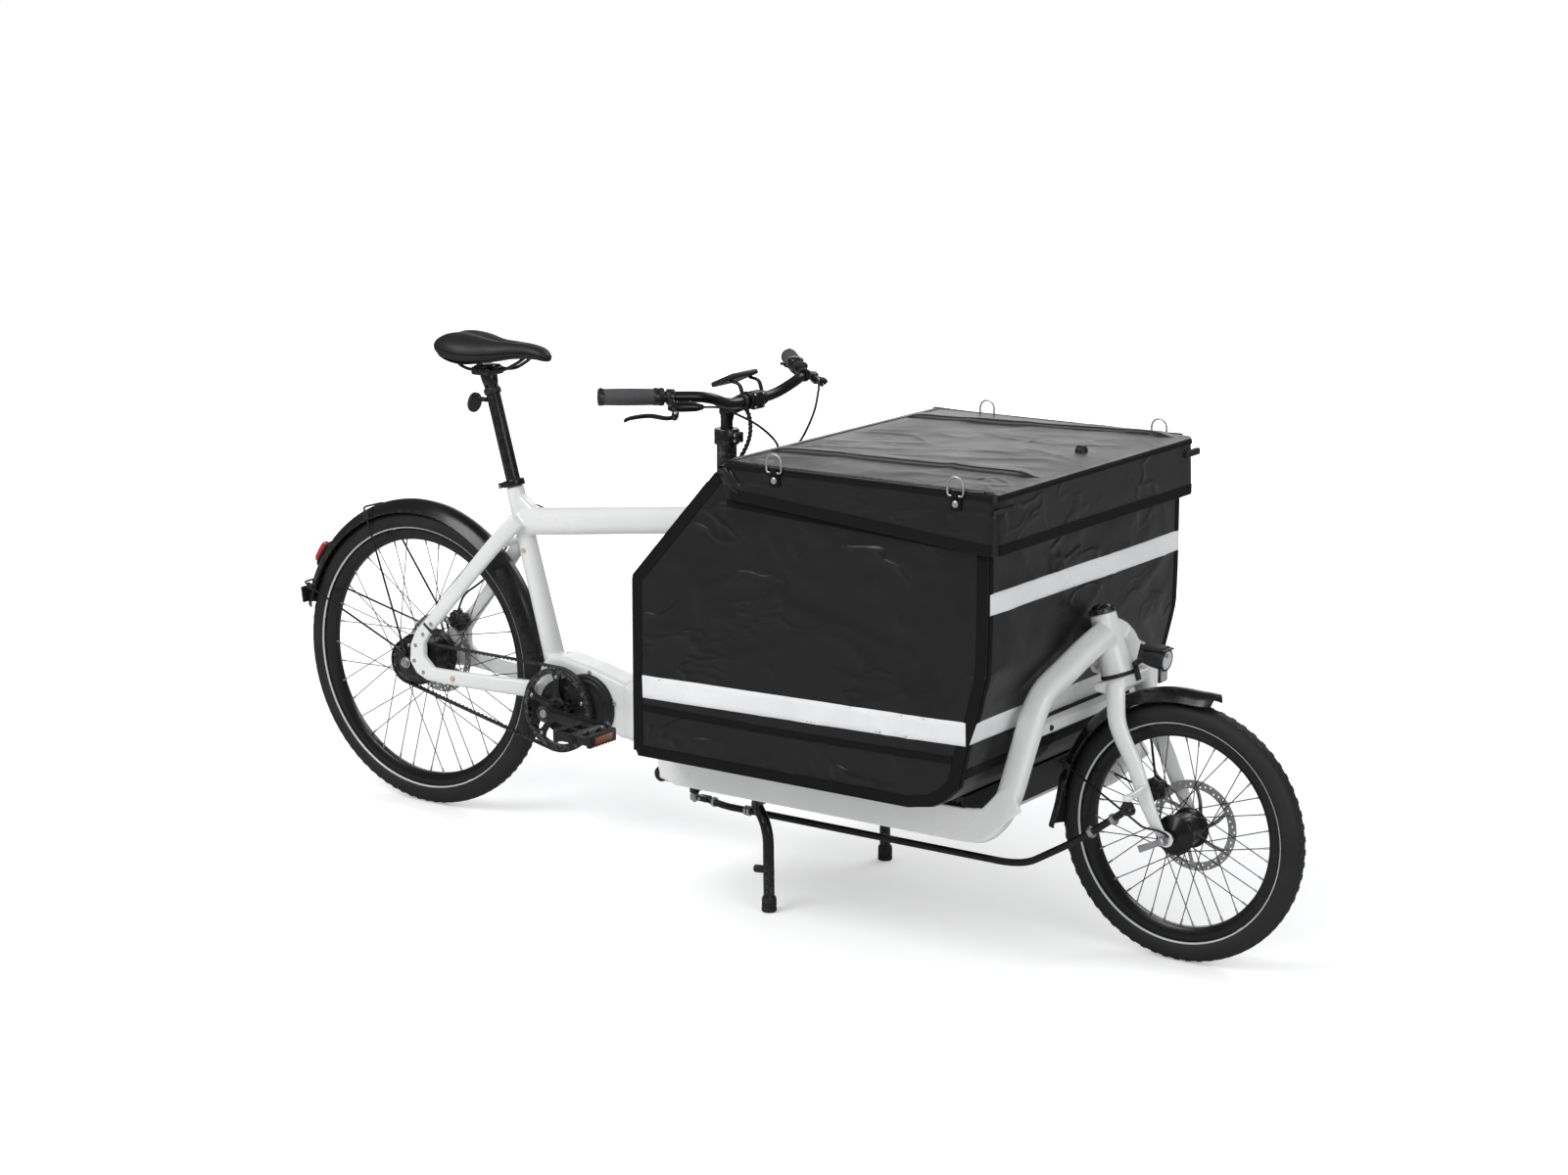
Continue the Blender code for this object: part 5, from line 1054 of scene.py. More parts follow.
    def front_parts(self) -> list[bpy.types.Object]:
        """Make both risers, the head tube, the cross bar and the gusset."""
        route = [(0.6003, 0.23, 0.2495), (0.612, 0.23, 0.2495), (0.638, 0.23, 0.256),
            (0.666, 0.227, 0.285), (0.689, 0.226, 0.335), (0.7085, 0.225, 0.402),
            (0.7228, 0.219, 0.46), (0.729, 0.207, 0.5), (0.7335, 0.179, 0.53), (0.74, 0.12, 0.556),
            (0.756, 0.065, 0.59), (0.769, 0.02, 0.613)]
        widths = [0.0165, 0.0165, 0.0165, 0.0178, 0.0193, 0.0198, 0.0203, 0.0208, 0.0218, 0.0223,
            0.0223, 0.0213]
        heights = [0.0165, 0.0168, 0.0192, 0.0218] + [0.0238] * 8
        lean = Vector((-1.0, 0.0, 0.35)).normalized()
        parts = []
        for side in (-1.0, 1.0):
            corners = [station(x, side * y, z) for x, y, z in route]
            packed = [Vector((a, b, 0.0)) for a, b in zip(widths, heights)]
            path = curve_through(corners, 5)
            sizes = [(size.x, size.y) for size in curve_through(packed, 5)]
            parts.append(sweep("riser", path, sizes, 32, lean, 0.6))
            parts.append(self.side_face(side, [(0.598, 0.3), (0.598, 0.2328), (0.6375, 0.2368),
                (0.7255, 0.312), (0.715, 0.33), (0.69, 0.355), (0.674, 0.343), (0.64, 0.306)]))
        way = (HEAD_LOW - HEAD_TOP).normalized()
        length = (HEAD_LOW - HEAD_TOP).length
        parts.append(turned("head", [(0.0, 0.0), (0.0255, 0.0), (0.027, length * 0.4),
            (0.033, length), (0.0, length)], HEAD_TOP, way, 40))
        parts.append(block("cross_bar", station(0.6945, 0.0, 0.4408), (0.0262, 0.42, 0.0237),
            0.002))
        gusset = [(0.762, 0.6), (0.744, 0.578), (0.7247, 0.542), (0.733, 0.529), (0.7543, 0.528),
            (0.772, 0.545)]
        placed = [(x + STATION_TO_WORLD.x, z) for x, z in gusset]
        parts.append(plate("gusset", placed, -0.008, 0.008))
        return parts

    def build_joint_rings(self) -> None:
        """Build the headset rings, the column bearings and the seat collar."""
        way = (HEAD_LOW - HEAD_TOP).normalized()
        cap = turned("headset_cap", [(0.0, -0.017), (0.013, -0.017), (0.017, -0.015),
            (0.02, -0.0105), (0.0262, -0.0085), (0.0262, -0.001), (0.0, -0.001)], HEAD_TOP, way,
            40)
        bolt = socket_bolt("bolt", HEAD_TOP - way * 0.0165, -way, 0.005, 0.003)
        fit_out(shade(join("front_headset_cap", [cap, bolt])), SATIN_BLACK, "frame", "black_metal")
        length = (HEAD_LOW - HEAD_TOP).length
        seal = turned("front_headset_seal", [(0.0, length - 0.006), (0.0334, length - 0.006),
            (0.034, length - 0.004), (0.034, length + 0.0006), (0.0, length + 0.0006)], HEAD_TOP,
            way, 40)
        fit_out(shade(seal), RUBBER, "frame", "rubber")
        rings = []
        for z in (self.housing_low - 0.003, self.housing_top - 0.006):
            low = Vector((COLUMN_X, 0.0, z))
            rings.append(turned("ring", [(0.0188, 0.0), (0.0258, 0.0), (0.0264, 0.001),
                (0.0264, 0.006), (0.025, 0.007), (0.0188, 0.007)], low, Z_AXIS, 40, True))
        fit_out(shade(join("column_bearing_rings", rings)), SATIN_BLACK, "frame", "black_metal")
        self.build_seat_collar()

    def build_seat_collar(self) -> None:
        """Build the clamp ring at the top of the seat tube, with its lugs and bolt."""
        up = (SEAT_TOP - SEAT_LOW).normalized()
        base = SEAT_TOP + up * 0.0003
        ring = turned("ring", [(0.016, 0.0), (0.0205, 0.0), (0.0228, 0.0012), (0.0232, 0.003),
            (0.0232, 0.012), (0.0228, 0.0138), (0.0215, 0.015), (0.016, 0.015)], base, up, 40,
            True)
        middle = base + up * 0.0075
        lean = Matrix.Rotation(math.radians(-15.8), 4, "Y")
        lugs = [block("lug", middle + Vector((-0.027, side * 0.0065, -0.0075)),
            (0.017, 0.0075, 0.012), 0.0015, lean) for side in (-1.0, 1.0)]
        bolt = cylinder("bolt", middle + Vector((-0.03, -0.0135, -0.0085)),
            middle + Vector((-0.03, 0.0135, -0.0085)), 0.003, 16, 0.0004)
        piece = join("seat_collar_ring", [ring, *lugs])
        fit_out(shade(piece), SATIN_BLACK, "frame", "black_metal", ["seat_collar"])
        fit_out(shade(join("seat_collar_bolt", [bolt])), BRIGHT, "frame", "bright_steel")

    def build_covers(self) -> None:
        """Build the small round covers, cable ports and frame bolts."""
        discs = []
        for place, way in ((station(-0.79, -0.079, 0.312), -Y_AXIS),
                (station(-0.635, -0.02, 0.601), -Y_AXIS)):
            discs.append(turned("disc", [(0.0, 0.0018), (0.0052, 0.0016), (0.006, 0.0),
                (0.0, 0.0)], place, way, 20))
        fit_out(shade(join("round_covers", discs)), CREAM, "frame", "white_paint")
        bolts = [socket_bolt("bolt", station(-0.386, -0.0358, 0.309), -Y_AXIS, 0.0055, 0.004),
            socket_bolt("bolt", station(-0.56, -0.035, 0.364), -Y_AXIS, 0.0055, 0.004),
            socket_bolt("bolt", station(-0.45, -0.035, 0.366), -Y_AXIS, 0.0045, 0.004)]
        bolts += [mirrored("bolt", bolt) for bolt in list(bolts)]
        fit_out(shade(join("motor_mount_bolts", bolts)), BRIGHT, "frame", "bright_steel")


@dataclass
class Wheel:
    """One spoked wheel with tyre, rim, hub, rotor and its small parts."""

    prefix: str
    body: str
    axle: Vector
    radius: float
    hub_profile: Sequence[Point]
    flange_radius: float
    flange_y: tuple[float, float]
    rotor_y: float
    rotor_radius: float = 0.088
    section: float = 0.0235
    spoke_count: int = 36
    rim_drop: float = 0.0415

    def build(self) -> None:
        """Build and dress every piece of the wheel."""
        self.build_tyre()
        self.build_rim()
        self.build_hub()
        self.build_spokes()
        self.build_rotor()

    def build_tyre(self) -> None:
        """Build the tyre with a shallow tread and its reflective rings."""
        middle = self.radius - self.section
        profile = []
        for i in range(33):
            turn = math.radians(-128.0 + 256.0 * i / 32)
            profile.append((middle + self.section * math.cos(turn), self.section * math.sin(turn)))
        profile += [(self.radius - self.rim_drop + 0.0008, 0.0125),
            (self.radius - self.rim_drop + 0.0008, -0.0125)]
        tyre = turned("tyre", profile, self.axle, Y_AXIS, 128, True)
        blocks = [tyre]
        rows = ((-0.0075, 0.0035, 0.0), (0.0, 0.003, 0.5), (0.0075, 0.0035, 0.0))
        count = 84 if self.radius > 0.3 else 64
        for y, half, phase in rows:
            out = math.sqrt(self.section ** 2 - y ** 2) + middle - 0.0003
            for k in range(count):
                turn = 2.0 * math.pi * (k + phase) / count
                blocks.append(self.tread_block(turn, out, y, half))
        piece = join(self.prefix + "_tyre_tread", blocks)
        fit_out(shade(piece, 40.0), TYRE_RUBBER, self.body, "rubber", [self.prefix + "_tyre"])
        self.build_reflective_ring(middle)

    def tread_block(self, turn: float, out: float, y: float, half: float) -> bpy.types.Object:
        """Make one low tread block at an angle round the tyre."""
        name = "tread_block"
        mesh = bpy.data.meshes.get(name)
        if mesh is None:
            deselect_all()
            bpy.ops.mesh.primitive_cube_add(size=1.0)
            model = take_new(name)
            model.data.transform(Matrix.Diagonal((0.0009, 1.0, 0.011, 1.0)))
            mesh = model.data.copy()
            mesh.name = name
            bpy.data.objects.remove(model, do_unlink=True)
        copy = mesh.copy()
        copy.transform(Matrix.Diagonal((1.0, half * 2.0, 1.0, 1.0)))
        copy.transform(Matrix.Translation((out - 0.0001, y, 0.0)))
        copy.transform(Matrix.Rotation(-turn, 4, "Y"))
        copy.transform(Matrix.Translation(self.axle))
        piece = bpy.data.objects.new(name, copy)
        bpy.context.scene.collection.objects.link(piece)
        return piece

    def build_reflective_ring(self, middle: float) -> None:
        """Build the thin pale ring on each side wall of the tyre."""
        ring_radius = self.radius - 0.0385
        rings = []
        for side in (-1.0, 1.0):
            points = []
            for offset in (-0.0014, 0.0014):
                r = ring_radius + offset
                y = math.sqrt(max(self.section ** 2 - (r - middle) ** 2, 0.0))
                points.append((r, side * (y + 0.0002)))
                points.append((r, side * (y - 0.0008)))
            order = [points[0], points[2], points[3], points[1]]
            rings.append(turned("ring", order, self.axle, Y_AXIS, 128, True))
        fit_out(shade(join(self.prefix + "_tyre_ring", rings)), RIM_TAPE, self.body, "rubber")

    def build_rim(self) -> None:
        """Build the box-section rim with rolled edges."""
        top = self.radius - self.rim_drop
        low = top - 0.025
        profile = [(top - 0.001, -0.0135), (top + 0.0002, -0.013), (top + 0.0002, 0.013),
            (top - 0.001, 0.0135), (top - 0.01, 0.0132), (top - 0.0135, 0.0122),
            (low + 0.004, 0.0096), (low + 0.0006, 0.007), (low, 0.005), (low, -0.005),
            (low + 0.0006, -0.007), (low + 0.004, -0.0096), (top - 0.0135, -0.0122),
            (top - 0.01, -0.0132)]
        rim = turned(self.prefix + "_wheel_rim", profile, self.axle, Y_AXIS, 128, True)
        fit_out(shade(rim, 25.0), SATIN_BLACK, self.body, "black_metal", [self.prefix + "_rim"])

    def build_hub(self) -> None:
        """Build the hub shell with rounded flanges."""
        hub = turned(self.prefix + "_hub_shell", self.hub_profile, self.axle, Y_AXIS, 56, True)
        bevel(hub, 0.001, 2, 25.0)
        fit_out(shade(hub, 25.0), SATIN_BLACK, self.body, "black_metal", [self.prefix + "_hub"])

    def build_spokes(self) -> None:
        """Build the crossed spokes and their nipples."""
        low = self.radius - self.rim_drop - 0.025
        wires, nipples = [], []
        for i in range(self.spoke_count):
            side = 1.0 if i % 2 else -1.0
            lead = 1.0 if (i // 2) % 2 else -1.0
            rim_turn = 2.0 * math.pi * i / self.spoke_count
            hub_turn = rim_turn + lead * math.radians(58.0)
            flange = self.flange_y[0] if side < 0 else self.flange_y[1]
            out = self.flange_radius - 0.0045
            start = self.axle + Vector((math.cos(hub_turn) * out, flange + side * lead * 0.0022,
                math.sin(hub_turn) * out))
            end = self.axle + Vector((math.cos(rim_turn) * low, side * 0.004,
                math.sin(rim_turn) * low))
            wires.append(cylinder("wire", start, end, 0.001, 8))
            back = (start - end).normalized()
            nipples.append(cylinder("nipple", end - back * 0.001, end + back * 0.011, 0.002, 8))
        fit_out(shade(join(self.prefix + "_spokes", wires)), SATIN_BLACK, self.body, "black_metal")
        fit_out(shade(join(self.prefix + "_nipples", nipples)), BRIGHT, self.body, "bright_steel")

    def build_rotor(self) -> None:
        """Build the drilled brake rotor, its carrier and its six bolts."""
        y = self.rotor_y
        out = self.rotor_radius
        ring = turned("ring", [(out - 0.0165, y - 0.0009), (out - 0.0004, y - 0.0009),
            (out, y - 0.0005), (out, y + 0.0005), (out - 0.0004, y + 0.0009),
            (out - 0.0165, y + 0.0009)], self.axle, Y_AXIS, 96, True)
        drills = []
        for k in range(48):
            turn = 2.0 * math.pi * k / 48
            r = out - (0.0045, 0.008, 0.0115)[k % 3]
            centre = self.axle + Vector((math.cos(turn) * r, y, math.sin(turn) * r))
            drills.append(cylinder("drill", centre - Y_AXIS * 0.004, centre + Y_AXIS * 0.004,
                0.002, 10))
        boolean(ring, join("drills", drills), "DIFFERENCE")
        arms = [ring]
        for k in range(6):
            turn = math.radians(60.0 * k)
            lean = turn + math.radians(28.0)
            middle = turn + math.radians(17.0)
            path = [self.axle + Vector((math.cos(a) * r, y, math.sin(a) * r)) for a,
                r in ((turn, 0.023), (middle, 0.048), (lean, out - 0.014))]
            arms.append(sweep("arm", curve_through(path, 4), [(0.004, 0.0008)] * 9, 8, Y_AXIS,
                0.5))
        fit_out(shade(join(self.prefix + "_rotor_ring", arms)), BRIGHT, self.body, "bright_steel",
            [self.prefix + "_rotor"])
        carrier = [turned("carrier", [(0.014, y - 0.0014), (0.0275, y - 0.0014),
            (0.0285, y - 0.0006), (0.0285, y + 0.0006), (0.0275, y + 0.0014), (0.014, y + 0.0014)],
            self.axle, Y_AXIS, 40, True)]
        for k in range(6):
            turn = math.radians(60.0 * k + 30.0)
            seat = self.axle + Vector((math.cos(turn) * 0.022, y + 0.0012, math.sin(turn) * 0.022))
            carrier.append(socket_bolt("bolt", seat, Y_AXIS, 0.0034, 0.0022))
        fit_out(shade(join(self.prefix + "_rotor_carrier", carrier)), SATIN_BLACK, self.body,
            "black_metal")


@dataclass
class Mudguard:
    """A domed strip bent over a wheel.

    Attributes:
        name: the piece's name.
        node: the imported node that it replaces.
        body: the body that it rides on.
        centre: the wheel's centre.
        radii: (angle in degrees from straight ahead, outer radius) along the strip.
        half_width: half of the strip's width.
        drop: how far its edges fall below its crown.
        wall: its thickness.
        finish: its finish.
        slot: the record's material slot.
    """

    name: str
    node: str
    body: str
    centre: Vector
    radii: Sequence[tuple[float, float]]
    half_width: float = 0.031
    drop: float = 0.013
    wall: float = 0.0018
    finish: Finish = FENDER_BLACK
    slot: str = "black_plastic"

    def build(self) -> bpy.types.Object:
        """Build and dress the strip.

        Returns:
            The finished piece.
        """
        rings = []
        across = 10
        last = len(self.radii) - 1
        for index, (angle, radius) in enumerate(self.radii):
            turn = math.radians(angle)
            end = min(index, last - index)
            narrow = (0.8, 0.93, 0.985)[end] if end < 3 else 1.0
            ring = []
            for layer in (0, 1):
                order = range(across + 1) if layer == 0 else range(across, -1, -1)
                for i in order:
                    share = -1.0 + 2.0 * i / across
                    inner = self.wall if layer else 0.0
                    r = radius - self.drop * abs(share) ** 2.4 - inner
                    y = share * narrow * (self.half_width - inner)
                    ring.append(self.centre + Vector((r * math.cos(turn), y, r * math.sin(turn))))
            rings.append(ring)
        piece = shade(loft(self.name, rings), 40.0)
        return fit_out(piece, self.finish, self.body, self.slot, [self.node])


def wheel_point(centre: Vector, angle: float, radius: float, y: float) -> Vector:
    """Return a point round a wheel; the angle is in degrees from straight ahead."""
    turn = math.radians(angle)
    return centre + Vector((radius * math.cos(turn), y, radius * math.sin(turn)))


# ---------------------------------------------------------------- drive and rear end


@dataclass
class Drive:
    """Drive unit, toothed belt, belt wheels, cranks and pedals."""

    belt_y: float = -0.055
    belt_half: float = 0.0055
    ring_radius: float = 0.0872
    sprocket_radius: float = 0.0445
    belt_thickness: float = 0.0055
    crank_length: float = 0.175
    nose: Vector = field(default_factory=lambda: station(-0.455, 0.0, 0.292))

    def build(self) -> None:
        """Build and dress every piece of the drive."""
        self.build_motor()
        self.build_belt()
        self.build_chainring()
        self.build_sprocket()
        for side in (-1.0, 1.0):
            self.build_crank(side)
            self.build_pedal(side)

    def loop(self, rear_radius: float, front_radius: float, count: int, rear: Vector,
            front: Vector) -> list[Point]:
        """Return the side view of a line pulled round two circles."""
        dx, dz = front.x - rear.x, front.z - rear.z
        lean = math.atan2(dz, dx)
        spread = math.acos((rear_radius - front_radius) / math.hypot(dx, dz))
        outline = []
        for centre, radius, start, turn in ((front, front_radius, lean - spread, 2.0 * spread),
                (rear, rear_radius, lean + spread, 2.0 * math.pi - 2.0 * spread)):
            for i in range(count + 1):
                angle = start + turn * i / count
                outline.append((centre.x + radius * math.cos(angle),
                    centre.z + radius * math.sin(angle)))
        return outline

    def build_motor(self) -> None:
        """Build the drive unit's shell, its side covers and cover screws."""
        outline = self.loop(0.06, 0.07, 28, CRANK_CENTRE, self.nose)
        shell = bevel(plate("motor_shell", outline, -0.0445, 0.048), 0.006, 4, 40.0)
        fit_out(shade(shell, 40.0), MOULDED, "frame", "black_plastic", ["motor"])
        covers = []
        for side in (-1.0, 1.0):
            y = -0.044 if side < 0 else 0.0475
            for centre, radius in ((CRANK_CENTRE, 0.05), (self.nose, 0.06)):
                covers.append(turned("cover", [(0.0, 0.0026), (radius - 0.016, 0.0026),
                    (radius - 0.014, 0.0018), (radius - 0.012, 0.0018), (radius - 0.01, 0.0024),
                    (radius - 0.002, 0.002), (radius, 0.0), (0.0, 0.0)],
                    Vector((centre.x, y, centre.z)), Y_AXIS * side, 56))
            for angle in (20, 75, 130, 290, 340):
                place = wheel_point(self.nose, angle, 0.0545, y + side * 0.0018)
                covers.append(socket_bolt("screw", place, Y_AXIS * side, 0.0032, 0.0022))
        fit_out(shade(join("motor_covers", covers)), MOULDED, "frame", "black_plastic")

    def build_belt(self) -> None:
        """Build the belt with its teeth on the inner side."""
        inner_rear, inner_front = self.sprocket_radius + 0.0004, self.ring_radius + 0.0004
        grow = self.belt_thickness - 0.0026
        outline = self.loop(inner_rear + 0.0021, inner_front + 0.0021, 60, REAR_AXLE, CRANK_CENTRE)
        points = [Vector((x, 0.0, z)) for x, z in outline]
        points.append(points[0].copy())
        total = sum((b - a).length for a, b in zip(points, points[1:]))
        count = 4 * int(total / 0.011)
        rings = []
        walk, index, done = 0.0, 0, 0.0
        centre_y = self.belt_y
        for step in range(count):
            target = total * step / count
            while index < len(points) - 2 and done + (points[index + 1]
                    - points[index]).length < target:
                done += (points[index + 1] - points[index]).length
                index += 1
            stretch = points[index + 1] - points[index]
            walk = (target - done) / max(stretch.length, 1e-9)
            here = points[index].lerp(points[index + 1], walk)
            way = stretch.normalized()
            out = Vector((way.z, 0.0, -way.x))
            tooth = 0.0019 if step % 4 in (0, 1) else 0.0
            ring = []
            for y, lift in ((-1, -tooth), (-1, grow), (1, grow), (1, -tooth)):
                ring.append(here + out * lift + Y_AXIS * (centre_y + y * self.belt_half))
            rings.append(ring)
        belt = loft("toothed_belt", rings, closed=True)
        fit_out(shade(belt, 30.0), TYRE_RUBBER, "frame", "rubber", ["drive_belt"])

    def toothed_ring(self, name: str, centre: Vector, radius: float, inner: float, teeth: int,
            low: float, high: float) -> bpy.types.Object:
        """Make a belt wheel's toothed rim."""
        rings = []
        for k in range(teeth * 4):
            turn = 2.0 * math.pi * k / (teeth * 4)
            out = radius if k % 4 in (0, 1) else radius - 0.0024
            c, s = math.cos(turn), math.sin(turn)
            ring = [centre + Vector((c * r, y, s * r)) for r, y in ((out, low), (out, high),
                (inner, high), (inner, low))]
            rings.append(ring)
        return loft(name, rings, closed=True)

    def build_chainring(self) -> None:
        """Build the front belt wheel with five open arms, its guard and bolts."""
        low, high = self.belt_y - self.belt_half, self.belt_y + self.belt_half
        centre = CRANK_CENTRE
        radius = self.ring_radius
        parts = [self.toothed_ring("rim", centre, radius - 0.0002, radius - 0.011, 50,
            low + 0.0004, high - 0.0004)]
        parts.append(turned("guard", [(radius - 0.01, low - 0.0012),
            (radius + 0.0004, low - 0.0012), (radius + 0.0012, low - 0.0004),
            (radius + 0.0004, low + 0.0006), (radius - 0.01, low + 0.0006)], centre, Y_AXIS, 96,
            True))
        parts.append(turned("middle", [(0.0098, low), (0.025, low), (0.0262, low + 0.0014),
            (0.0262, low + 0.0056), (0.025, low + 0.007), (0.0098, low + 0.007)], centre, Y_AXIS,
            48, True))
        for k in range(5):
            turn = math.radians(18.0 + 72.0 * k)
            rotate = Matrix.Rotation(-turn, 4, "Y")
            outline = [(0.02, 0.0125), (0.042, 0.007), (0.062, 0.0072), (0.078, 0.015),
                (0.078, -0.015), (0.062, -0.0072), (0.042, -0.007), (0.02, -0.0125)]
            arm = bevel(plate("arm", outline, low + 0.0008, low + 0.0062), 0.0012, 2, 30.0)
            arm.data.transform(Matrix.Translation(centre) @ rotate)
            parts.append(arm)
        fit_out(shade(join("front_belt_wheel", parts), 30.0), SATIN_BLACK, "crank", "black_metal",
            ["chainring"])
        bolts = []
        for k in range(5):
            turn = math.radians(18.0 + 72.0 * k)
            seat = centre + Vector((math.cos(turn) * 0.07, low + 0.0006, math.sin(turn) * 0.07))
            bolts.append(socket_bolt("bolt", seat, -Y_AXIS, 0.0042, 0.0024))
        fit_out(shade(join("belt_wheel_bolts", bolts)), BRIGHT, "crank", "bright_steel")

    def build_sprocket(self) -> None:
        """Build the rear belt wheel with its windows and lock ring."""
        low, high = self.belt_y - self.belt_half, self.belt_y + self.belt_half
        radius = self.sprocket_radius
        rim = self.toothed_ring("rim", REAR_AXLE, radius - 0.0002, radius - 0.009, 24,
            low + 0.0004, high - 0.0004)
        disc = turned("disc", [(0.0058, low + 0.002), (0.017, low + 0.0014), (0.018, low + 0.0024),
            (radius - 0.006, low + 0.003), (radius - 0.006, low + 0.0062), (0.0058, low + 0.0062)],
            REAR_AXLE, Y_AXIS, 56, True)
        holes = []
        for k in range(8):
            place = wheel_point(REAR_AXLE, 45.0 * k, 0.0265, self.belt_y)
            holes.append(cylinder("hole", place - Y_AXIS * 0.02, place + Y_AXIS * 0.02, 0.0055,
                16))
        boolean(disc, join("holes", holes), "DIFFERENCE")
        fit_out(shade(join("rear_belt_wheel", [rim, disc]), 30.0), SATIN_BLACK, "sprocket",
            "black_metal", ["rear_sprocket"])

    def build_crank(self, side: float) -> None:
        """Build one crank arm with its boss, cap and pedal axle."""
        label = "right" if side < 0 else "left"
        centre = CRANK_CENTRE
        ahead = -side
        tip = centre + Vector((ahead * self.crank_length, 0.0, 0.0))
        inner = -0.0608 if side < 0 else 0.084
        boss = turned("boss", [(0.0, 0.0), (0.0185, 0.0), (0.0195, 0.0015),
            (0.0195, abs(side * 0.1035 - inner) - 0.002), (0.018, abs(side * 0.104 - inner)),
            (0.0, abs(side * 0.104 - inner))], Vector((centre.x, inner, centre.z)), Y_AXIS * side,
            36)
        corners = [centre + Vector((ahead * a, side * b, 0.0)) for a,
            b in ((0.0, 0.0955), (0.04, 0.099), (0.11, 0.113), (self.crank_length, 0.12))]
        path = curve_through(corners, 6)
        shares = [i / (len(path) - 1) for i in range(len(path))]
        sizes = [(0.0085 - 0.002 * t, 0.016 - 0.006 * t + 0.003 * t ** 6) for t in shares]
        arm = sweep("arm", path, sizes, 24, Z_AXIS, 0.75)
        knob = cylinder("tip", tip + Y_AXIS * side * 0.113, tip + Y_AXIS * side * 0.127, 0.014, 28,
            0.0015)
        piece = join("crank_arm_" + label, [boss, arm, knob])
        fit_out(shade(piece, 45.0), SATIN_BLACK, "crank", "black_metal", ["crank_" + label])
        axle = cylinder("axle", tip + Y_AXIS * side * 0.12, tip + Y_AXIS * side * 0.23, 0.0058, 20,
            0.0005)
        flats = hex_nut("flats", tip + Y_AXIS * side * 0.1272, tip + Y_AXIS * side * 0.136, 0.0085)
        bolt = socket_bolt("bolt", centre + Y_AXIS * side * 0.104, Y_AXIS * side, 0.009, 0.003)
        fit_out(shade(join("pedal_axle_" + label, [axle, flats, bolt])), BRIGHT, "crank",
            "bright_steel")

    def build_pedal(self, side: float) -> None:
        """Build one platform pedal with gripped treads and its reflectors."""
        label = "right" if side < 0 else "left"
        body = "pedal_" + label
        x = CRANK_CENTRE.x - side * self.crank_length
        z = CRANK_CENTRE.z
        middle = side * 0.186
        parts = [cylinder("barrel", Vector((x, side * 0.1405, z)), Vector((x, side * 0.2315, z)),
            0.0118, 28, 0.0015)]
        parts.append(cylinder("cap", Vector((x, side * 0.2315, z)), Vector((x, side * 0.2345, z)),
            0.008, 20, 0.001))
        for dx in (-0.043, 0.043):
            parts.append(block("tread", Vector((x + dx, middle, z)), (0.012, 0.088, 0.025),
                0.0035))
            for k in range(9):
                for rise in (-1.0, 1.0):
                    place = Vector((x + dx, middle - 0.04 + 0.01 * k, z + rise * 0.0125))
                    parts.append(block("rib", place, (0.011, 0.0036, 0.0022), 0.0006))
        for y in (side * 0.148, side * 0.224, middle):
            parts.append(block("web", Vector((x, y, z)), (0.086, 0.009, 0.019), 0.003))
        piece = join("pedal_platform_" + label, parts)
        fit_out(shade(piece, 40.0), MOULDED, body, "black_plastic", [body])
        lamps = []
        for ahead in (-1.0, 1.0):
            lamps.append(block("reflector", Vector((x + ahead * 0.0496, middle, z)),
                (0.0022, 0.056, 0.014), 0.0009))
        fit_out(shade(join("pedal_reflectors_" + label, lamps)), AMBER, body, "black_plastic")


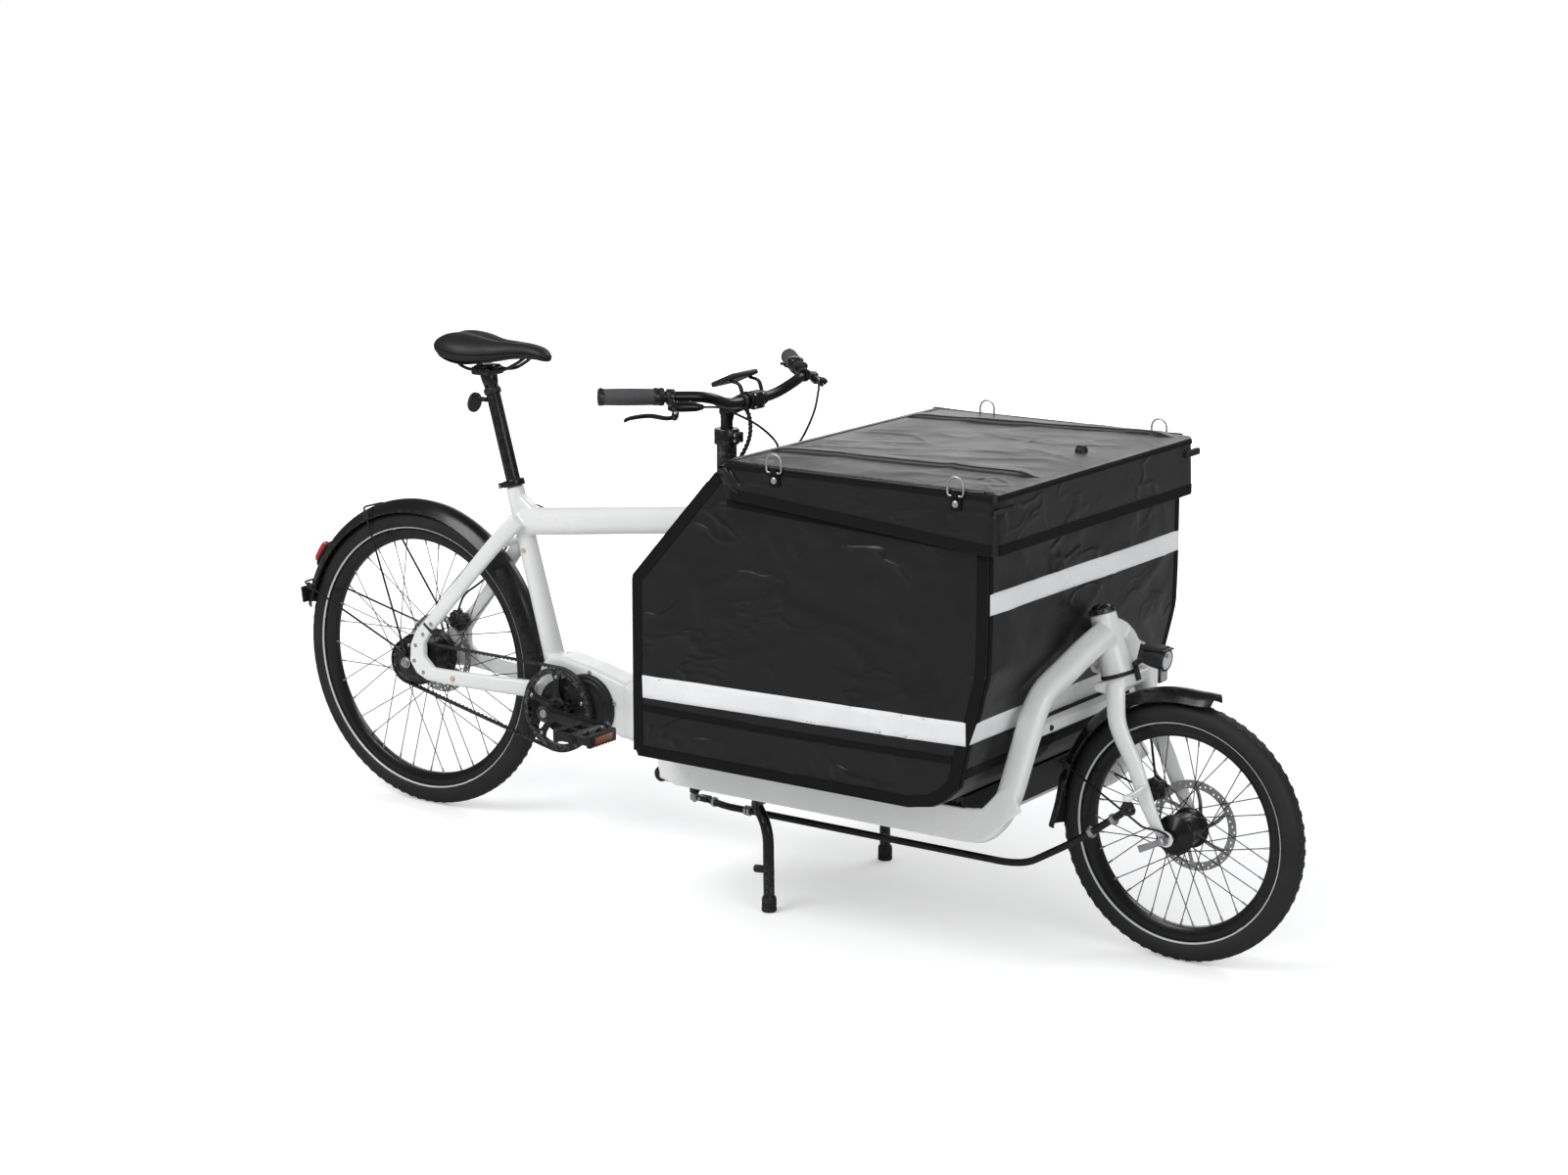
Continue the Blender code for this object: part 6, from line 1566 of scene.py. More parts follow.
@dataclass
class RearEnd:
    """Dropout insert, rear caliper, mudguard, wire stays, lamp and reflectors."""

    insert_y: float = -0.0667
    plate_y: float = -0.0832

    def build(self) -> None:
        """Build and dress every piece at the rear."""
        self.build_insert()
        self.build_caliper()
        self.build_mudguard()
        self.build_lamp()

    def build_insert(self) -> None:
        """Build the bolted dropout insert, the axle and its nuts."""
        outline = [(-0.909, 0.388), (-0.939, 0.37), (-0.955, 0.345), (-0.951, 0.308),
            (-0.917, 0.284), (-0.857, 0.296), (-0.856, 0.306), (-0.885, 0.318), (-0.888, 0.36),
            (-0.88, 0.38)]
        placed = [(x + STATION_TO_WORLD.x, z) for x, z in outline]
        near = self.insert_y
        insert = bevel(plate("insert", placed, near, near + 0.005), 0.0014, 2, 25.0)
        split = block("split", station(-0.8472, -0.0758, 0.4133), (0.0056, 0.019, 0.04), 0.0012,
            Matrix.Rotation(math.radians(-51.7), 4, "Y"))
        fit_out(shade(insert), SATIN_BLACK, "frame", "black_metal", ["rear_axle"])
        fit_out(shade(split), RUBBER, "frame", "rubber")
        bolts = []
        for x, z in ((-0.8434, 0.4258), (-0.8663, 0.4001), (-0.888, 0.373), (-0.8925, 0.3387),
                (-0.8675, 0.316)):
            bolts.append(socket_bolt("bolt", station(x, self.plate_y, z), -Y_AXIS, 0.0046, 0.0012))
        for x, z in ((-0.921, 0.366), (-0.936, 0.35)):
            bolts.append(socket_bolt("bolt", station(x, near, z), -Y_AXIS, 0.004, 0.0024))
        centre = REAR_AXLE
        bolts.append(cylinder("shaft", centre + Y_AXIS * -0.0786, centre + Y_AXIS * 0.098, 0.0048,
            20, 0.0006))
        for low, high in ((-0.076, -0.0682), (0.0832, 0.092)):
            bolts.append(hex_nut("nut", centre + Y_AXIS * low, centre + Y_AXIS * high, 0.0098))
            bolts.append(cylinder("washer", centre + Y_AXIS * (high if low < 0 else low),
                centre + Y_AXIS * ((high if low < 0 else low) + (0.0012 if low > 0 else -0.0012)),
                0.0125, 28, 0.0003))
        fit_out(shade(join("rear_axle_bolts", bolts)), BRIGHT, "frame", "bright_steel")

    def build_caliper(self) -> None:
        """Build the rear brake caliper from two bolted halves."""
        build_caliper_pieces("rear", "frame", station(-0.8728, 0.045, 0.4073), "rear_caliper",
            REAR_AXLE)

    def build_mudguard(self) -> None:
        """Build the rear mudguard, its wire stays and the stay clips."""
        radii = []
        for i in range(54):
            angle = 8.0 + 159.0 * i / 53
            widen = min(max((angle - 28.0) / 50.0, 0.0), 1.0)
            radii.append((angle, 0.3355 + 0.0135 * widen))
        Mudguard("rear_mudguard", "rear_fender", "frame", REAR_AXLE, radii, drop=0.025).build()
        over = 0.349 + 0.0028
        right, left = -0.0692, 0.0855
        wires = []
        for angle, knee_x, knee_z in ((114.0, -0.944, 0.386), (158.0, -0.966, 0.362)):
            route = [station(-0.93, right, 0.346), station(knee_x, right, knee_z),
                wheel_point(REAR_AXLE, angle, over - 0.03, -0.0355),
                wheel_point(REAR_AXLE, angle, over, -0.034), wheel_point(REAR_AXLE, angle, over,
                0.034), wheel_point(REAR_AXLE, angle, over - 0.03, 0.0355),
                station(knee_x, left, knee_z), station(-0.93, left, 0.346)]
            wires.append(tube("hoop", route, 0.0023, 12, 0.01, 5))
        fit_out(shade(join("rear_mudguard_stays", wires)), SATIN_BLACK, "frame", "black_metal",
            ["rear_fender_stays"])
        clips = []
        for angle in (114.0, 158.0):
            for side in (-1.0, 1.0):
                place = wheel_point(REAR_AXLE, angle, over - 0.02, side * 0.0345)
                clips.append(block("clip", place, (0.013, 0.007, 0.017), 0.0022,
                    Matrix.Rotation(-math.radians(angle - 90.0), 4, "Y")))
        for side in (-1.0, 1.0):
            y = right if side < 0 else left
            clips.append(block("foot", station(-0.932, y, 0.348), (0.011, 0.006, 0.015), 0.002))
        fit_out(shade(join("rear_stay_clips", clips)), MOULDED, "frame", "black_plastic")

    def build_lamp(self) -> None:
        """Build the capsule lamp, its housing and the reflector on the mudguard's tail."""
        path = [wheel_point(REAR_AXLE, 141.8 + 9.4 * i / 10, 0.359, 0.0) for i in range(11)]
        shares = [abs(2.0 * i / 10 - 1.0) for i in range(11)]
        sizes = [(0.0095 * (1.0 - t ** 6 * 0.75), 0.0098 * (1.0 - t ** 6 * 0.75)) for t in shares]
        lens = sweep("lamp_lens", path, sizes, 28, Y_AXIS, 0.85)
        fit_out(shade(subdivide_surface(lens), 60.0), RED_LENS, "frame", "red_lens",
            ["tail_light"])
        base = [wheel_point(REAR_AXLE, 140.8 + 11.4 * i / 10, 0.352, 0.0) for i in range(11)]
        sizes = [(0.012 * (1.0 - t ** 6 * 0.7), 0.0052 * (1.0 - t ** 6 * 0.6)) for t in shares]
        housing = sweep("lamp_housing", base, [(b, a) for a, b in sizes], 24, Y_AXIS, 0.8)
        fit_out(shade(housing, 60.0), MOULDED, "frame", "black_plastic")
        place = wheel_point(REAR_AXLE, 163.0, 0.349, 0.0)
        turn = Matrix.Rotation(math.radians(-8.0), 4, "Y")
        plate_piece = block("rear_reflector", place + Vector((-0.005, 0.0, -0.002)),
            (0.005, 0.056, 0.03), 0.0022, turn)
        fit_out(shade(plate_piece, 50.0), RED_LENS, "frame", "red_lens")
        frame_piece = block("rear_reflector_frame", place + Vector((-0.0022, 0.0, -0.0016)),
            (0.005, 0.062, 0.036), 0.0024, turn)
        fit_out(shade(frame_piece, 50.0), MOULDED, "frame", "black_plastic")


def build_caliper_pieces(prefix: str, body: str, centre: Vector, node: str, axle: Vector) -> None:
    """Build one brake caliper: two halves, pistons, bolts, hose banjo and its ear.

    Args:
        prefix: front or rear, for the pieces' names.
        body: the body that it rides on.
        centre: the middle of the caliper, in the plane of the rotor.
        node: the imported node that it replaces.
        axle: the wheel's centre, which the caliper faces.
    """
    way = Vector((centre.x - axle.x, 0.0, centre.z - axle.z)).normalized()
    turn = Matrix.Rotation(math.atan2(way.x, way.z), 4, "Y")
    halves = []
    for side in (-1.0, 1.0):
        half = block("half", Vector((0.0, side * 0.0072, 0.0)), (0.04, 0.0092, 0.032), 0.0028)
        piston = cylinder("piston", Vector((0.0, side * 0.01, -0.002)),
            Vector((0.0, side * 0.0148, -0.002)), 0.012, 28, 0.0015)
        halves += [half, piston]
    bridge = block("bridge", Vector((0.0, 0.0, 0.0115)), (0.03, 0.016, 0.008), 0.002)
    ear = copy_node("ear", node, 30.0)
    body_piece = join("halves", [*halves, bridge])
    body_piece.data.transform(Matrix.Translation(centre) @ turn)
    fit_out(shade(join(prefix + "_brake_caliper", [body_piece, ear]), 35.0), SATIN_BLACK, body,
        "black_metal", [node])
    bolts = []
    for x in (-0.015, 0.015):
        bolt = socket_bolt("bolt", Vector((x, 0.0122, 0.01)), Y_AXIS, 0.0036, 0.003)
        bolts.append(bolt)
    banjo = cylinder("banjo", Vector((-0.012, 0.006, 0.014)), Vector((-0.012, 0.006, 0.021)),
        0.004, 16, 0.0008)
    screws = join("screws", [*bolts, banjo])
    screws.data.transform(Matrix.Translation(centre) @ turn)
    fit_out(shade(join(prefix + "_caliper_bolts", [screws])), BRIGHT, body, "bright_steel")


# ---------------------------------------------------------------- front end and bay


@dataclass
class FrontEnd:
    """Fork, axle, front caliper, mudguard, flap, stays and headlamp."""

    def build(self) -> None:
        """Build and dress every piece on the fork."""
        self.build_fork()
        self.build_axle()
        build_caliper_pieces("front", "fork", station(0.845, 0.048, 0.308), "front_caliper",
            FRONT_AXLE)
        self.build_mudguard()
        self.build_headlamp()

    def head_point(self, down: float, ahead: float, y: float = 0.0) -> Vector:
        """Return a point measured from the foot of the head tube along its axis."""
        axis = (HEAD_LOW - HEAD_TOP).normalized()
        forward = Vector((-axis.z, 0.0, axis.x))
        point = HEAD_LOW + axis * down + forward * ahead
        return Vector((point.x, y, point.z))

    def build_fork(self) -> None:
        """Build the crown, both curved legs, the dropouts and the steering arm."""
        crown = [self.head_point(a, b) for a, b in ((0.001, -0.03), (0.001, 0.038), (0.02, 0.038),
            (0.0245, 0.031), (0.0245, -0.01), (0.016, -0.03))]
        outline = [(p.x, p.z) for p in crown]
        parts = [bevel(plate("crown", outline, -0.052, 0.052), 0.006, 3, 30.0)]
        parts.append(cylinder("steerer", self.head_point(0.015, 0.0), self.head_point(-0.01, 0.0),
            0.02, 28))
        route = [(0.806, 0.044, 0.526), (0.812, 0.054, 0.495), (0.818, 0.059, 0.46),
            (0.8316, 0.06, 0.4275), (0.856, 0.061, 0.385), (0.874, 0.063, 0.345),
            (0.89, 0.065, 0.31), (0.91, 0.0655, 0.272), (0.92, 0.0655, 0.26)]
        sizes = [(0.0135, 0.019), (0.0134, 0.0188), (0.0129, 0.0183), (0.0124, 0.0175),
            (0.0116, 0.0168), (0.0108, 0.0158), (0.0098, 0.0148), (0.0058, 0.0123), (0.0042, 0.01)]
        packed = [Vector((a, b, 0.0)) for a, b in sizes]
        for side in (-1.0, 1.0):
            path = curve_through([station(x, side * y, z) for x, y, z in route], 6)
            smooth = [(size.x, size.y) for size in curve_through(packed, 6)]
            parts.append(sweep("leg", path, smooth, 28, X_AXIS))
            parts.append(cylinder("eye", FRONT_AXLE + Y_AXIS * side * 0.0615,
                FRONT_AXLE + Y_AXIS * side * 0.0695, 0.015, 32))
        arm = [station(0.883, -0.064, 0.342), station(0.886, -0.1, 0.34),
            station(0.8888, -0.14, 0.34)]
        parts.append(tube("arm", arm, 0.0072, 20))
        parts.append(cylinder("boss", station(0.8888, -0.14, 0.346), station(0.8888, -0.14, 0.335),
            0.0095, 24))
        piece = weld_smooth(join("painted_fork", parts), 0.0023, 5)
        fit_out(piece, PAINT, "fork", "white_paint", ["fork"])
        race = turned("fork_crown_race", [(0.0, 0.0004), (0.03, 0.0004), (0.03, 0.003),
            (0.0285, 0.0048), (0.0, 0.0048)], HEAD_LOW, (HEAD_LOW - HEAD_TOP), 40)
        fit_out(shade(race), SATIN_BLACK, "fork", "black_metal")

    def build_axle(self) -> None:
        """Build the front axle nuts, the quick release's cam and its lever."""
        nuts = [cylinder("shaft", FRONT_AXLE - Y_AXIS * 0.0755, FRONT_AXLE + Y_AXIS * 0.078,
            0.0048, 20)]
        for low, high in ((-0.076, -0.07), (0.07, 0.079)):
            nuts.append(turned("nut", [(0.0, 0.0), (0.0092, 0.0), (0.0098, 0.0012),
                (0.0098, high - low - 0.0016), (0.008, high - low), (0.0, high - low)],
                FRONT_AXLE + Y_AXIS * low, Y_AXIS, 28))
        fit_out(shade(join("front_axle_nuts", nuts)), BRIGHT, "fork", "bright_steel",
            ["front_axle"])
        centre = FRONT_AXLE + Vector((0.0, -0.0838, 0.0))
        way = Vector((-0.904, 0.0, -0.427)).normalized()
        cam_axis = Vector((-way.z, 0.0, way.x)).normalized()
        cam = cylinder("cam", centre - cam_axis * 0.007, centre + cam_axis * 0.007, 0.0074, 28,
            0.0012)
        path = curve_through([centre, centre + way * 0.015, centre + way * 0.032
            + Vector((0.0, -0.003, 0.0)), centre + way * 0.048 + Vector((0.0, -0.004, 0.0))], 5)
        count = len(path)
        sizes = [(0.006 + 0.0012 * (i / count) ** 2, 0.0034 - 0.001 * i / count)
            for i in range(count)]
        blade = sweep("blade", path, sizes, 20, Y_AXIS, 0.8)
        fit_out(shade(join("quick_release_lever", [cam, blade]), 50.0), BRIGHT, "release_lever",
            "bright_steel", ["release_lever"])

    def build_mudguard(self) -> None:
        """Build the front mudguard with its raised nose, the flap and the wire hoop."""
        radii = []
        for i in range(44):
            angle = 76.0 + 96.0 * i / 43
            close = min(max((angle - 112.0) / 58.0, 0.0), 1.0)
            kick = max((84.0 - angle) / 8.0, 0.0)
            radii.append((angle, 0.2765 - 0.0115 * close + 0.006 * kick))
        Mudguard("front_mudguard", "front_fender", "fork", FRONT_AXLE, radii, drop=0.0215).build()
        knots = [(164.0, 0.2696), (168.0, 0.2686), (172.0, 0.2684), (176.0, 0.27), (180.0, 0.274),
            (184.0, 0.28), (187.0, 0.286)]
        fine = [(p.x, p.y) for p in curve_through([Vector((a, b, 0.0)) for a, b in knots], 4)]
        Mudguard("front_flap", "front_mudflap", "fork", FRONT_AXLE, fine, 0.0345, 0.0215, 0.0026,
            RUBBER, "rubber").build()
        seat, over = 0.072, 0.268 + 0.0028
        half = [wheel_point(FRONT_AXLE, 35.0, 0.0125, seat), wheel_point(FRONT_AXLE, 75.0, 0.0135,
            seat), wheel_point(FRONT_AXLE, 120.0, 0.022, seat + 0.0055),
            wheel_point(FRONT_AXLE, 155.0, 0.045, seat + 0.0055),
            wheel_point(FRONT_AXLE, 157.0, over - 0.03, 0.0355),
            wheel_point(FRONT_AXLE, 157.0, over, 0.034)]
        route = [Vector((p.x, -p.y, p.z)) for p in half] + list(reversed(half))
        hoop = tube("hoop", route, 0.0022, 12, 0.008, 5)
        fit_out(shade(hoop), SATIN_BLACK, "fork", "black_metal", ["front_fender_stays"])
        hoop.name = "front_mudguard_stays"
        clips = []
        for side in (-1.0, 1.0):
            place = wheel_point(FRONT_AXLE, 157.0, over - 0.019, side * 0.035)
            clips.append(block("clip", place, (0.013, 0.007, 0.016), 0.0022,
                Matrix.Rotation(-math.radians(70.0), 4, "Y")))
        place = wheel_point(FRONT_AXLE, 118.0, 0.279, 0.0)
        clips.append(block("bridge", place, (0.018, 0.018, 0.006), 0.0015,
            Matrix.Rotation(-math.radians(28.0), 4, "Y")))
        fit_out(shade(join("front_stay_clips", clips)), MOULDED, "fork", "black_plastic")

    def build_headlamp(self) -> None:
        """Build the headlamp's shell, bezel, reflector bowl, lens and bracket."""
        start = station(0.834, 0.0, 0.578)
        way = Vector((0.996, 0.0, -0.087))
        shell = turned("shell", [(0.0, 0.0), (0.0085, 0.0004), (0.013, 0.0025), (0.0158, 0.008),
            (0.018, 0.017), (0.0194, 0.026), (0.02, 0.038), (0.0206, 0.044), (0.0206, 0.051),
            (0.0198, 0.053), (0.019, 0.053), (0.0186, 0.05), (0.0, 0.044)], start, way, 48)
        lid = block("lid", start + Vector((0.027, 0.0, 0.0165)), (0.048, 0.032, 0.007), 0.0025)
        visor = block("visor", start + Vector((0.053, 0.0, 0.0155)), (0.012, 0.038, 0.003), 0.0012,
            Matrix.Rotation(math.radians(8.0), 4, "Y"))
        holder = block("holder", station(0.879, 0.0, 0.545), (0.005, 0.03, 0.029), 0.0022)
        strap = plate("strap", [(p.x, p.z) for p in [self.head_point(a, b) for a,
            b in ((-0.02, 0.0383), (-0.02, 0.042), (0.016, 0.042), (0.016, 0.0383))]], -0.008,
            0.008)
        bevel(strap, 0.001)
        neck = tube("neck", [self.head_point(-0.016, 0.0405), station(0.844, 0.0, 0.574)], 0.0055,
            20)
        piece = join("headlamp_shell", [shell, lid, visor, holder, strap, neck])
        fit_out(shade(piece), MOULDED, "fork", "black_plastic", ["headlight"])
        facets = block("facets", station(0.8822, 0.0, 0.545), (0.0026, 0.024, 0.023), 0.0008)
        bowl = turned("bowl", [(0.0, 0.0508), (0.006, 0.051), (0.013, 0.0518), (0.0186, 0.053),
            (0.0188, 0.0534), (0.018, 0.0538), (0.0128, 0.0526), (0.0, 0.0516)], start, way, 48)
        lamp_eye = turned("lamp_eye", [(0.0, 0.0552), (0.003, 0.055), (0.0044, 0.0536),
            (0.0044, 0.051), (0.0, 0.051)], start + Z_AXIS * 0.008, way, 24)
        fit_out(shade(join("headlamp_bowl", [bowl, facets])), CHROME, "fork", "black_plastic")
        fit_out(shade(lamp_eye), MOULDED, "fork", "black_plastic")
        lens = turned("headlamp_lens", [(0.0, 0.0572), (0.008, 0.0569), (0.015, 0.056),
            (0.0182, 0.0546), (0.0186, 0.0536), (0.018, 0.0536), (0.0148, 0.055), (0.008, 0.056),
            (0.0, 0.0562)], start, way, 48)
        fit_out(shade(lens), CLEAR, "fork", "black_plastic")
        brow = turned("headlamp_bezel", [(0.0182, 0.05), (0.0208, 0.05), (0.0212, 0.0512),
            (0.0212, 0.0545), (0.0204, 0.0554), (0.019, 0.0554), (0.0184, 0.054)], start, way, 48,
            True)
        fit_out(shade(brow), MOULDED, "fork", "black_plastic")


@dataclass
class Bay:
    """Tray under the box, its perforated skirt, the two-leg stand and its feet."""

    half: float = 0.235
    low: float = 0.2663
    top: float = 0.3175
    rear: float = -0.083
    front: float = 0.59

    def build(self) -> None:
        """Build and dress the tray and the stand."""
        self.build_tray()
        self.build_stand()

    def perforated(self, name: str, x_low: float, x_high: float, z_low: float, z_high: float,
            y: float, columns: int, rows: int, share: float) -> bpy.types.Object:
        """Make an upright sheet with rows of round holes.

        Args:
            name: the new object's name.
            x_low: the sheet's rear edge.
            x_high: its front edge.
            z_low: its lower edge.
            z_high: its upper edge.
            y: its place across the bicycle.
            columns: the holes along the sheet.
            rows: the holes up the sheet.
            share: the hole's radius as a share of a cell.

        Returns:
            The new mesh object.
        """
        wide = (x_high - x_low) / columns
        tall = (z_high - z_low) / rows
        around = 12
        square, hole = [], []
        for k in range(around):
            turn = 2.0 * math.pi * (k + 0.5) / around
            c, s = math.cos(turn), math.sin(turn)
            reach = 0.5 / max(abs(c), abs(s))
            square.append(Vector((x_low + wide * (0.5 + c * reach), y,
                z_low + tall * (0.5 + s * reach))))
            radius = min(wide, tall) * share
            hole.append(Vector((x_low + wide * 0.5 + c * radius, y,
                z_low + tall * 0.5 + s * radius)))
        tile = loft(name, [square, hole], caps=False)
        for count, way in ((columns, (wide, 0.0, 0.0)), (rows, (0.0, 0.0, tall))):
            array = tile.modifiers.new("repeat", "ARRAY")
            array.count = count
            array.use_relative_offset = False
            array.use_constant_offset = True
            array.constant_offset_displace = way
            array.use_merge_vertices = True
            array.merge_threshold = 0.00005
            apply_modifier(tile, array)
        wall = tile.modifiers.new("wall", "SOLIDIFY")
        wall.thickness = 0.0014
        wall.offset = 0.0
        apply_modifier(tile, wall)
        return tile

    def build_tray(self) -> None:
        """Build the folded tray, its punched skirts and the channel behind them."""
        half, skin = self.half, 0.003
        x_low, x_high = (x + STATION_TO_WORLD.x for x in (self.rear, self.front))
        deck = plate("deck", [(-half, self.top), (half, self.top), (half, self.top - 0.01),
            (half - skin, self.top - 0.01), (half - skin, self.top - skin),
            (-half + skin, self.top - skin), (-half + skin, self.top - 0.01),
            (-half, self.top - 0.01)], x_low, x_high, X_AXIS)
        parts = [bevel(deck, 0.0008, 2, 40.0)]
        for side in (-1.0, 1.0):
            y = side * (half - skin / 2.0)
            parts.append(block("rim", Vector(((x_low + x_high) / 2.0, y, self.low + 0.0042)),
                (x_high - x_low, skin, 0.0084), 0.0008))
            sheet = self.perforated("sheet", x_low, x_high, self.low + 0.008, self.top - 0.009, y,
                62, 3, 0.29)
            parts.append(sheet)
            inner = side * (half - 0.016)
            parts.append(block("channel", Vector(((x_low + x_high) / 2.0, inner, 0.2905)),
                (x_high - x_low - 0.01, 0.002, 0.048), 0.0006))
        parts.append(block("board", station(0.593, 0.0, 0.2875), (0.007, 0.414, 0.06), 0.001))
        parts.append(block("board", station(0.593, 0.0, 0.2925), (0.0066, 0.476, 0.05), 0.001))
        fit_out(shade(join("bay_tray", parts), 30.0), MOULDED, "frame", "black_metal",
            ["bay_floor"])
        bolts = []
        for side in (-1.0, 1.0):
            for x in (-0.06, 0.16, 0.38, 0.57):
                bolts.append(socket_bolt("bolt", station(x, side * (half + 0.0001), 0.2705),
                    Y_AXIS * side, 0.0042, 0.0024))
        fit_out(shade(join("tray_bolts", bolts)), BRIGHT, "frame", "bright_steel")

    def build_stand(self) -> None:
        """Build the stand's bar and legs, its rubber feet, peg and springs."""
        half = [(0.06, 0.125, 0.2), (0.064, 0.16, 0.2), (0.095, 0.19, 0.196), (0.12, 0.206, 0.178),
            (0.129, 0.2085, 0.15), (0.131, 0.2085, 0.012)]
        route = [station(x, -y, z) for x, y, z in reversed(half)]
        route += [station(x, y, z) for x, y, z in half]
        legs = tube("stand_legs", route, 0.011, 28, 0.03, 7)
        peg = cylinder("peg", station(0.13, -0.2085, 0.085), station(0.098, -0.2085, 0.082), 0.006,
            20, 0.001)
        fit_out(shade(join("stand_legs", [legs, peg])), SATIN_BLACK, "stand", "black_metal",
            ["stand"])
        feet = []
        for side in (-1.0, 1.0):
            foot = turned("foot", [(0.0, 0.0), (0.0138, 0.0), (0.015, 0.0014), (0.015, 0.008),
                (0.0142, 0.009), (0.0142, 0.011), (0.0148, 0.012), (0.0146, 0.026), (0.0136, 0.03),
                (0.0, 0.03)], station(0.131, side * 0.2085, 0.0), Z_AXIS, 32)
            feet.append(foot)
        sleeve = cylinder("sleeve", station(0.124, -0.2085, 0.0845),
            station(0.0975, -0.2085, 0.082), 0.0078, 24, 0.0012)
        fit_out(shade(join("stand_feet", [*feet, sleeve])), RUBBER, "stand", "rubber")
        springs = []
        for side in (-1.0, 1.0):
            turns, length, radius = 13, 0.07, 0.0056
            start = station(0.07, side * 0.084, 0.205)
            way = Vector((0.93, 0.0, 0.26)).normalized()
            path = []
            for i in range(turns * 10):
                a = 2.0 * math.pi * i / 10
                path.append(start + way * (length * i / (turns * 10)) + Y_AXIS * radius
                    * math.cos(a) + way.cross(Y_AXIS) * radius * math.sin(a))
            springs.append(sweep("spring", path, [(0.001, 0.001)] * len(path), 6, way))
            end = start + way * length
            springs.append(cylinder("hook", end, station(0.145, side * 0.084, 0.238), 0.0012, 8))
            springs.append(cylinder("post", station(0.064, side * 0.076, 0.2035),
                station(0.064, side * 0.092, 0.2035), 0.0035, 16))
        fit_out(shade(join("stand_springs", springs)), BRIGHT, "frame", "bright_steel")


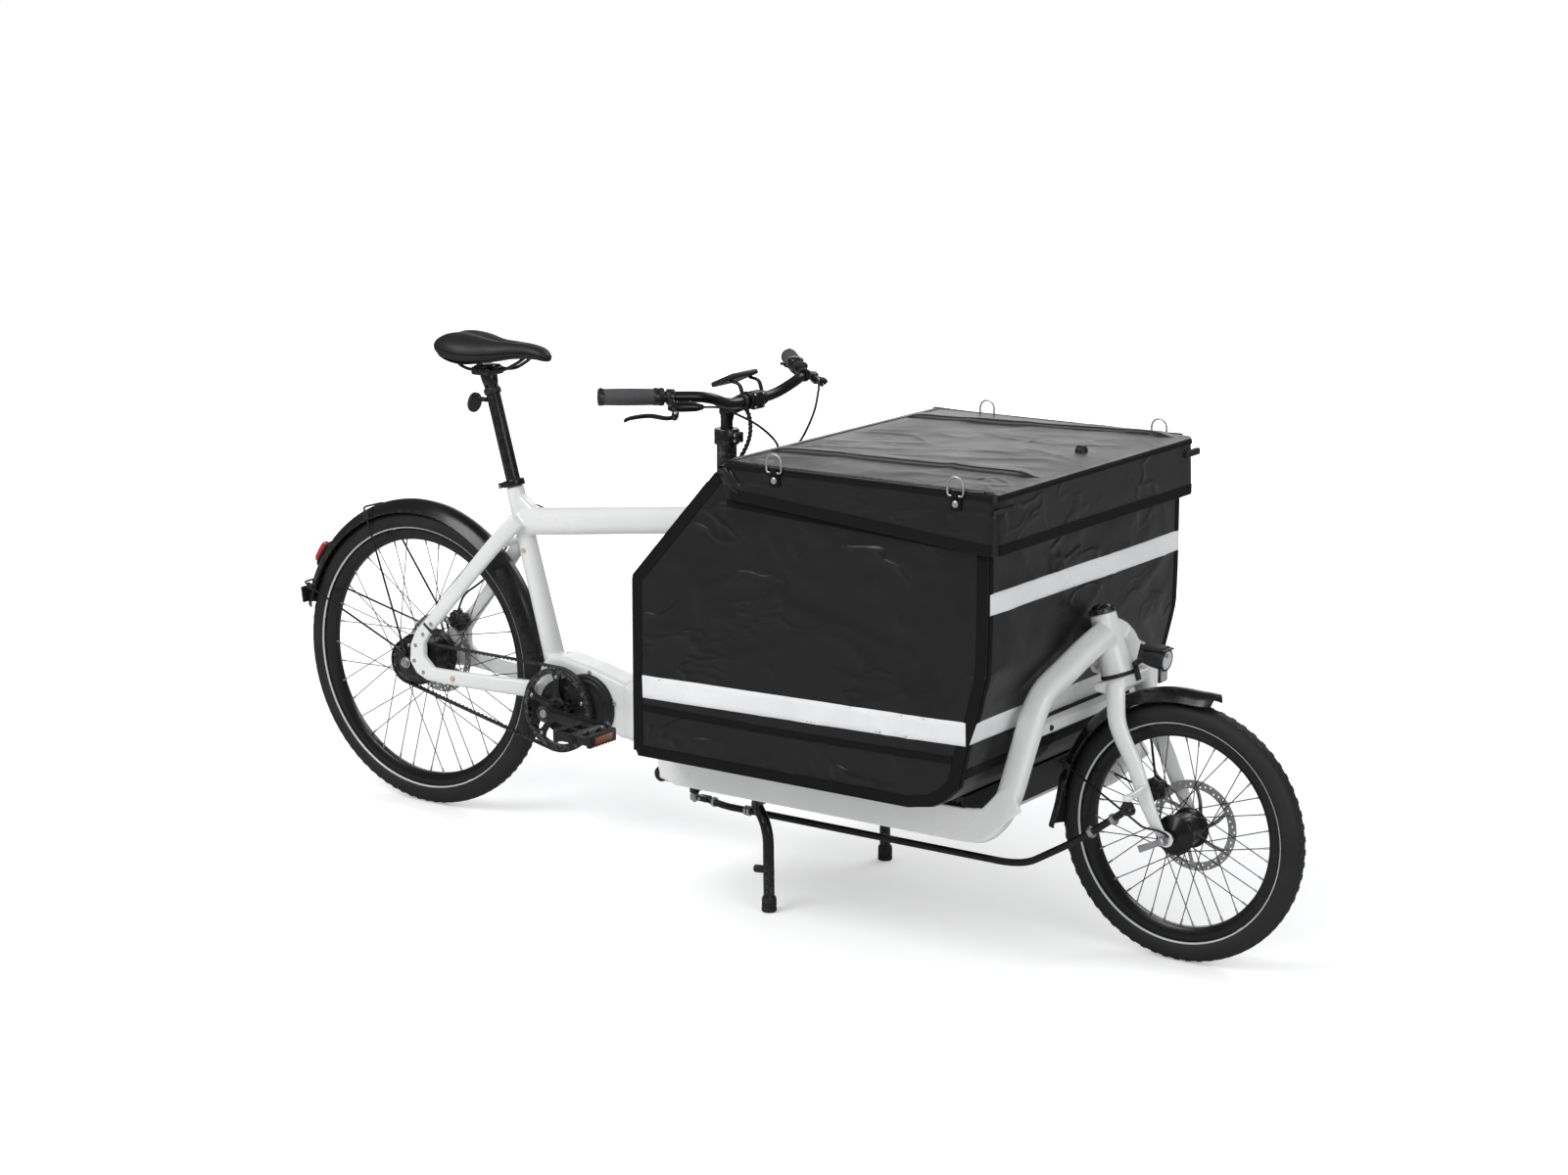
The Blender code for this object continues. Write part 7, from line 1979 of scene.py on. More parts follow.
@dataclass
class SteeringLinkage:
    """Rear column, its arm, the swivel and the bent rod under the bay."""

    rod_y: float = -0.14

    def build(self) -> None:
        """Build and dress the column and the linkage."""
        self.build_column()
        self.build_rod()

    def build_column(self) -> None:
        """Build the steering column with its clamp collar, arm and stud."""
        x = COLUMN_X
        foot = Vector((x, 0.0, 0.0))
        tube_piece = turned("tube", [(0.0, 0.7753), (0.02, 0.7753), (0.0205, 0.7765),
            (0.0205, 0.88), (0.0, 0.88)], foot, Z_AXIS, 44)
        collar = turned("collar", [(0.0, 0.879), (0.0238, 0.879), (0.0255, 0.8808), (0.0255, 0.89),
            (0.0248, 0.8908), (0.0248, 0.8918), (0.0255, 0.8926), (0.0255, 0.908), (0.024, 0.911),
            (0.0138, 0.911), (0.0134, 0.9), (0.0, 0.9)], foot, Z_AXIS, 44)
        lower = turned("lower", [(0.0, 0.188), (0.0175, 0.188), (0.018, 0.19), (0.018, 0.204),
            (0.0, 0.204)], foot, Z_AXIS, 36)
        lugs = [block("lug", Vector((x + 0.027, side * 0.007, 0.895)), (0.014, 0.009, 0.022),
            0.0025) for side in (-1.0, 1.0)]
        arm = sweep("arm", [Vector((x, 0.0, 0.193)), station(-0.101, self.rod_y, 0.193)],
            [(0.0085, 0.005), (0.007, 0.005)], 20, Z_AXIS, 0.7)
        tip = cylinder("tip", station(-0.101, self.rod_y, 0.189),
            station(-0.101, self.rod_y, 0.1985), 0.01, 28, 0.001)
        piece = join("steering_column_tube", [tube_piece, collar, lower, *lugs, arm, tip])
        fit_out(shade(piece, 30.0), SATIN_BLACK, "column", "black_metal", ["steering_column"])
        bolts = []
        for z in (0.8895, 0.901):
            bolts.append(cylinder("bolt", Vector((x + 0.029, -0.014, z)),
                Vector((x + 0.029, 0.014, z)), 0.0028, 16, 0.0004))
        bolts.append(hex_nut("nut", station(-0.101, self.rod_y, 0.1985),
            station(-0.101, self.rod_y, 0.204), 0.0068))
        bolts.append(cylinder("stud", station(-0.101, self.rod_y, 0.169),
            station(-0.101, self.rod_y, 0.206), 0.0038, 18, 0.0005))
        fit_out(shade(join("column_bolts", bolts)), BRIGHT, "column", "bright_steel")

    def build_rod(self) -> None:
        """Build the swivel, the bent rod, its ball joints, boots and lock nuts."""
        y = self.rod_y
        rear = station(-0.101, y, 0.18)
        ring = turned("ring", [(0.0046, -0.007), (0.008, -0.007), (0.0092, -0.005),
            (0.0092, 0.0045), (0.008, 0.0065), (0.0046, 0.0065)], rear, Z_AXIS, 32, True)
        tongue = block("tongue", rear + Vector((0.014, 0.0, 0.0)), (0.02, 0.0078, 0.0108), 0.0015)
        fit_out(shade(join("rear_ball_socket", [ring, tongue])), BRIGHT, "rod_swivel",
            "bright_steel", ["rod_swivel"])
        path = [station(-0.069, y, 0.18), station(-0.05, y, 0.176), station(-0.02, y, 0.1725),
            station(0.635, y, 0.1725), station(0.68, y, 0.18), station(0.79, y, 0.245),
            station(0.8758, y, 0.309)]
        bar = tube("bar", path, 0.007, 24, 0.05, 8)
        cheeks = [block("cheek", station(-0.079, y + side * 0.007, 0.18), (0.023, 0.0048, 0.01),
            0.0012) for side in (-1.0, 1.0)]
        cheeks.append(block("base", station(-0.069, y, 0.18), (0.01, 0.019, 0.011), 0.0015))
        ball = station(0.8888, y, 0.317)
        eye = turned("eye", [(0.0, -0.0075), (0.01, -0.0075), (0.014, -0.005), (0.015, -0.001),
            (0.015, 0.003), (0.0135, 0.006), (0.0105, 0.0075), (0.0, 0.0075)], ball, Z_AXIS, 32)
        piece = join("steering_rod", [bar, *cheeks, eye])
        fit_out(shade(piece), SATIN_BLACK, "tie_rod", "black_metal", ["tie_rod"])
        boot = turned("rod_end_boot", [(0.0, 0.006), (0.0118, 0.006), (0.0128, 0.0075),
            (0.0122, 0.0095), (0.01, 0.011), (0.0106, 0.0128), (0.009, 0.015), (0.0072, 0.0165),
            (0.0, 0.0165)], ball, Z_AXIS, 32)
        fit_out(shade(boot), RUBBER, "tie_rod", "rubber")
        nuts = []
        for start, way in ((station(0.864, y, 0.2985), Vector((-0.8, 0.0, -0.6))),
                (station(0.818, y, 0.266), Vector((-0.8, 0.0, -0.58)))):
            nuts.append(hex_nut("nut", start, start + way.normalized() * 0.009, 0.0115))
        for x in (-0.054, 0.025, 0.033):
            z = 0.1768 if x < 0.0 else 0.1725
            nuts.append(hex_nut("nut", station(x, y, z), station(x + 0.006, y, z), 0.0108))
        nuts.append(cylinder("pin", station(-0.083, y - 0.0105, 0.18),
            station(-0.083, y + 0.0105, 0.18), 0.0034, 18, 0.0005))
        fit_out(shade(join("rod_lock_nuts", nuts)), BRIGHT, "tie_rod", "bright_steel")


# ---------------------------------------------------------------- cargo box and lid


@dataclass
class CargoBox:
    """Coated-cloth cargo box with webbing borders, stripes and a padded lid."""

    half: float = 0.358
    floor_z: float = 0.318
    rim_z: float = 0.905
    corner: float = 0.01
    wall: float = 0.005
    lid_half: float = 0.3718
    hinge: Vector = field(default_factory=lambda: station(0.1245, 0.0, 0.908))
    front_line: Sequence[Point] = ((0.554, 0.318), (0.6, 0.326), (0.631, 0.342), (0.655, 0.367),
        (0.674, 0.454), (0.6925, 0.505), (0.713, 0.591), (0.715, 0.675), (0.714, 0.905))

    def build(self) -> None:
        """Build and dress the box, its trim, its lid and the lid's fittings."""
        self.build_shell()
        self.build_trim()
        self.build_lid()
        self.build_lid_trim()
        self.build_knob()
        self.build_rings()

    def rear_x(self, z: float) -> float:
        """Return the world x of the rear wall at a height."""
        if z <= 0.678:
            x = -0.085
        else:
            x = -0.085 + (0.117 + 0.085) * (z - 0.678) / (0.905 - 0.678)
        return x + STATION_TO_WORLD.x

    def front_x(self, z: float) -> float:
        """Return the world x of the front wall at a height."""
        line = self.front_line
        if z <= line[0][1]:
            return line[0][0] + STATION_TO_WORLD.x
        for (x0, z0), (x1, z1) in zip(line, line[1:]):
            if z <= z1:
                return x0 + (x1 - x0) * (z - z0) / (z1 - z0) + STATION_TO_WORLD.x
        return line[-1][0] + STATION_TO_WORLD.x

    def ripple(self, a: float, b: float, seed: float) -> float:
        """Return soft creases of taut cloth at a place on a panel, in metres."""
        p = Vector((a * 3.1 + seed, b * 4.3 - seed, seed * 1.7))
        big = field_noise.noise(p) * 0.0035
        warp = field_noise.noise(p * 1.9 + Vector((4.0, 1.0, 2.0)))
        ridge = 1.0 - abs(field_noise.noise(Vector((a * 5.0 + warp * 1.4 + seed,
            b * 9.0 + warp * 1.1, seed))))
        fine = field_noise.noise(Vector((a * 16.0, b * 20.0, seed * 3.0))) * 0.0008
        return big + 0.003 * ridge ** 8 + fine

    def side_out(self, x: float, z: float, side: float) -> float:
        """Return how far a side panel stands out from its flat plane."""
        rear, front = self.rear_x(z), self.front_x(z)
        edge = min(x - rear, front - x, z - self.floor_z, self.rim_z - z)
        free = smooth_step(0.004, 0.09, edge)
        return 0.0012 + self.ripple(x, z, 3.0 + side) * free + 0.0018 * free

    def front_out(self, y: float, z: float) -> float:
        """Return how far the front panel stands out from its flat sheet."""
        edge = min(self.half - abs(y), z - self.floor_z)
        free = smooth_step(0.004, 0.08, edge)
        return 0.001 + self.ripple(y, z, 9.0) * free

    def rear_out(self, y: float, z: float) -> float:
        """Return how far the rear panel stands out from its flat sheet."""
        free = smooth_step(0.004, 0.08, min(self.half - abs(y), z - self.floor_z))
        return 0.0008 + self.ripple(y, z, 14.0) * free * 0.8

    def panel_ring(self, z: float, inset: float, level: float, moved: bool) -> list[Vector]:
        """Return one level loop of the box.

        Args:
            z: the height at which the walls are read.
            inset: how far the loop lies inside the outer skin.
            level: the height at which the loop is placed.
            moved: True where the creases apply.

        Returns:
            The loop's points, from the right rear corner forwards.
        """
        rear, front = self.rear_x(z) + inset, self.front_x(z) - inset
        half = self.half - inset
        cut = min(self.corner, (front - rear) * 0.2)
        along, across, turn_steps = 84, 72, 4
        ring = []
        for i in range(along):
            x = rear + cut + (front - rear - 2 * cut) * i / (along - 1)
            out = self.side_out(x, z, -1.0) if moved else 0.0
            ring.append(Vector((x, -half - out, level)))
        ring += self.corner_points(Vector((front - cut, -half + cut, level)), -90.0, cut,
            turn_steps)
        for i in range(across):
            y = -half + cut + (2 * half - 2 * cut) * i / (across - 1)
            out = self.front_out(y, z) if moved else 0.0
            ring.append(Vector((front + out, y, level)))
        ring += self.corner_points(Vector((front - cut, half - cut, level)), 0.0, cut, turn_steps)
        for i in range(along):
            x = front - cut - (front - rear - 2 * cut) * i / (along - 1)
            out = self.side_out(x, z, 1.0) if moved else 0.0
            ring.append(Vector((x, half + out, level)))
        ring += self.corner_points(Vector((rear + cut, half - cut, level)), 90.0, cut, turn_steps)
        for i in range(across):
            y = half - cut - (2 * half - 2 * cut) * i / (across - 1)
            out = self.rear_out(y, z) if moved else 0.0
            ring.append(Vector((rear - out, y, level)))
        ring += self.corner_points(Vector((rear + cut, -half + cut, level)), 180.0, cut,
            turn_steps)
        return ring

    def corner_points(self, centre: Vector, start: float, radius: float,
            steps: int) -> list[Vector]:
        """Return the points of one rounded corner, without its ends."""
        points = []
        for i in range(1, steps + 1):
            turn = math.radians(start + 90.0 * i / (steps + 1))
            points.append(centre + Vector((math.cos(turn), math.sin(turn), 0.0))
                * (radius + 0.001))
        return points

    def build_shell(self) -> None:
        """Build the box's skin: outer walls, rolled rim, inner walls and floor."""
        rings = []
        levels = [self.floor_z + 0.0002 + (self.rim_z - self.floor_z) * (i / 62) ** 1.0
            for i in range(63)]
        rings.append(self.panel_ring(levels[0], 0.03, levels[0] - 0.0001, False))
        rings.append(self.panel_ring(levels[0], 0.003, levels[0], False))
        for z in levels[1:]:
            rings.append(self.panel_ring(z, 0.0, z, True))
        rings.append(self.panel_ring(self.rim_z, 0.0015, self.rim_z + 0.0012, True))
        rings.append(self.panel_ring(self.rim_z, 0.004, self.rim_z + 0.0006, True))
        for i in range(17):
            z = self.rim_z - 0.002 - (self.rim_z - self.floor_z - 0.008) * i / 16
            rings.append(self.panel_ring(z, 0.0072, z, False))
        low = self.floor_z + 0.006
        rings.append(self.panel_ring(low, 0.03, low, False))
        shell = loft("cargo_box_skin", rings)
        fit_out(shade(shell, 60.0), COATED, "frame", "tarpaulin", ["box_shell"])
        seam = cylinder("hinge_seam", self.hinge - Y_AXIS * 0.34, self.hinge + Y_AXIS * 0.34,
            0.0046, 16, 0.0008)
        fit_out(shade(seam), WEBBING, "frame", "tarpaulin")
        self.build_hinge_cloth()

    def build_hinge_cloth(self) -> None:
        """Build the strip of cloth over the hinge seam."""
        knots = [(-0.0066, -0.0012), (-0.0052, 0.0024), (-0.0015, 0.0056), (0.004, 0.0058),
            (0.0092, 0.0052), (0.0102, 0.0066)]
        middle = curve_through([Vector((x, 0.0, z)) for x, z in knots], 5)
        last = len(middle) - 1
        rings = []
        for k in range(31):
            outer, inner = [], []
            for i, point in enumerate(middle):
                way = (middle[min(i + 1, last)] - middle[max(i - 1, 0)]).normalized()
                across = Vector((-way.z, 0.0, way.x)) * 0.0005
                here = self.hinge + point + Y_AXIS * (-0.356 + 0.712 * k / 30)
                outer.append(here + across)
                inner.append(here - across)
            rings.append(outer + inner[::-1])
        cloth = shade(loft("hinge_cloth", rings), 60.0)
        COATED.dress(cloth)
        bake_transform(cloth)
        PIECES.append(cloth.name)

    def ribbon(self, name: str, line: Sequence[Point], width: float, thick: float,
            place: Callable[[float, float, float], Vector], steps: int = 10) -> bpy.types.Object:
        """Lay a flat band along a line on a panel.

        Args:
            name: the new object's name.
            line: the band's middle line in the panel's two coordinates.
            width: the band's width.
            thick: its thickness.
            place: turns two panel coordinates and a lift into a point.
            steps: new points between two points of the line.

        Returns:
            The new mesh object.
        """
        fine = []
        for (a0, b0), (a1, b1) in zip(line, line[1:]):
            for i in range(steps):
                t = i / steps
                fine.append(Vector((a0 + (a1 - a0) * t, b0 + (b1 - b0) * t, 0.0)))
        fine.append(Vector((*line[-1], 0.0)))
        rings = []
        shares = (-1.0, -0.94, -0.5, 0.0, 0.5, 0.94, 1.0)
        lifts = (0.35, 1.0, 1.0, 1.0, 1.0, 1.0, 0.35)
        for i, point in enumerate(fine):
            way = (fine[min(i + 1, len(fine) - 1)] - fine[max(i - 1, 0)]).normalized()
            side = Vector((-way.y, way.x, 0.0))
            ring = []
            for share, lift in zip(shares, lifts):
                spot = point + side * (share * width / 2.0)
                ring.append(place(spot.x, spot.y, thick * lift))
            for share in reversed(shares):
                spot = point + side * (share * width / 2.0)
                ring.append(place(spot.x, spot.y, -0.0004))
            rings.append(ring)
        return loft(name, rings)

    def on_side(self, side: float) -> Callable[[float, float, float], Vector]:
        """Return the function that places a band on a side panel."""
        def place(x: float, z: float, lift: float) -> Vector:
            inside = min(max(x, self.rear_x(z)), self.front_x(z))
            return Vector((inside, side * (self.half + self.side_out(inside, z, side) + lift), z))
        return place

    def on_front(self, y: float, z: float, lift: float) -> Vector:
        """Place a band's point on the front panel."""
        return Vector((self.front_x(z) + self.front_out(y, z) + lift, y, z))

    def on_rear(self, y: float, z: float, lift: float) -> Vector:
        """Place a band's point on the rear panel."""
        return Vector((self.rear_x(z) - self.rear_out(y, z) - lift, y, z))

    def build_trim(self) -> None:
        """Build the webbing borders, the sewn flap strip and the reflective stripes."""
        webs, tapes = [], []
        x0 = STATION_TO_WORLD.x
        for side in (-1.0, 1.0):
            place = self.on_side(side)
            rear = [(self.rear_x(z) + 0.011, z) for z in [0.33 + 0.348 * i / 8 for i in range(9)]]
            slope = [(self.rear_x(z) + 0.013, z - 0.004) for z in [0.688 + 0.21 * i / 6
                for i in range(7)]]
            webs.append(self.ribbon("web", rear + slope, 0.023, 0.0013, place, 5))
            front = [(self.front_x(z) - 0.011, z) for z in [0.37 + 0.53 * i / 16
                for i in range(17)]]
            webs.append(self.ribbon("web", front, 0.022, 0.0013, place, 4))
            base = [(-0.075 + x0, 0.331), (0.3 + x0, 0.331), (0.55 + x0, 0.331),
                (0.595 + x0, 0.34), (0.622 + x0, 0.354), (0.643 + x0, 0.376)]
            webs.append(self.ribbon("web", base, 0.023, 0.0013, place, 12))
            flap = [(-0.06 + x0, 0.418), (0.25 + x0, 0.417), (0.645 + x0, 0.424)]
            webs.append(self.ribbon("web", flap, 0.014, 0.0022, place, 40))
            stripe = [(self.rear_x(0.46) + 0.024, 0.4605), (0.3 + x0, 0.468),
                (self.front_x(0.4767) - 0.0085, 0.4767)]
            tapes.append(self.ribbon("tape", stripe, 0.045, 0.0021, place, 40))
            under = [(self.rear_x(0.9) + 0.03, 0.848), (self.front_x(0.84) - 0.025, 0.823)]
            webs.append(self.ribbon("web", under, 0.02, 0.0013, place, 50))
        across = [(-0.353 + 0.706 * i / 20, 0.4775) for i in range(21)]
        tapes.append(self.ribbon("tape", across, 0.044, 0.0019, self.on_front, 3))
        upper = [(-0.353 + 0.706 * i / 20, 0.721) for i in range(21)]
        tapes.append(self.ribbon("tape", upper, 0.04, 0.0019, self.on_front, 3))
        for side in (-1.0, 1.0):
            edge = [(side * 0.348, 0.37 + 0.45 * i / 16) for i in range(17)]
            webs.append(self.ribbon("web", edge, 0.012, 0.0013, self.on_front, 4))
            edge = [(side * 0.348, 0.33 + 0.55 * i / 16) for i in range(17)]
            webs.append(self.ribbon("web", edge, 0.018, 0.0013, self.on_rear, 4))
        webs.append(self.ribbon("web", [(-0.34, 0.395), (0.34, 0.395)], 0.02, 0.0013,
            self.on_front, 60))
        webs.append(self.ribbon("web", [(-0.34, 0.678), (0.34, 0.678)], 0.018, 0.0013,
            self.on_rear, 60))
        tapes.append(self.ribbon("tape", [(-0.338, 0.46), (0.338, 0.46)], 0.044, 0.0009,
            self.on_rear, 60))
        fit_out(shade(join("box_webbing", webs), 50.0), WEBBING, "frame", "tarpaulin")
        fit_out(shade(join("box_reflective_stripes", tapes), 50.0), TAPE, "frame", "tarpaulin")
        self.build_stitches()

    def build_stitches(self) -> None:
        """Build the rows of thread along the stripes and borders."""
        rows = []
        x0 = STATION_TO_WORLD.x
        for side in (-1.0, 1.0):
            place = self.on_side(side)
            lines = [((-0.05 + x0, 0.4425), (0.65 + x0, 0.4572)),
                ((-0.05 + x0, 0.479), (0.65 + x0, 0.4962)), ((-0.06 + x0, 0.3395),
                (0.54 + x0, 0.3395)), ((-0.062 + x0, 0.322), (0.54 + x0, 0.322))]
            for start, end in lines:
                rows += self.thread_row(start, end, place, 0.0016)
        fit_out(join("box_thread", rows), WEBBING, "frame", "tarpaulin")

    def thread_row(self, start: Point, end: Point, place: Callable[[float, float, float], Vector],
            lift: float) -> list[bpy.types.Object]:
        """Lay a dashed row of short threads between two panel points."""
        length = math.hypot(end[0] - start[0], end[1] - start[1])
        count = int(length / THREAD_PITCH)
        threads, order = [], []
        for i in range(count):
            shares = (i / count, (i + THREAD_SHARE) / count)
            points = []
            for share in (shares[0], sum(shares) / 2.0, shares[1]):
                a = start[0] + (end[0] - start[0]) * share
                b = start[1] + (end[1] - start[1]) * share
                points.append(place(a, b, lift))
            rings = thread_rings(points)
            corners = [corner for ring in rings for corner in ring]
            if threads:
                threads.append(thread_copy(threads[0], order, corners))
                continue
            model = loft("thread", rings)
            order = [min(range(len(corners)), key=lambda k: (corners[k] - vertex.co).length)
                for vertex in model.data.vertices]
            threads.append(model)
        return threads

    def lid_top(self, x: float, y: float) -> float:
        """Return the height of the lid's upper skin."""
        rear, front = self.lid_rear, self.lid_front
        share = (x - rear) / (front - rear)
        edge = min(self.lid_half - abs(y), x - rear, front - x)
        free = smooth_step(0.0, 0.07, edge)
        line = 0.927 + 0.002 * share
        puff = 0.0095 * free * (1.0 - 0.55 * abs(2.0 * y / (2.0 * self.lid_half)) ** 2)
        crease = (self.ripple(x, y, 21.0) + 0.0012) * smooth_step(0.01, 0.09, edge)
        roll = 0.004 * (1.0 - smooth_step(0.0, 0.01, edge))
        return line - roll + puff * 0.55 + crease * 0.9

    @property
    def lid_rear(self) -> float:
        """Return the world x of the lid's rear edge."""
        return 0.135 + STATION_TO_WORLD.x

    @property
    def lid_front(self) -> float:
        """Return the world x of the lid's front edge."""
        return 0.7365 + STATION_TO_WORLD.x

    def lid_loop(self, share: float, inset: float = 0.0) -> list[tuple[float, float]]:
        """Return a rounded rectangle on the lid's plan, scaled towards its middle."""
        mid_x = (self.lid_rear + self.lid_front) / 2.0
        half_x = (self.lid_front - self.lid_rear) / 2.0 - inset
        half_y = self.lid_half - inset
        radius = 0.018
        corners = ((1, -1, -90.0), (1, 1, 0.0), (-1, 1, 90.0), (-1, -1, 180.0))
        points: list[tuple[float, float]] = []
        starts = ((-half_x + radius, -half_y), (half_x, -half_y + radius),
            (half_x - radius, half_y), (-half_x, half_y - radius))
        ends = ((half_x - radius, -half_y), (half_x, half_y - radius), (-half_x + radius, half_y),
            (-half_x, -half_y + radius))
        for (start, end, (sx, sy, angle)) in zip(starts, ends, corners):
            steps = 64
            for i in range(steps):
                t = i / (steps - 1)
                points.append((start[0] + (end[0] - start[0]) * t,
                    start[1] + (end[1] - start[1]) * t))
            for i in range(1, 6):
                turn = math.radians(angle + 90.0 * i / 6)
                points.append((sx * (half_x - radius) + radius * math.cos(turn),
                    sy * (half_y - radius) + radius * math.sin(turn)))
        return [(mid_x + x * share, y * share) for x, y in points]

    def skirt_low(self, x: float) -> float:
        """Return the height of the skirt's lower edge at a place along the lid."""
        share = (x - self.lid_rear) / (self.lid_front - self.lid_rear)
        low = 0.858 + (0.814 - 0.858) * min(max(share, 0.0), 1.0)
        back = 1.0 - smooth_step(self.lid_rear, self.lid_rear + 0.016, x)
        return low * (1.0 - back) + 0.9062 * back

    def skirt_out(self, x: float, y: float, z: float) -> float:
        """Return how far the skirt bells out at a place."""
        deep = smooth_step(0.915, 0.83, z)
        wave = field_noise.noise(Vector((x * 5.0, y * 5.0, 4.0)))
        return deep * (0.002 + 0.0022 * wave) + 0.0004

    def build_lid(self) -> None:
        """Build the lid's padded top, its skirt on three sides and its inner skin."""
        rings = []
        loop = self.lid_loop(1.0)
        shares = [0.02 + 0.98 * (i / 40) ** 0.9 for i in range(41)]
        for share in shares:
            ring = [Vector((x, y, self.lid_top(x, y))) for x, y in self.lid_loop(share)]
            rings.append(ring)
        middle = Vector(((self.lid_rear + self.lid_front) / 2.0, 0.0, 0.0))
        for i in range(1, 13):
            t = i / 12
            ring = []
            for x, y in loop:
                low = self.skirt_low(x)
                z = 0.9225 + (low - 0.9225) * t
                out = Vector((x - middle.x, y, 0.0))
                out = Vector((math.copysign(1.0, out.x) if abs(x - middle.x) > 0.29 else 0.0,
                    math.copysign(1.0, out.y) if abs(y) > self.lid_half - 0.012 else 0.0, 0.0))
                push = self.skirt_out(x, y, z)
                ring.append(Vector((x + out.x * push, y + out.y * push, z)))
            rings.append(ring)
        inner = self.lid_loop(1.0, 0.004)
        outer_last = rings[-1]
        for depth in (0.0, 0.5, 1.0):
            ring = []
            for (x, y), end in zip(inner, outer_last):
                z = end.z + (0.9062 - end.z) * depth
                pull = Vector((x, y, z)) if depth else Vector(((x + end.x) / 2.0,
                    (y + end.y) / 2.0, end.z))
                ring.append(pull)
            rings.append(ring)
        for share in (0.97, 0.6, 0.05):
            rings.append([Vector((x, y, 0.9062)) for x, y in self.lid_loop(share, 0.004)])
        lid = loft("lid_skin", rings)
        fit_out(shade(lid, 60.0), LID_CLOTH, "lid", "tarpaulin", ["lid_shell"])

    def on_lid(self, x: float, y: float, lift: float) -> Vector:
        """Place a band's point on the lid's upper skin."""
        return Vector((x, y, self.lid_top(x, y) + lift))

    def on_skirt(self, side: float) -> Callable[[float, float, float], Vector]:
        """Return the function that places a band on the lid's side skirt."""
        def place(x: float, z: float, lift: float) -> Vector:
            y = side * (self.lid_half + self.skirt_out(x, side * self.lid_half, z) + lift)
            return Vector((x, y, z))
        return place

    def on_front_skirt(self, y: float, z: float, lift: float) -> Vector:
        """Place a band's point on the lid's front skirt."""
        return Vector((self.lid_front + self.skirt_out(self.lid_front, y, z) + lift, y, z))

    def build_lid_trim(self) -> None:
        """Build the raised straps, the hem webbing, the tabs and the folded corner."""
        x0 = STATION_TO_WORLD.x
        straps = []
        for line in ([(0.155 + x0, -0.239), (0.43 + x0, -0.216), (0.718 + x0, -0.189)],
                [(0.155 + x0, 0.231), (0.43 + x0, 0.276), (0.718 + x0, 0.326)]):
            straps.append(self.bar_strap(line))
        rear = [(0.15 + x0, -0.35), (0.15 + x0, 0.35)]
        straps.append(self.ribbon("strap", rear, 0.02, 0.0016, self.on_lid, 50))
        # The straps' webbing is painted lighter than the hems' webbing: a painted highlight on the
        # lid's top.
        fit_out(shade(join("lid_straps", straps), 50.0), PAINTED_HIGHLIGHT_WEBBING, "lid", "tarpaulin")
        hems = []
        for side in (-1.0, 1.0):
            place = self.on_skirt(side)
            hem = [(0.16 + x0 + 0.57 * i / 12, self.skirt_low(0.16 + x0 + 0.57 * i / 12) + 0.011)
                for i in range(13)]
            hems.append(self.ribbon("hem", hem, 0.02, 0.0014, place, 4))
            seam = [(0.145 + x0, 0.917), (0.73 + x0, 0.918)]
            hems.append(self.ribbon("hem", seam, 0.008, 0.0016, place, 60))
        hem = [(-0.36 + 0.72 * i / 12, 0.825) for i in range(13)]
        hems.append(self.ribbon("hem", hem, 0.02, 0.0014, self.on_front_skirt, 4))
        seam = [(-0.36, 0.918), (0.36, 0.918)]
        hems.append(self.ribbon("hem", seam, 0.008, 0.0016, self.on_front_skirt, 60))
        fit_out(shade(join("lid_hems", hems), 50.0), WEBBING, "lid", "tarpaulin")
        self.build_piping()
        tabs = [block("tab", Vector((self.lid_front + 0.0035, -0.342, 0.896)),
            (0.006, 0.074, 0.0075), 0.0015), block("tab", Vector((self.lid_front + 0.0015, 0.36,
            0.896)), (0.009, 0.056, 0.013), 0.002)]
        fit_out(shade(join("lid_tabs", tabs)), RUBBER, "lid", "black_plastic")
        self.build_corner_folds()

    def bar_strap(self, line: Sequence[Point]) -> bpy.types.Object:
        """Make one raised strap with a flat top, sloped sides and pointed ends.

        Args:
            line: the strap's middle line on the lid's plan.

        Returns:
            The new mesh object.
        """
        path = curve_through([Vector((a, b, 0.0)) for a, b in line], 24)
        last = len(path) - 1
        length = sum((b - a).length for a, b in zip(path, path[1:]))
        rings, gone = [], 0.0
        for i, point in enumerate(path):
            if i:
                gone += (point - path[i - 1]).length
            near = min(gone, length - gone)
            rise = 0.0006 + 0.0062 * smooth_step(0.0, 0.03, near)
            half = 0.005 + 0.012 * smooth_step(-0.004, 0.034, near)
            way = (path[min(i + 1, last)] - path[max(i - 1, 0)]).normalized()
            side = Vector((-way.y, way.x, 0.0))
            ring = []
            for share, lift in ((-1.0, 0.0), (-0.97, 0.45), (-0.78, 0.96), (-0.4, 1.0), (0.4, 1.0),
                    (0.78, 0.96), (0.97, 0.45), (1.0, 0.0)):
                spot = point + side * (share * half)
                ring.append(self.on_lid(spot.x, spot.y, rise * lift))
            for share in (0.9, -0.9):
                spot = point + side * (share * half)
                ring.append(self.on_lid(spot.x, spot.y, -0.001))
            rings.append(ring)
        return loft("strap", rings)

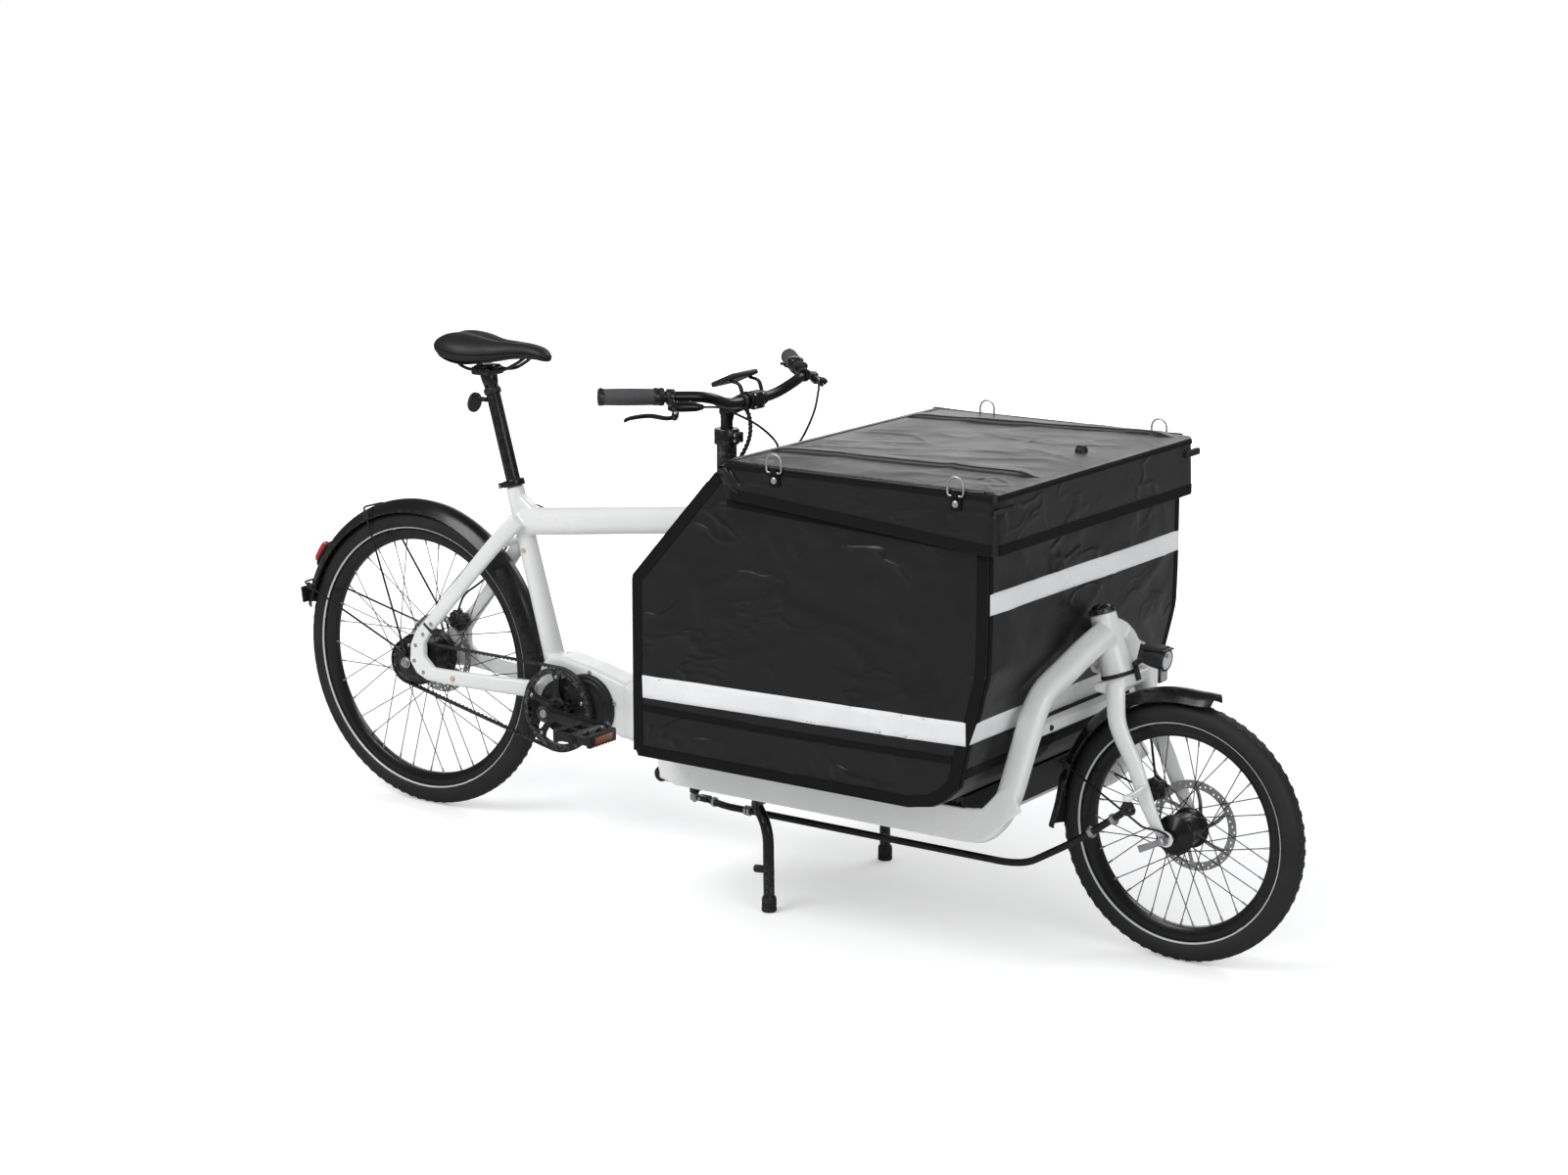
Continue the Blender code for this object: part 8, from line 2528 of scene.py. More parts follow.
    def build_piping(self) -> None:
        """Build the round gloss piping sewn along the lid's upper edge."""
        x0 = STATION_TO_WORLD.x
        route = [Vector((0.14 + x0, -0.365, 0.9175)), Vector((0.26 + x0, -0.371, 0.9215)),
            Vector((0.43 + x0, -0.3712, 0.9228)), Vector((0.62 + x0, -0.3708, 0.9222)),
            Vector((0.712 + x0, -0.367, 0.9215))]
        cords = []
        for side in (-1.0, 1.0):
            path = curve_through([Vector((p.x, -side * p.y, p.z)) for p in route], 10)
            for i, point in enumerate(path):
                spot = Vector((point.x, side * min(abs(point.y), self.lid_half - 0.0016), 0.0))
                path[i] = Vector((spot.x, spot.y, self.lid_top(spot.x, spot.y) + 0.0008))
            cords.append(sweep("piping", path, [(0.0034, 0.0034)] * len(path), 12, Z_AXIS))
        fit_out(shade(join("lid_piping", cords)), PIPING, "lid", "tarpaulin")

    def build_corner_folds(self) -> None:
        """Build the bundled cloth at the lid's two rear corners."""
        folds = []
        for side in (-1.0, 1.0):
            for dx, lift, radius in ((0.0, 0.0, 0.0085), (0.012, -0.004, 0.007),
                    (0.003, -0.013, 0.006)):
                route = [Vector((self.lid_rear + 0.006 + dx, side * 0.364, 0.919 + lift)),
                    Vector((self.lid_rear + 0.012 + dx, side * 0.372, 0.908 + lift)),
                    Vector((self.lid_rear + 0.026 + dx, side * 0.3735, 0.893 + lift)),
                    Vector((self.lid_rear + 0.045 + dx, side * 0.3725, 0.877 + lift))]
                path = curve_through(route, 8)
                last = len(path) - 1
                sizes = []
                for i in range(len(path)):
                    swell = 0.25 + 0.75 * math.sin(math.pi * (i + 0.4) / (last + 0.8))
                    sizes.append((radius * 0.55 * swell, radius * swell))
                folds.append(sweep("fold", path, sizes, 20, Z_AXIS))
        fit_out(shade(join("lid_corner_folds", folds), 60.0), LID_CLOTH, "lid", "tarpaulin")

    def build_knob(self) -> None:
        """Build the round turn lock and its base plate."""
        place = station(0.66, 0.065, 0.9293)
        knob = turned("turn_lock", [(0.0, 0.0), (0.015, 0.0), (0.0154, 0.001), (0.015, 0.003),
            (0.0126, 0.004), (0.0122, 0.006), (0.012, 0.0105), (0.0108, 0.0126), (0.0, 0.0132)],
            place, Z_AXIS, 48)
        grip = block("grip", place + Z_AXIS * 0.014, (0.02, 0.0052, 0.004), 0.0014)
        fit_out(shade(join("turn_lock_knob", [knob, grip])), MOULDED, "lid_knob", "black_plastic",
            ["lid_knob"])
        rivets = [socket_bolt("rivet", place + Vector((0.0105 * c, 0.0105 * s, 0.0096)), Z_AXIS,
            0.0016, 0.0012) for c, s in ((1, 0), (-1, 0))]
        for rivet in rivets:
            rivet.data.transform(Matrix.Translation((0.0, 0.0, 0.001)))
        fit_out(shade(join("turn_lock_rivets", rivets)), BRIGHT, "lid_knob", "bright_steel")

    def build_rings(self) -> None:
        """Build the four D-shaped rings with their lugs and snap buttons."""
        lugs, buttons = [], []
        for label, x in (("rear", 0.261), ("front", 0.656)):
            for side, hand in ((-1.0, "right"), (1.0, "left")):
                name = f"ring_{label}_{hand}"
                centre = station(x, side * 0.377, 0.918)
                path = [centre + Vector((-0.014, 0.0, 0.0)), centre
                    + Vector((-0.0165, 0.0, 0.004))]
                for i in range(13):
                    turn = math.radians(180.0 - 15.0 * i)
                    path.append(centre + Vector((0.0165 * math.cos(turn), 0.0,
                        0.018 + 0.0165 * math.sin(turn))))
                path += [centre + Vector((0.0165, 0.0, 0.004)), centre + Vector((0.014, 0.0, 0.0))]
                for i in range(1, 6):
                    path.append(centre + Vector((0.014 - 0.028 * i / 6, 0.0, 0.0)))
                rings = []
                count = len(path)
                for i, here in enumerate(path):
                    way = (path[(i + 1) % count] - path[i - 1]).normalized()
                    across = way.cross(Y_AXIS)
                    rings.append([here + Y_AXIS * 0.002 * math.cos(a) + across * 0.002
                        * math.sin(a) for a in [2.0 * math.pi * k / 12 for k in range(12)]])
                wire = loft("wire_" + name, rings, closed=True)
                fit_out(shade(wire, 60.0), BRIGHT, name, "bright_steel", [name])
                lugs.append(block("lug", centre + Vector((0.0, side * -0.0005, 0.0)),
                    (0.014, 0.0115, 0.0115), 0.004))
                lugs.append(block("tongue", centre + Vector((0.0, side * -0.0022, -0.014)),
                    (0.022, 0.004, 0.026), 0.0015))
                buttons.append(turned("button", [(0.0, 0.003), (0.004, 0.0028), (0.0062, 0.0014),
                    (0.0066, 0.0), (0.0, 0.0)], centre + Vector((0.0, side * -0.0002, -0.015)),
                    Y_AXIS * side, 28))
        fit_out(shade(join("ring_tongues", lugs)), WEBBING, "lid", "tarpaulin")
        fit_out(shade(join("snap_buttons", buttons)), BRIGHT, "lid", "bright_steel")


def thread_rings(points: Sequence[Vector]) -> list[list[Vector]]:
    """Return the square sections of one short raised thread through three points."""
    rings = []
    for index, point in enumerate(points):
        grow = THREAD_MIDDLE if index == 1 else THREAD_END
        rings.append([point + Y_AXIS * grow * math.cos(turn) + Z_AXIS * grow * math.sin(turn)
            for turn in [0.5 * math.pi * k for k in range(4)]])
    return rings


def thread_copy(model: bpy.types.Object, order: Sequence[int],
        corners: Sequence[Vector]) -> bpy.types.Object:
    """Copy a thread and move its corners.

    Args:
        model: the thread that was modelled.
        order: for each vertex, the corner that it stands at.
        corners: the new thread's corners.

    Returns:
        The new mesh object, with its own mesh.
    """
    piece = model.copy()
    piece.data = model.data.copy()
    bpy.context.scene.collection.objects.link(piece)
    for vertex, k in zip(piece.data.vertices, order):
        vertex.co = corners[k]
    return piece


# ---------------------------------------------------------------- cockpit and saddle


@dataclass
class Cockpit:
    """Stem, handlebar, grips, brake levers, display, bell and shifter."""

    clamp_share: float = 0.34

    def build(self) -> None:
        """Build and dress every piece of the cockpit."""
        self.build_stem()
        self.build_bar()
        for side in (-1.0, 1.0):
            self.build_grip(side)
            self.build_lever(side)
        self.build_display()
        self.build_bell()
        self.build_shifter()

    def bar_point(self, share: float, side: float) -> Vector:
        """Return a point on the straight hand section, 0 at the bend and 1 at the end."""
        point = BAR_BEND.lerp(BAR_END, share)
        return Vector((point.x, point.y * side, point.z))

    def lever_frame(self, side: float) -> tuple[Vector, Vector, Vector]:
        """Return the clamp's centre and the inboard and forward directions of one lever."""
        clamp = self.bar_point(self.clamp_share, side)
        inboard = (self.bar_point(0.0, side) - self.bar_point(1.0, side)).normalized()
        forward = Z_AXIS.cross(inboard).normalized()
        return clamp, inboard, forward if forward.x >= 0.0 else -forward

    def lever_pivot(self, side: float) -> tuple[Vector, Vector, Vector]:
        """Return the master cylinder's start, the blade's pivot and its hinge axis."""
        clamp, _, forward = self.lever_frame(side)
        barrel = clamp + forward * 0.028 - Z_AXIS * 0.016
        axis = (forward * 0.69 + Z_AXIS * 0.72).normalized()
        return barrel, barrel + forward * 0.018 - Z_AXIS * 0.017, axis

    def build_stem(self) -> None:
        """Build the stem's quill, its curved neck, the face plate and its bolts."""
        x = COLUMN_X
        parts = [cylinder("quill", Vector((x, 0.0, 0.8)), Vector((x, 0.0, 0.948)), 0.0127, 32)]
        neck = curve_through([Vector((x, 0.0, 0.93)), Vector((x + 0.006, 0.0, 0.95)),
            Vector((x + 0.026, 0.0, 0.962)), BAR_CLAMP - X_AXIS * 0.008], 6)
        parts.append(sweep("neck", neck, graded((0.0135, 0.0135), (0.018, 0.015), len(neck)), 28,
            Y_AXIS))
        top = turned("top", [(0.0, 0.94), (0.015, 0.94), (0.0158, 0.944), (0.015, 0.953),
            (0.011, 0.957), (0.0, 0.958)], Vector((x, 0.0, 0.0)), Z_AXIS, 36)
        parts.append(top)
        parts.append(cylinder("clamp", BAR_CLAMP - Y_AXIS * 0.021, BAR_CLAMP + Y_AXIS * 0.021,
            0.018, 40, 0.002))
        parts.append(block("plate", BAR_CLAMP + X_AXIS * 0.0135, (0.009, 0.04, 0.036), 0.0035))
        piece = weld_smooth(join("stem_body", parts), 0.0016, 4)
        fit_out(piece, SATIN_BLACK, "cockpit", "black_metal", ["stem"])
        bolts = [socket_bolt("bolt", BAR_CLAMP + Vector((0.0182, y, z)), X_AXIS, 0.0032, 0.0026)
            for y in (-0.014, 0.014) for z in (-0.0125, 0.0125)]
        bolts.append(socket_bolt("bolt", Vector((x, 0.0, 0.9576)), Z_AXIS, 0.0048, 0.0026))
        fit_out(shade(join("stem_bolts", bolts)), BRIGHT, "cockpit", "bright_steel")

    def build_bar(self) -> None:
        """Build the bent handlebar."""
        half = [BAR_CLAMP, Vector((BAR_CLAMP.x, 0.078, BAR_CLAMP.z)), BAR_BEND, BAR_END]
        whole = [Vector((p.x, -p.y, p.z)) for p in reversed(half[1:])] + half
        bar = tube("bent_handlebar", whole, BAR_RADIUS, 32, 0.035, 10)
        fit_out(shade(bar), SATIN_BLACK, "cockpit", "black_metal", ["handlebar"])

    def build_grip(self, side: float) -> None:
        """Build one ribbed grip with its lock rings and end cap."""
        hand = "right" if side < 0 else "left"
        start, end = self.bar_point(0.45, side), self.bar_point(0.995, side)
        way = (end - start).normalized()
        length = (end - start).length
        inner = BAR_RADIUS + 0.0003
        profile = [(inner, 0.01), (0.0158, 0.01), (0.0164, 0.0112)]
        count = 26
        for i in range(count):
            a = 0.013 + (length - 0.026) * i / count
            step = (length - 0.026) / count
            swell = 0.0157 + 0.0007 * math.sin(math.pi * i / (count - 1))
            profile += [(swell, a), (swell + 0.0007, a + step * 0.2),
                (swell + 0.0007, a + step * 0.6), (swell, a + step * 0.8)]
        profile += [(0.0164, length - 0.0112), (0.0158, length - 0.01), (inner, length - 0.01)]
        grip = turned("hand_grip_" + hand, profile, start, way, 48, True)
        fit_out(shade(grip, 50.0), GRIP_GREY, "cockpit", "rubber", ["grip_" + hand])
        rings = []
        for a in (0.0, length - 0.0098):
            rings.append(turned("ring", [(inner, a), (0.0165, a), (0.0172, a + 0.0008),
                (0.0172, a + 0.009), (0.0165, a + 0.0098), (inner, a + 0.0098)], start, way, 40,
                True))
            seat = start + way * (a + 0.0049) + Z_AXIS * 0.017
            rings.append(socket_bolt("bolt", seat, Z_AXIS, 0.0024, 0.0014))
        rings.append(turned("cap", [(0.0, length + 0.0006), (0.011, length + 0.0004),
            (0.014, length - 0.0006), (0.014, length - 0.002), (0.0, length - 0.002)], start, way,
            32))
        fit_out(shade(join("grip_rings_" + hand, rings)), SATIN_BLACK, "cockpit", "black_metal")

    def build_lever(self, side: float) -> None:
        """Build one brake lever's clamp, reservoir, link, ear and blade."""
        hand = "right" if side < 0 else "left"
        clamp, inboard, forward = self.lever_frame(side)
        barrel, pivot, axis = self.lever_pivot(side)
        parts = [turned("band", [(0.0114, -0.008), (0.0148, -0.008), (0.0155, -0.0072),
            (0.0155, 0.0072), (0.0148, 0.008), (0.0114, 0.008)], clamp, inboard, 36, True)]
        neck = [clamp, clamp.lerp(barrel, 0.5), barrel]
        parts.append(sweep("neck", neck, [(0.009, 0.0085), (0.0078, 0.0078), (0.0084, 0.0084)], 20,
            inboard))
        route = [barrel - inboard * 0.01, barrel - inboard * 0.004, barrel,
            barrel + inboard * 0.022, barrel + inboard * 0.045, barrel + inboard * 0.053,
            barrel + inboard * 0.06]
        sizes = [(0.006, 0.006), (0.0085, 0.0085), (0.0096, 0.0096), (0.0096, 0.0096),
            (0.009, 0.009), (0.0068, 0.0068), (0.005, 0.005)]
        parts.append(sweep("barrel", route, sizes, 28))
        parts.append(cylinder("ear", pivot + axis * 0.0034, pivot + axis * 0.0145, 0.0072, 28,
            0.001))
        parts.append(sweep("link", [barrel, pivot + axis * 0.011],
            [(0.0052, 0.0052), (0.0042, 0.0042)], 20, inboard))
        body = shade(join("brake_body_" + hand, parts), 45.0)
        fit_out(body, SATIN_BLACK, "cockpit", "black_metal", ["lever_body_" + hand])
        lid = block("reservoir", barrel + inboard * 0.021 + Z_AXIS * 0.0095,
            (0.034, 0.015, 0.0036), 0.0012, self.aligned(inboard))
        fit_out(shade(lid), MOULDED, "cockpit", "black_plastic")
        lid.name = "reservoir_lid_" + hand
        screws = [socket_bolt("screw", barrel + inboard * (0.021 + dx) + Z_AXIS * 0.0112, Z_AXIS,
            0.0018, 0.001) for dx in (-0.013, 0.013)]
        screws.append(socket_bolt("screw", clamp - forward * 0.015, -forward, 0.003, 0.0024))
        screws.append(socket_bolt("screw", pivot + axis * 0.0144, axis, 0.0036, 0.0016))
        fit_out(shade(join("lever_screws_" + hand, screws)), BRIGHT, "cockpit", "bright_steel")
        self.build_blade(hand, pivot, axis, forward, inboard)

    def aligned(self, way: Vector) -> Matrix:
        """Return the turn that points a block's X axis along a direction."""
        return way.to_track_quat("X", "Z").to_matrix().to_4x4()

    def build_blade(self, hand: str, pivot: Vector, axis: Vector, forward: Vector,
            inboard: Vector) -> None:
        """Build one lever blade on its pivot disc."""
        disc = cylinder("disc", pivot - axis * 0.0031, pivot + axis * 0.0031, 0.0062, 28, 0.0006)
        outboard = -inboard
        across = (forward - axis * forward.dot(axis)).normalized()
        path = curve_through([pivot, pivot + outboard * 0.018 + across * 0.002,
            pivot + outboard * 0.05 - across * 0.004, pivot + outboard * 0.085 + across * 0.001,
            pivot + outboard * 0.1 + across * 0.008], 7)
        last = len(path) - 1
        sizes = []
        for i in range(last + 1):
            t = i / last
            width = 0.003 if t < 0.93 else 0.003 * math.sqrt(max(1.0 - ((t - 0.93) / 0.075) ** 2,
                0.05))
            sizes.append((width, 0.005 + 0.0011 * math.sin(math.pi * min(t * 1.15, 1.0))))
        blade = sweep("blade", path, sizes, 24, axis, 0.8)
        fit_out(shade(join("lever_blade_" + hand, [disc, blade]), 50.0), SATIN_BLACK,
            "brake_lever_" + hand, "black_metal", ["brake_lever_" + hand])

    def build_display(self) -> None:
        """Build the tilted display with its bezel, window, clips and arms."""
        turn = Matrix.Rotation(math.radians(-24.0), 4, "Y")
        centre = Vector((-0.099, 0.0, 1.0145)) + STATION_TO_WORLD
        case = block("case", centre, (0.06, 0.088, 0.011), 0.0038, turn)
        parts = [case]
        for side in (-1.0, 1.0):
            parts.append(turned("clip", [(0.0113, -0.004), (0.0142, -0.004), (0.015, -0.003),
                (0.015, 0.003), (0.0142, 0.004), (0.0113, 0.004)],
                BAR_CLAMP + Y_AXIS * side * 0.033, Y_AXIS, 36, True))
            arm = curve_through([BAR_CLAMP + Vector((0.0, side * 0.033, 0.012)),
                BAR_CLAMP + Vector((-0.008, side * 0.033, 0.033)),
                station(-0.085, side * 0.033, 1.013)], 5)
            parts.append(sweep("arm", arm, [(0.005, 0.003)] * len(arm), 16, X_AXIS, 0.7))
        body = join("display_case", parts)
        fit_out(shade(body), MOULDED, "cockpit", "black_plastic", ["display"])
        window = block("display_window", centre + turn @ Vector((0.002, 0.0, 0.0053)),
            (0.048, 0.074, 0.0012), 0.0005, turn)
        fit_out(shade(window), GLASS_BLACK, "cockpit", "black_plastic")

    def build_bell(self) -> None:
        """Build the bell's dome, its base, its clapper and its clamp."""
        place = self.bar_point(0.02, 1.0)
        seat = station(-0.1, 0.215, 1.0085)
        dome = turned("bell_dome", [(0.0, 0.0225), (0.008, 0.0222), (0.013, 0.0205),
            (0.0158, 0.018), (0.0168, 0.015), (0.017, 0.0068), (0.0158, 0.006), (0.0, 0.006)],
            seat, Z_AXIS, 44)
        fit_out(shade(dome), SATIN_BLACK, "cockpit", "black_metal")
        base = turned("base", [(0.0, -0.001), (0.011, -0.001), (0.0215, 0.0008), (0.0248, 0.0022),
            (0.0252, 0.0044), (0.0235, 0.0062), (0.0168, 0.0068), (0.0, 0.0068)], seat, Z_AXIS, 44)
        arm = block("arm", seat + Vector((-0.0215, -0.014, 0.0075)), (0.013, 0.007, 0.006), 0.0016)
        foot = sweep("foot", [place, place.lerp(seat, 0.6), seat + Z_AXIS * 0.001],
            [(0.0105, 0.0105), (0.009, 0.009), (0.01, 0.01)], 20)
        way = (self.bar_point(1.0, 1.0) - self.bar_point(0.0, 1.0)).normalized()
        band = turned("band", [(0.0112, -0.005), (0.0136, -0.005), (0.014, -0.0044),
            (0.014, 0.0044), (0.0136, 0.005), (0.0112, 0.005)], place, way, 32, True)
        fit_out(shade(join("bell_base", [base, arm, foot, band])), MOULDED, "cockpit",
            "black_plastic")

    def build_shifter(self) -> None:
        """Build the gear twist ring on the right and the drive's button pad on the left."""
        parts = []
        for side, low, high, radius in ((-1.0, 0.355, 0.448, 0.0178), (1.0, 0.388, 0.448, 0.0165)):
            start, end = self.bar_point(low + 0.045, side), self.bar_point(high, side)
            way = (end - start).normalized()
            length = (end - start).length
            profile = [(0.0114, 0.0), (radius - 0.0015, 0.0), (radius, 0.0014)]
            steps = 5
            for i in range(steps):
                a = 0.0016 + (length - 0.0032) * i / steps
                profile += [(radius, a), (radius - 0.0006, a + (length - 0.0032) * 0.5 / steps)]
            profile += [(radius, length - 0.0014), (radius - 0.0015, length), (0.0114, length)]
            parts.append(turned("ring", profile, start, way, 36, True))
        _, inboard, forward = self.lever_frame(1.0)
        pad_place = self.bar_point(0.2, 1.0) + Z_AXIS * 0.012 - forward * 0.002
        parts.append(block("pad", pad_place, (0.024, 0.03, 0.012), 0.004, self.aligned(inboard)))
        for k in (-1.0, 1.0):
            parts.append(block("key", pad_place + Z_AXIS * 0.0062 + inboard * 0.006 * k,
                (0.008, 0.016, 0.003), 0.0012, self.aligned(inboard)))
        fit_out(shade(join("shifter_and_buttons", parts)), MOULDED, "cockpit", "black_plastic")


@dataclass
class Seat:
    """Padded saddle, its rails, post, clamp and rear reflector."""

    def build(self) -> None:
        """Build and dress every piece of the seat."""
        self.build_cover()
        self.build_post()
        self.build_reflector()

    def stations_along(self) -> list[Vector]:
        """Return (station x, top, low) points along the saddle."""
        return [Vector((-0.848, 1.035, 1.021)), Vector((-0.84, 1.043, 1.013)),
            Vector((-0.82, 1.049, 1.002)), Vector((-0.79, 1.049, 0.9945)),
            Vector((-0.76, 1.0455, 0.9915)), Vector((-0.73, 1.0405, 0.9945)),
            Vector((-0.7, 1.038, 1.0)), Vector((-0.665, 1.0385, 1.007)),
            Vector((-0.63, 1.0385, 1.0105)), Vector((-0.6, 1.035, 1.011)),
            Vector((-0.582, 1.028, 1.0085)), Vector((-0.5735, 1.019, 1.008))]

    def build_cover(self) -> None:
        """Build the saddle's padded cover with a pressure channel, seams and a shell."""
        halves = [0.04, 0.056, 0.069, 0.0745, 0.0715, 0.06, 0.0445, 0.033, 0.0265, 0.0225, 0.0165,
            0.008]
        knots = self.stations_along()
        line = curve_through(knots, 5)
        widths = [p.x for p in curve_through([Vector((h, 0.0, 0.0)) for h in halves], 5)]
        rings = []
        around = 56
        for here, half in zip(line, widths):
            x, top, low = here
            middle = low + 0.3 * (top - low)
            ring = []
            for k in range(around):
                turn = 2.0 * math.pi * k / around
                c, s = math.cos(turn), math.sin(turn)
                y = half * math.copysign(abs(c) ** 0.8, c)
                rise = (top - middle) if s > 0.0 else (middle - low)
                z = middle + rise * math.copysign(abs(s) ** 0.7, s)
                if s > 0.0:
                    groove = math.exp(-((y / 0.0085) ** 2))
                    long = smooth_step(-0.84, -0.815, x) * (1.0 - smooth_step(-0.69, -0.62, x))
                    z -= 0.0042 * groove * long
                    cheeks = math.exp(-(((abs(y) - half * 0.52) / 0.022) ** 2))
                    z += 0.0016 * cheeks * smooth_step(-0.848, -0.82,
                        x) * (1.0 - smooth_step(-0.76, -0.7, x))
                ring.append(station(x, y, z))
            rings.append(ring)
        cover = loft("saddle_cover_skin", rings)
        puff_cloth(cover, 0.003)
        fit_out(shade(cover, 80.0), LEATHER, "saddle", "saddle_skin", ["saddle_cover"])
        self.build_seams(line, widths)
        self.build_base(line, widths)

    def build_seams(self, line: Sequence[Vector], widths: Sequence[float]) -> None:
        """Build the piped seam round the saddle's side."""
        path = []
        for here, half in zip(line[2:-2], widths[2:-2]):
            x, top, low = here
            z = low + (top - low) * 0.42
            path.append(station(x, -half * 0.985 - 0.0002, z))
        far = [Vector((p.x, -p.y, p.z)) for p in path]
        whole = path + [station(-0.5732, 0.0, 1.0125)] + list(reversed(far))
        seam = sweep("saddle_piping", whole, [(0.0011, 0.0011)] * len(whole), 10)
        fit_out(shade(seam), WEBBING, "saddle", "saddle_skin")

    def build_base(self, line: Sequence[Vector], widths: Sequence[float]) -> None:
        """Build the moulded shell under the padding."""
        rings = []
        for here, half in list(zip(line, widths))[3:-2]:
            x, _, low = here
            ring = []
            for k in range(24):
                turn = 2.0 * math.pi * k / 24
                c, s = math.cos(turn), math.sin(turn)
                ring.append(station(x, half * 0.88 * math.copysign(abs(c) ** 0.8, c),
                    low + 0.0012 + 0.0034 * math.copysign(abs(s) ** 0.8, s)))
            rings.append(ring)
        base = loft("saddle_shell", rings)
        fit_out(shade(base, 60.0), MOULDED, "saddle", "black_plastic")

    def build_post(self) -> None:
        """Build the seat post, the rail clamp, the rails and the clamp bolts."""
        up = (SEAT_TOP - SEAT_LOW).normalized()
        post = cylinder("post", SEAT_TOP - up * 0.17, POST_TOP, 0.0154, 40, 0.001)
        head = turned("head", [(0.0, -0.026), (0.0156, -0.026), (0.0172, -0.018), (0.0185, -0.006),
            (0.018, 0.0), (0.0, 0.001)], POST_TOP, up, 36)
        clamp = block("clamp", station(-0.741, 0.0, 0.974), (0.048, 0.056, 0.018), 0.005)
        top = block("top", station(-0.741, 0.0, 0.9835), (0.034, 0.05, 0.005), 0.002)
        piece = join("seat_post_tube", [post, head, clamp, top])
        rails = []
        for side in (-1.0, 1.0):
            path = [station(x, side * y, z) for x, y, z in ((-0.625, 0.01, 1.015),
                (-0.642, 0.015, 1.001), (-0.685, 0.022, 0.978), (-0.778, 0.022, 0.976),
                (-0.799, 0.027, 0.986), (-0.808, 0.03, 1.006))]
            rails.append(tube("rail", path, 0.0035, 16, 0.02, 5))
        fit_out(shade(piece, 40.0), SATIN_BLACK, "saddle", "black_metal", ["seatpost"])
        fit_out(shade(join("saddle_rails", rails)), SATIN_BLACK, "saddle", "black_metal")
        bolts = [cylinder("bolt", station(-0.741 + dx, 0.0, 0.963),
            station(-0.741 + dx, 0.0, 0.987), 0.003, 16, 0.0004) for dx in (-0.017, 0.017)]
        fit_out(shade(join("saddle_clamp_bolts", bolts)), BRIGHT, "saddle", "bright_steel")

    def build_reflector(self) -> None:
        """Build the round rear reflector on its post clamp."""
        up = (SEAT_TOP - SEAT_LOW).normalized()
        base = SEAT_TOP.lerp(POST_TOP, 0.84)
        band = turned("band", [(0.0156, -0.006), (0.018, -0.006), (0.0186, -0.005),
            (0.0186, 0.005), (0.018, 0.006), (0.0156, 0.006)], base, up, 36, True)
        place = station(-0.7745, 0.0, 0.9015)
        arm = block("arm", (base + place) * 0.5 + Vector((-0.004, 0.0, -0.006)),
            (0.026, 0.01, 0.01), 0.0025)
        way = Vector((-1.0, 0.0, 0.1)).normalized()
        shell = turned("shell", [(0.0, 0.0), (0.02, 0.0), (0.0215, 0.0014), (0.0215, 0.006),
            (0.0196, 0.0072), (0.0, 0.0072)], place, way, 44)
        fit_out(shade(join("seat_reflector_mount", [band, arm, shell])), MOULDED, "saddle",
            "black_plastic")
        lens = turned("seat_reflector_lens", [(0.0, 0.0088), (0.01, 0.0086), (0.018, 0.008),
            (0.0194, 0.007), (0.0, 0.007)], place, way, 44)
        fit_out(shade(lens), RED_LENS, "saddle", "red_lens")


def puff_cloth(piece: bpy.types.Object, cap: float) -> None:
    """Swell a padded skin with a short cloth simulation and apply the result.

    Args:
        piece: the padded mesh.
        cap: the furthest that a point may move, in metres.
    """
    scene = bpy.context.scene
    rest = [vertex.co.copy() for vertex in piece.data.vertices]
    activate(piece)
    modifier = piece.modifiers.new("padding", "CLOTH")
    settings = modifier.settings
    settings.quality = 6
    settings.mass = 0.3
    settings.tension_stiffness = 30.0
    settings.compression_stiffness = 30.0
    settings.shear_stiffness = 15.0
    settings.bending_stiffness = 2.0
    settings.use_pressure = True
    settings.uniform_pressure_force = 2.0
    settings.effector_weights.gravity = 0.0
    modifier.point_cache.frame_start = 1
    modifier.point_cache.frame_end = 12
    for step in range(1, 13):
        scene.frame_set(step)
    apply_modifier(piece, modifier)
    scene.frame_set(1)
    for vertex, start in zip(piece.data.vertices, rest):
        move = vertex.co - start
        if move.length > cap:
            vertex.co = start + move.normalized() * cap


# ---------------------------------------------------------------- hoses


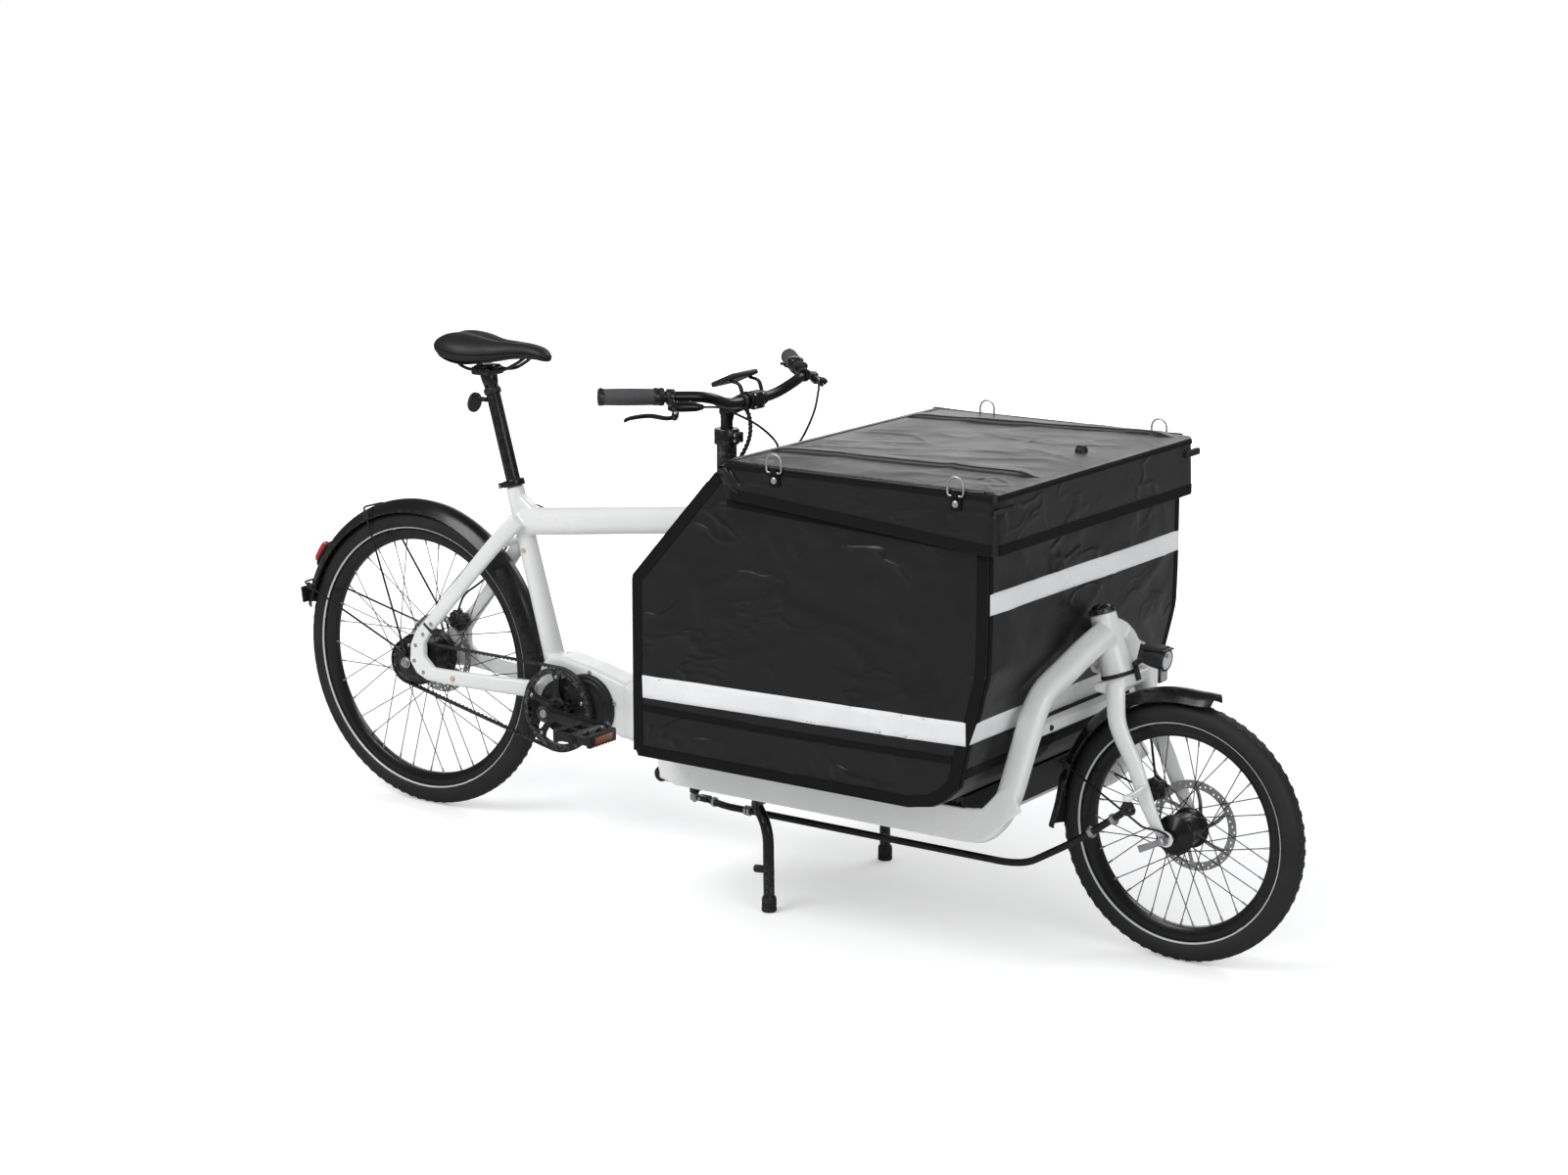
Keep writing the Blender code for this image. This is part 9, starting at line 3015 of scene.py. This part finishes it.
@dataclass
class Hoses:
    """The brake hoses as smooth tubes along the routes of the solids."""

    diameter: float = 0.005

    def build(self) -> None:
        """Build and dress the four hoses and the wrap round the stem."""
        cockpit = Cockpit()
        for hand, side in (("right", -1.0), ("left", 1.0)):
            barrel, _, _ = cockpit.lever_pivot(side)
            _, inboard, _ = cockpit.lever_frame(side)
            start = barrel + inboard * 0.0603
            route = [start, start + inboard * 0.035, station(0.03, side * 0.095, 0.945),
                station(0.038, side * 0.035, 0.895), station(0.005, side * 0.01, 0.845),
                station(-0.06, side * 0.008, 0.815), station(-0.0935, side * 0.008, 0.805)]
            self.lay("brake_hose_" + hand, route, "cockpit", "hose_" + hand, 0.06)
        rear = stations([(-0.876, 0.045, 0.427), (-0.869, 0.056, 0.462), (-0.8102, 0.068, 0.5052),
            (-0.7123, 0.05, 0.6205), (-0.66, 0.033, 0.696), (-0.6, 0.0276, 0.682),
            (-0.33, 0.0268, 0.7), (-0.175, 0.0262, 0.719), (-0.119, 0.0273, 0.769)])
        self.lay("rear_hose", rear, "frame", "rear_brake_hose", 0.06)
        front = stations([(0.845, 0.048, 0.3261), (0.838, 0.05, 0.36), (0.818, 0.074, 0.405),
            (0.792, 0.072, 0.46), (0.784, 0.066, 0.52), (0.81, 0.044, 0.585)])
        self.lay("front_hose", front, "fork", "front_brake_hose", 0.06)
        self.build_clips()
        self.build_wrap()

    def lay(self, name: str, corners: Sequence[Vector], body: str, node: str, bend: float) -> None:
        """Args:
            name: the new piece's name.
            corners: the corners of its route.
            body: the body it rides on.
            node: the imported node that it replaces.
            bend: how far from a corner its curve starts.
        """
        path = rounded_path(corners, bend, 8)
        radius = self.diameter / 2.0
        piece = sweep(name, path, [(radius, radius)] * len(path), 14)
        length = sum((b - a).length for a, b in zip(path, path[1:]))
        fit_out(shade(piece), RUBBER, body, "rubber", [node])
        tuple(path[0])
        [tuple(point)
            for point in path]

    def build_clips(self) -> None:
        """Build the clips that hold the rear hose along the top tube."""
        clips = []
        for x, y, z in ((-0.52, 0.0266, 0.6851), (-0.38, 0.0262, 0.6957), (-0.23, 0.0262, 0.7122)):
            clips.append(block("clip", station(x, y, z), (0.008, 0.009, 0.011), 0.0025))
        fit_out(shade(join("hose_clips", clips)), MOULDED, "frame", "black_plastic")

    def build_wrap(self) -> None:
        """Build the spiral wrap that gathers the wires beside the stem."""
        centre = curve_through([station(-0.09, -0.024, 0.835), station(-0.062, -0.023, 0.87),
            station(-0.048, -0.02, 0.905), station(-0.048, -0.02, 0.94),
            station(-0.056, -0.024, 0.963)], 12)
        frames = sweep_frames(centre, X_AXIS)
        core = sweep("core", centre, [(0.004, 0.004)] * len(centre), 12, X_AXIS)
        turns = 16
        path = []
        steps = turns * 12
        for i in range(steps + 1):
            share = i / steps * (len(frames) - 1)
            index = min(int(share), len(frames) - 2)
            rest = share - index
            point = frames[index][0].lerp(frames[index + 1][0], rest)
            side = frames[index][1].lerp(frames[index + 1][1], rest)
            rise = frames[index][2].lerp(frames[index + 1][2], rest)
            angle = 2.0 * math.pi * i / 12
            path.append(point + (side * math.cos(angle) + rise * math.sin(angle)) * 0.0044)
        coil = sweep("coil", path, [(0.0014, 0.0012)] * len(path), 6, X_AXIS)
        fit_out(shade(join("wire_wrap", [core, coil]), 60.0), MOULDED, "cockpit", "rubber")


# ---------------------------------------------------------------- studio


@dataclass
class Studio:
    """Camera, floor and soft lights."""

    camera_place: Vector = field(default_factory=lambda: Vector((3.72985, -5.2466, 2.0257)))
    yaw: float = 0.6096
    pitch: float = 0.219
    lens: float = 75.2

    def build(self) -> None:
        """Build the camera, the world, the floor and the lamps."""
        self.build_camera()
        self.build_world()
        self.build_floor()
        self.build_lamps()
        bpy.context.scene.view_settings.view_transform = "Standard"

    def build_camera(self) -> None:
        """Place the camera at the photograph's viewing angle."""
        camera = bpy.data.cameras.new("camera")
        camera.lens = self.lens
        camera.sensor_width = 36.0
        piece = bpy.data.objects.new("camera", camera)
        piece.location = self.camera_place
        piece.rotation_euler = (math.pi / 2.0 - self.pitch, 0.0, self.yaw)
        bpy.context.scene.collection.objects.link(piece)
        bpy.context.scene.camera = piece

    def build_world(self) -> None:
        """Build a pale world that cameras see as white, that lights the object softly and that
        mirrors see dim.
        """
        world = bpy.data.worlds.new("studio_world")
        bpy.context.scene.world = world
        world.use_nodes = True
        world.node_tree.nodes.clear()
        graph = Graph(world.node_tree)
        rays = graph.add("ShaderNodeLightPath").outputs
        seen = rays["Is Camera Ray"]
        light = graph.add("ShaderNodeBackground", Color=(0.97, 0.98, 1.0, 1.0))
        soft = graph.math("SUBTRACT", 0.62, graph.math("MULTIPLY", rays["Is Glossy Ray"], 0.5))
        graph.feed(light.inputs["Strength"], soft)
        white = graph.add("ShaderNodeBackground", Color=(1.0, 1.0, 1.0, 1.0))
        white.inputs["Strength"].default_value = 1.0
        mix = graph.tree.nodes.new("ShaderNodeMixShader")
        graph.feed(mix.inputs[0], seen)
        graph.feed(mix.inputs[1], light.outputs[0])
        graph.feed(mix.inputs[2], white.outputs[0])
        graph.add("ShaderNodeOutputWorld", Surface=mix.outputs[0])

    def build_floor(self) -> None:
        """Build the wide pale floor that keeps the object's shadow."""
        deselect_all()
        bpy.ops.mesh.primitive_grid_add(x_subdivisions=8, y_subdivisions=8, size=60.0)
        floor = take_new("studio_floor")
        floor.data.transform(Matrix.Translation((0.0, 0.0, -0.0006)))
        made = bpy.data.materials.new("studio_floor_white")
        made.use_nodes = True
        made.node_tree.nodes.clear()
        graph = Graph(made.node_tree)
        rays = graph.add("ShaderNodeLightPath").outputs
        seen = graph.math("MAXIMUM", rays["Is Camera Ray"], rays["Is Transmission Ray"])
        matt = graph.add("ShaderNodeBsdfDiffuse", Color=graph.mix(rays["Is Glossy Ray"],
            (0.86, 0.86, 0.86, 1.0), (0.34, 0.34, 0.34, 1.0)))
        away = graph.vector("LENGTH", graph.add("ShaderNodeNewGeometry").outputs["Position"],
            (0.0, 0.0, 0.0)).node.outputs["Value"]
        glow = graph.add("ShaderNodeEmission", Color=(1.0, 1.0, 1.0, 1.0))
        graph.feed(glow.inputs["Strength"], graph.math("MULTIPLY", seen,
            graph.ramp(away, 1.2, 4.0, 0.3, 0.8)))
        total = graph.tree.nodes.new("ShaderNodeAddShader")
        graph.feed(total.inputs[0], matt.outputs[0])
        graph.feed(total.inputs[1], glow.outputs[0])
        graph.add("ShaderNodeOutputMaterial", Surface=total.outputs[0])
        floor.data.materials.append(made)

    def build_lamps(self) -> None:
        """Build the soft key, fill and rim lamps."""
        for name, place, size, power in (("key", (-1.2, -3.6, 4.4), 3.2, 150.0),
                ("fill", (4.6, -2.0, 2.6), 3.0, 52.0), ("rim", (0.6, 4.2, 3.8), 3.0, 60.0),
                ("back", (-3.0, 5.7, 2.1), 4.6, 62.0)):
            lamp = bpy.data.lights.new(name, "AREA")
            lamp.shape = "DISK"
            lamp.size = size
            lamp.energy = power
            piece = bpy.data.objects.new(name, lamp)
            piece.location = place
            aim = Vector((0.1, 0.0, 0.5)) - Vector(place)
            piece.rotation_euler = aim.to_track_quat("-Z", "Y").to_euler()
            bpy.context.scene.collection.objects.link(piece)


REAR_HUB = [(0.0055, -0.0485), (0.018, -0.0485), (0.03, -0.044), (0.056, -0.036),
    (0.0565, -0.0335), (0.056, -0.031), (0.048, -0.028), (0.048, 0.028), (0.056, 0.031),
    (0.0565, 0.0335), (0.056, 0.036), (0.026, 0.0437), (0.0055, 0.0437)]
FRONT_HUB = [(0.0055, -0.06), (0.011, -0.06), (0.013, -0.043), (0.0382, -0.0332),
    (0.0392, -0.0305), (0.0388, -0.028), (0.0325, -0.025), (0.0325, 0.025), (0.0388, 0.028),
    (0.0392, 0.0305), (0.0382, 0.0332), (0.026, 0.0467), (0.014, 0.0467), (0.013, 0.06),
    (0.0055, 0.06)]


def main() -> None:
    """Build every sub-assembly in turn and report its pieces."""
    logging.basicConfig(level=logging.INFO, format="%(message)s")
    steps = [Studio(), Hoses(), PaintedFrame(), Wheel("rear", "rear_wheel", REAR_AXLE, 0.3265,
        REAR_HUB, 0.056, (-0.0335, 0.0335), 0.045), Wheel("front", "front_wheel", FRONT_AXLE, 0.25,
        FRONT_HUB, 0.039, (-0.0305, 0.0305), 0.048), Drive(), RearEnd(), FrontEnd(), Bay(),
        SteeringLinkage(), CargoBox(), Cockpit(), Seat(),]
    for step in steps:
        before = len(PIECES)
        step.build()
        LOG.info("%s: %s", type(step).__name__, ", ".join(PIECES[before:]) or "no pieces")
    deselect_all()


if __name__ == "__main__":
    main()
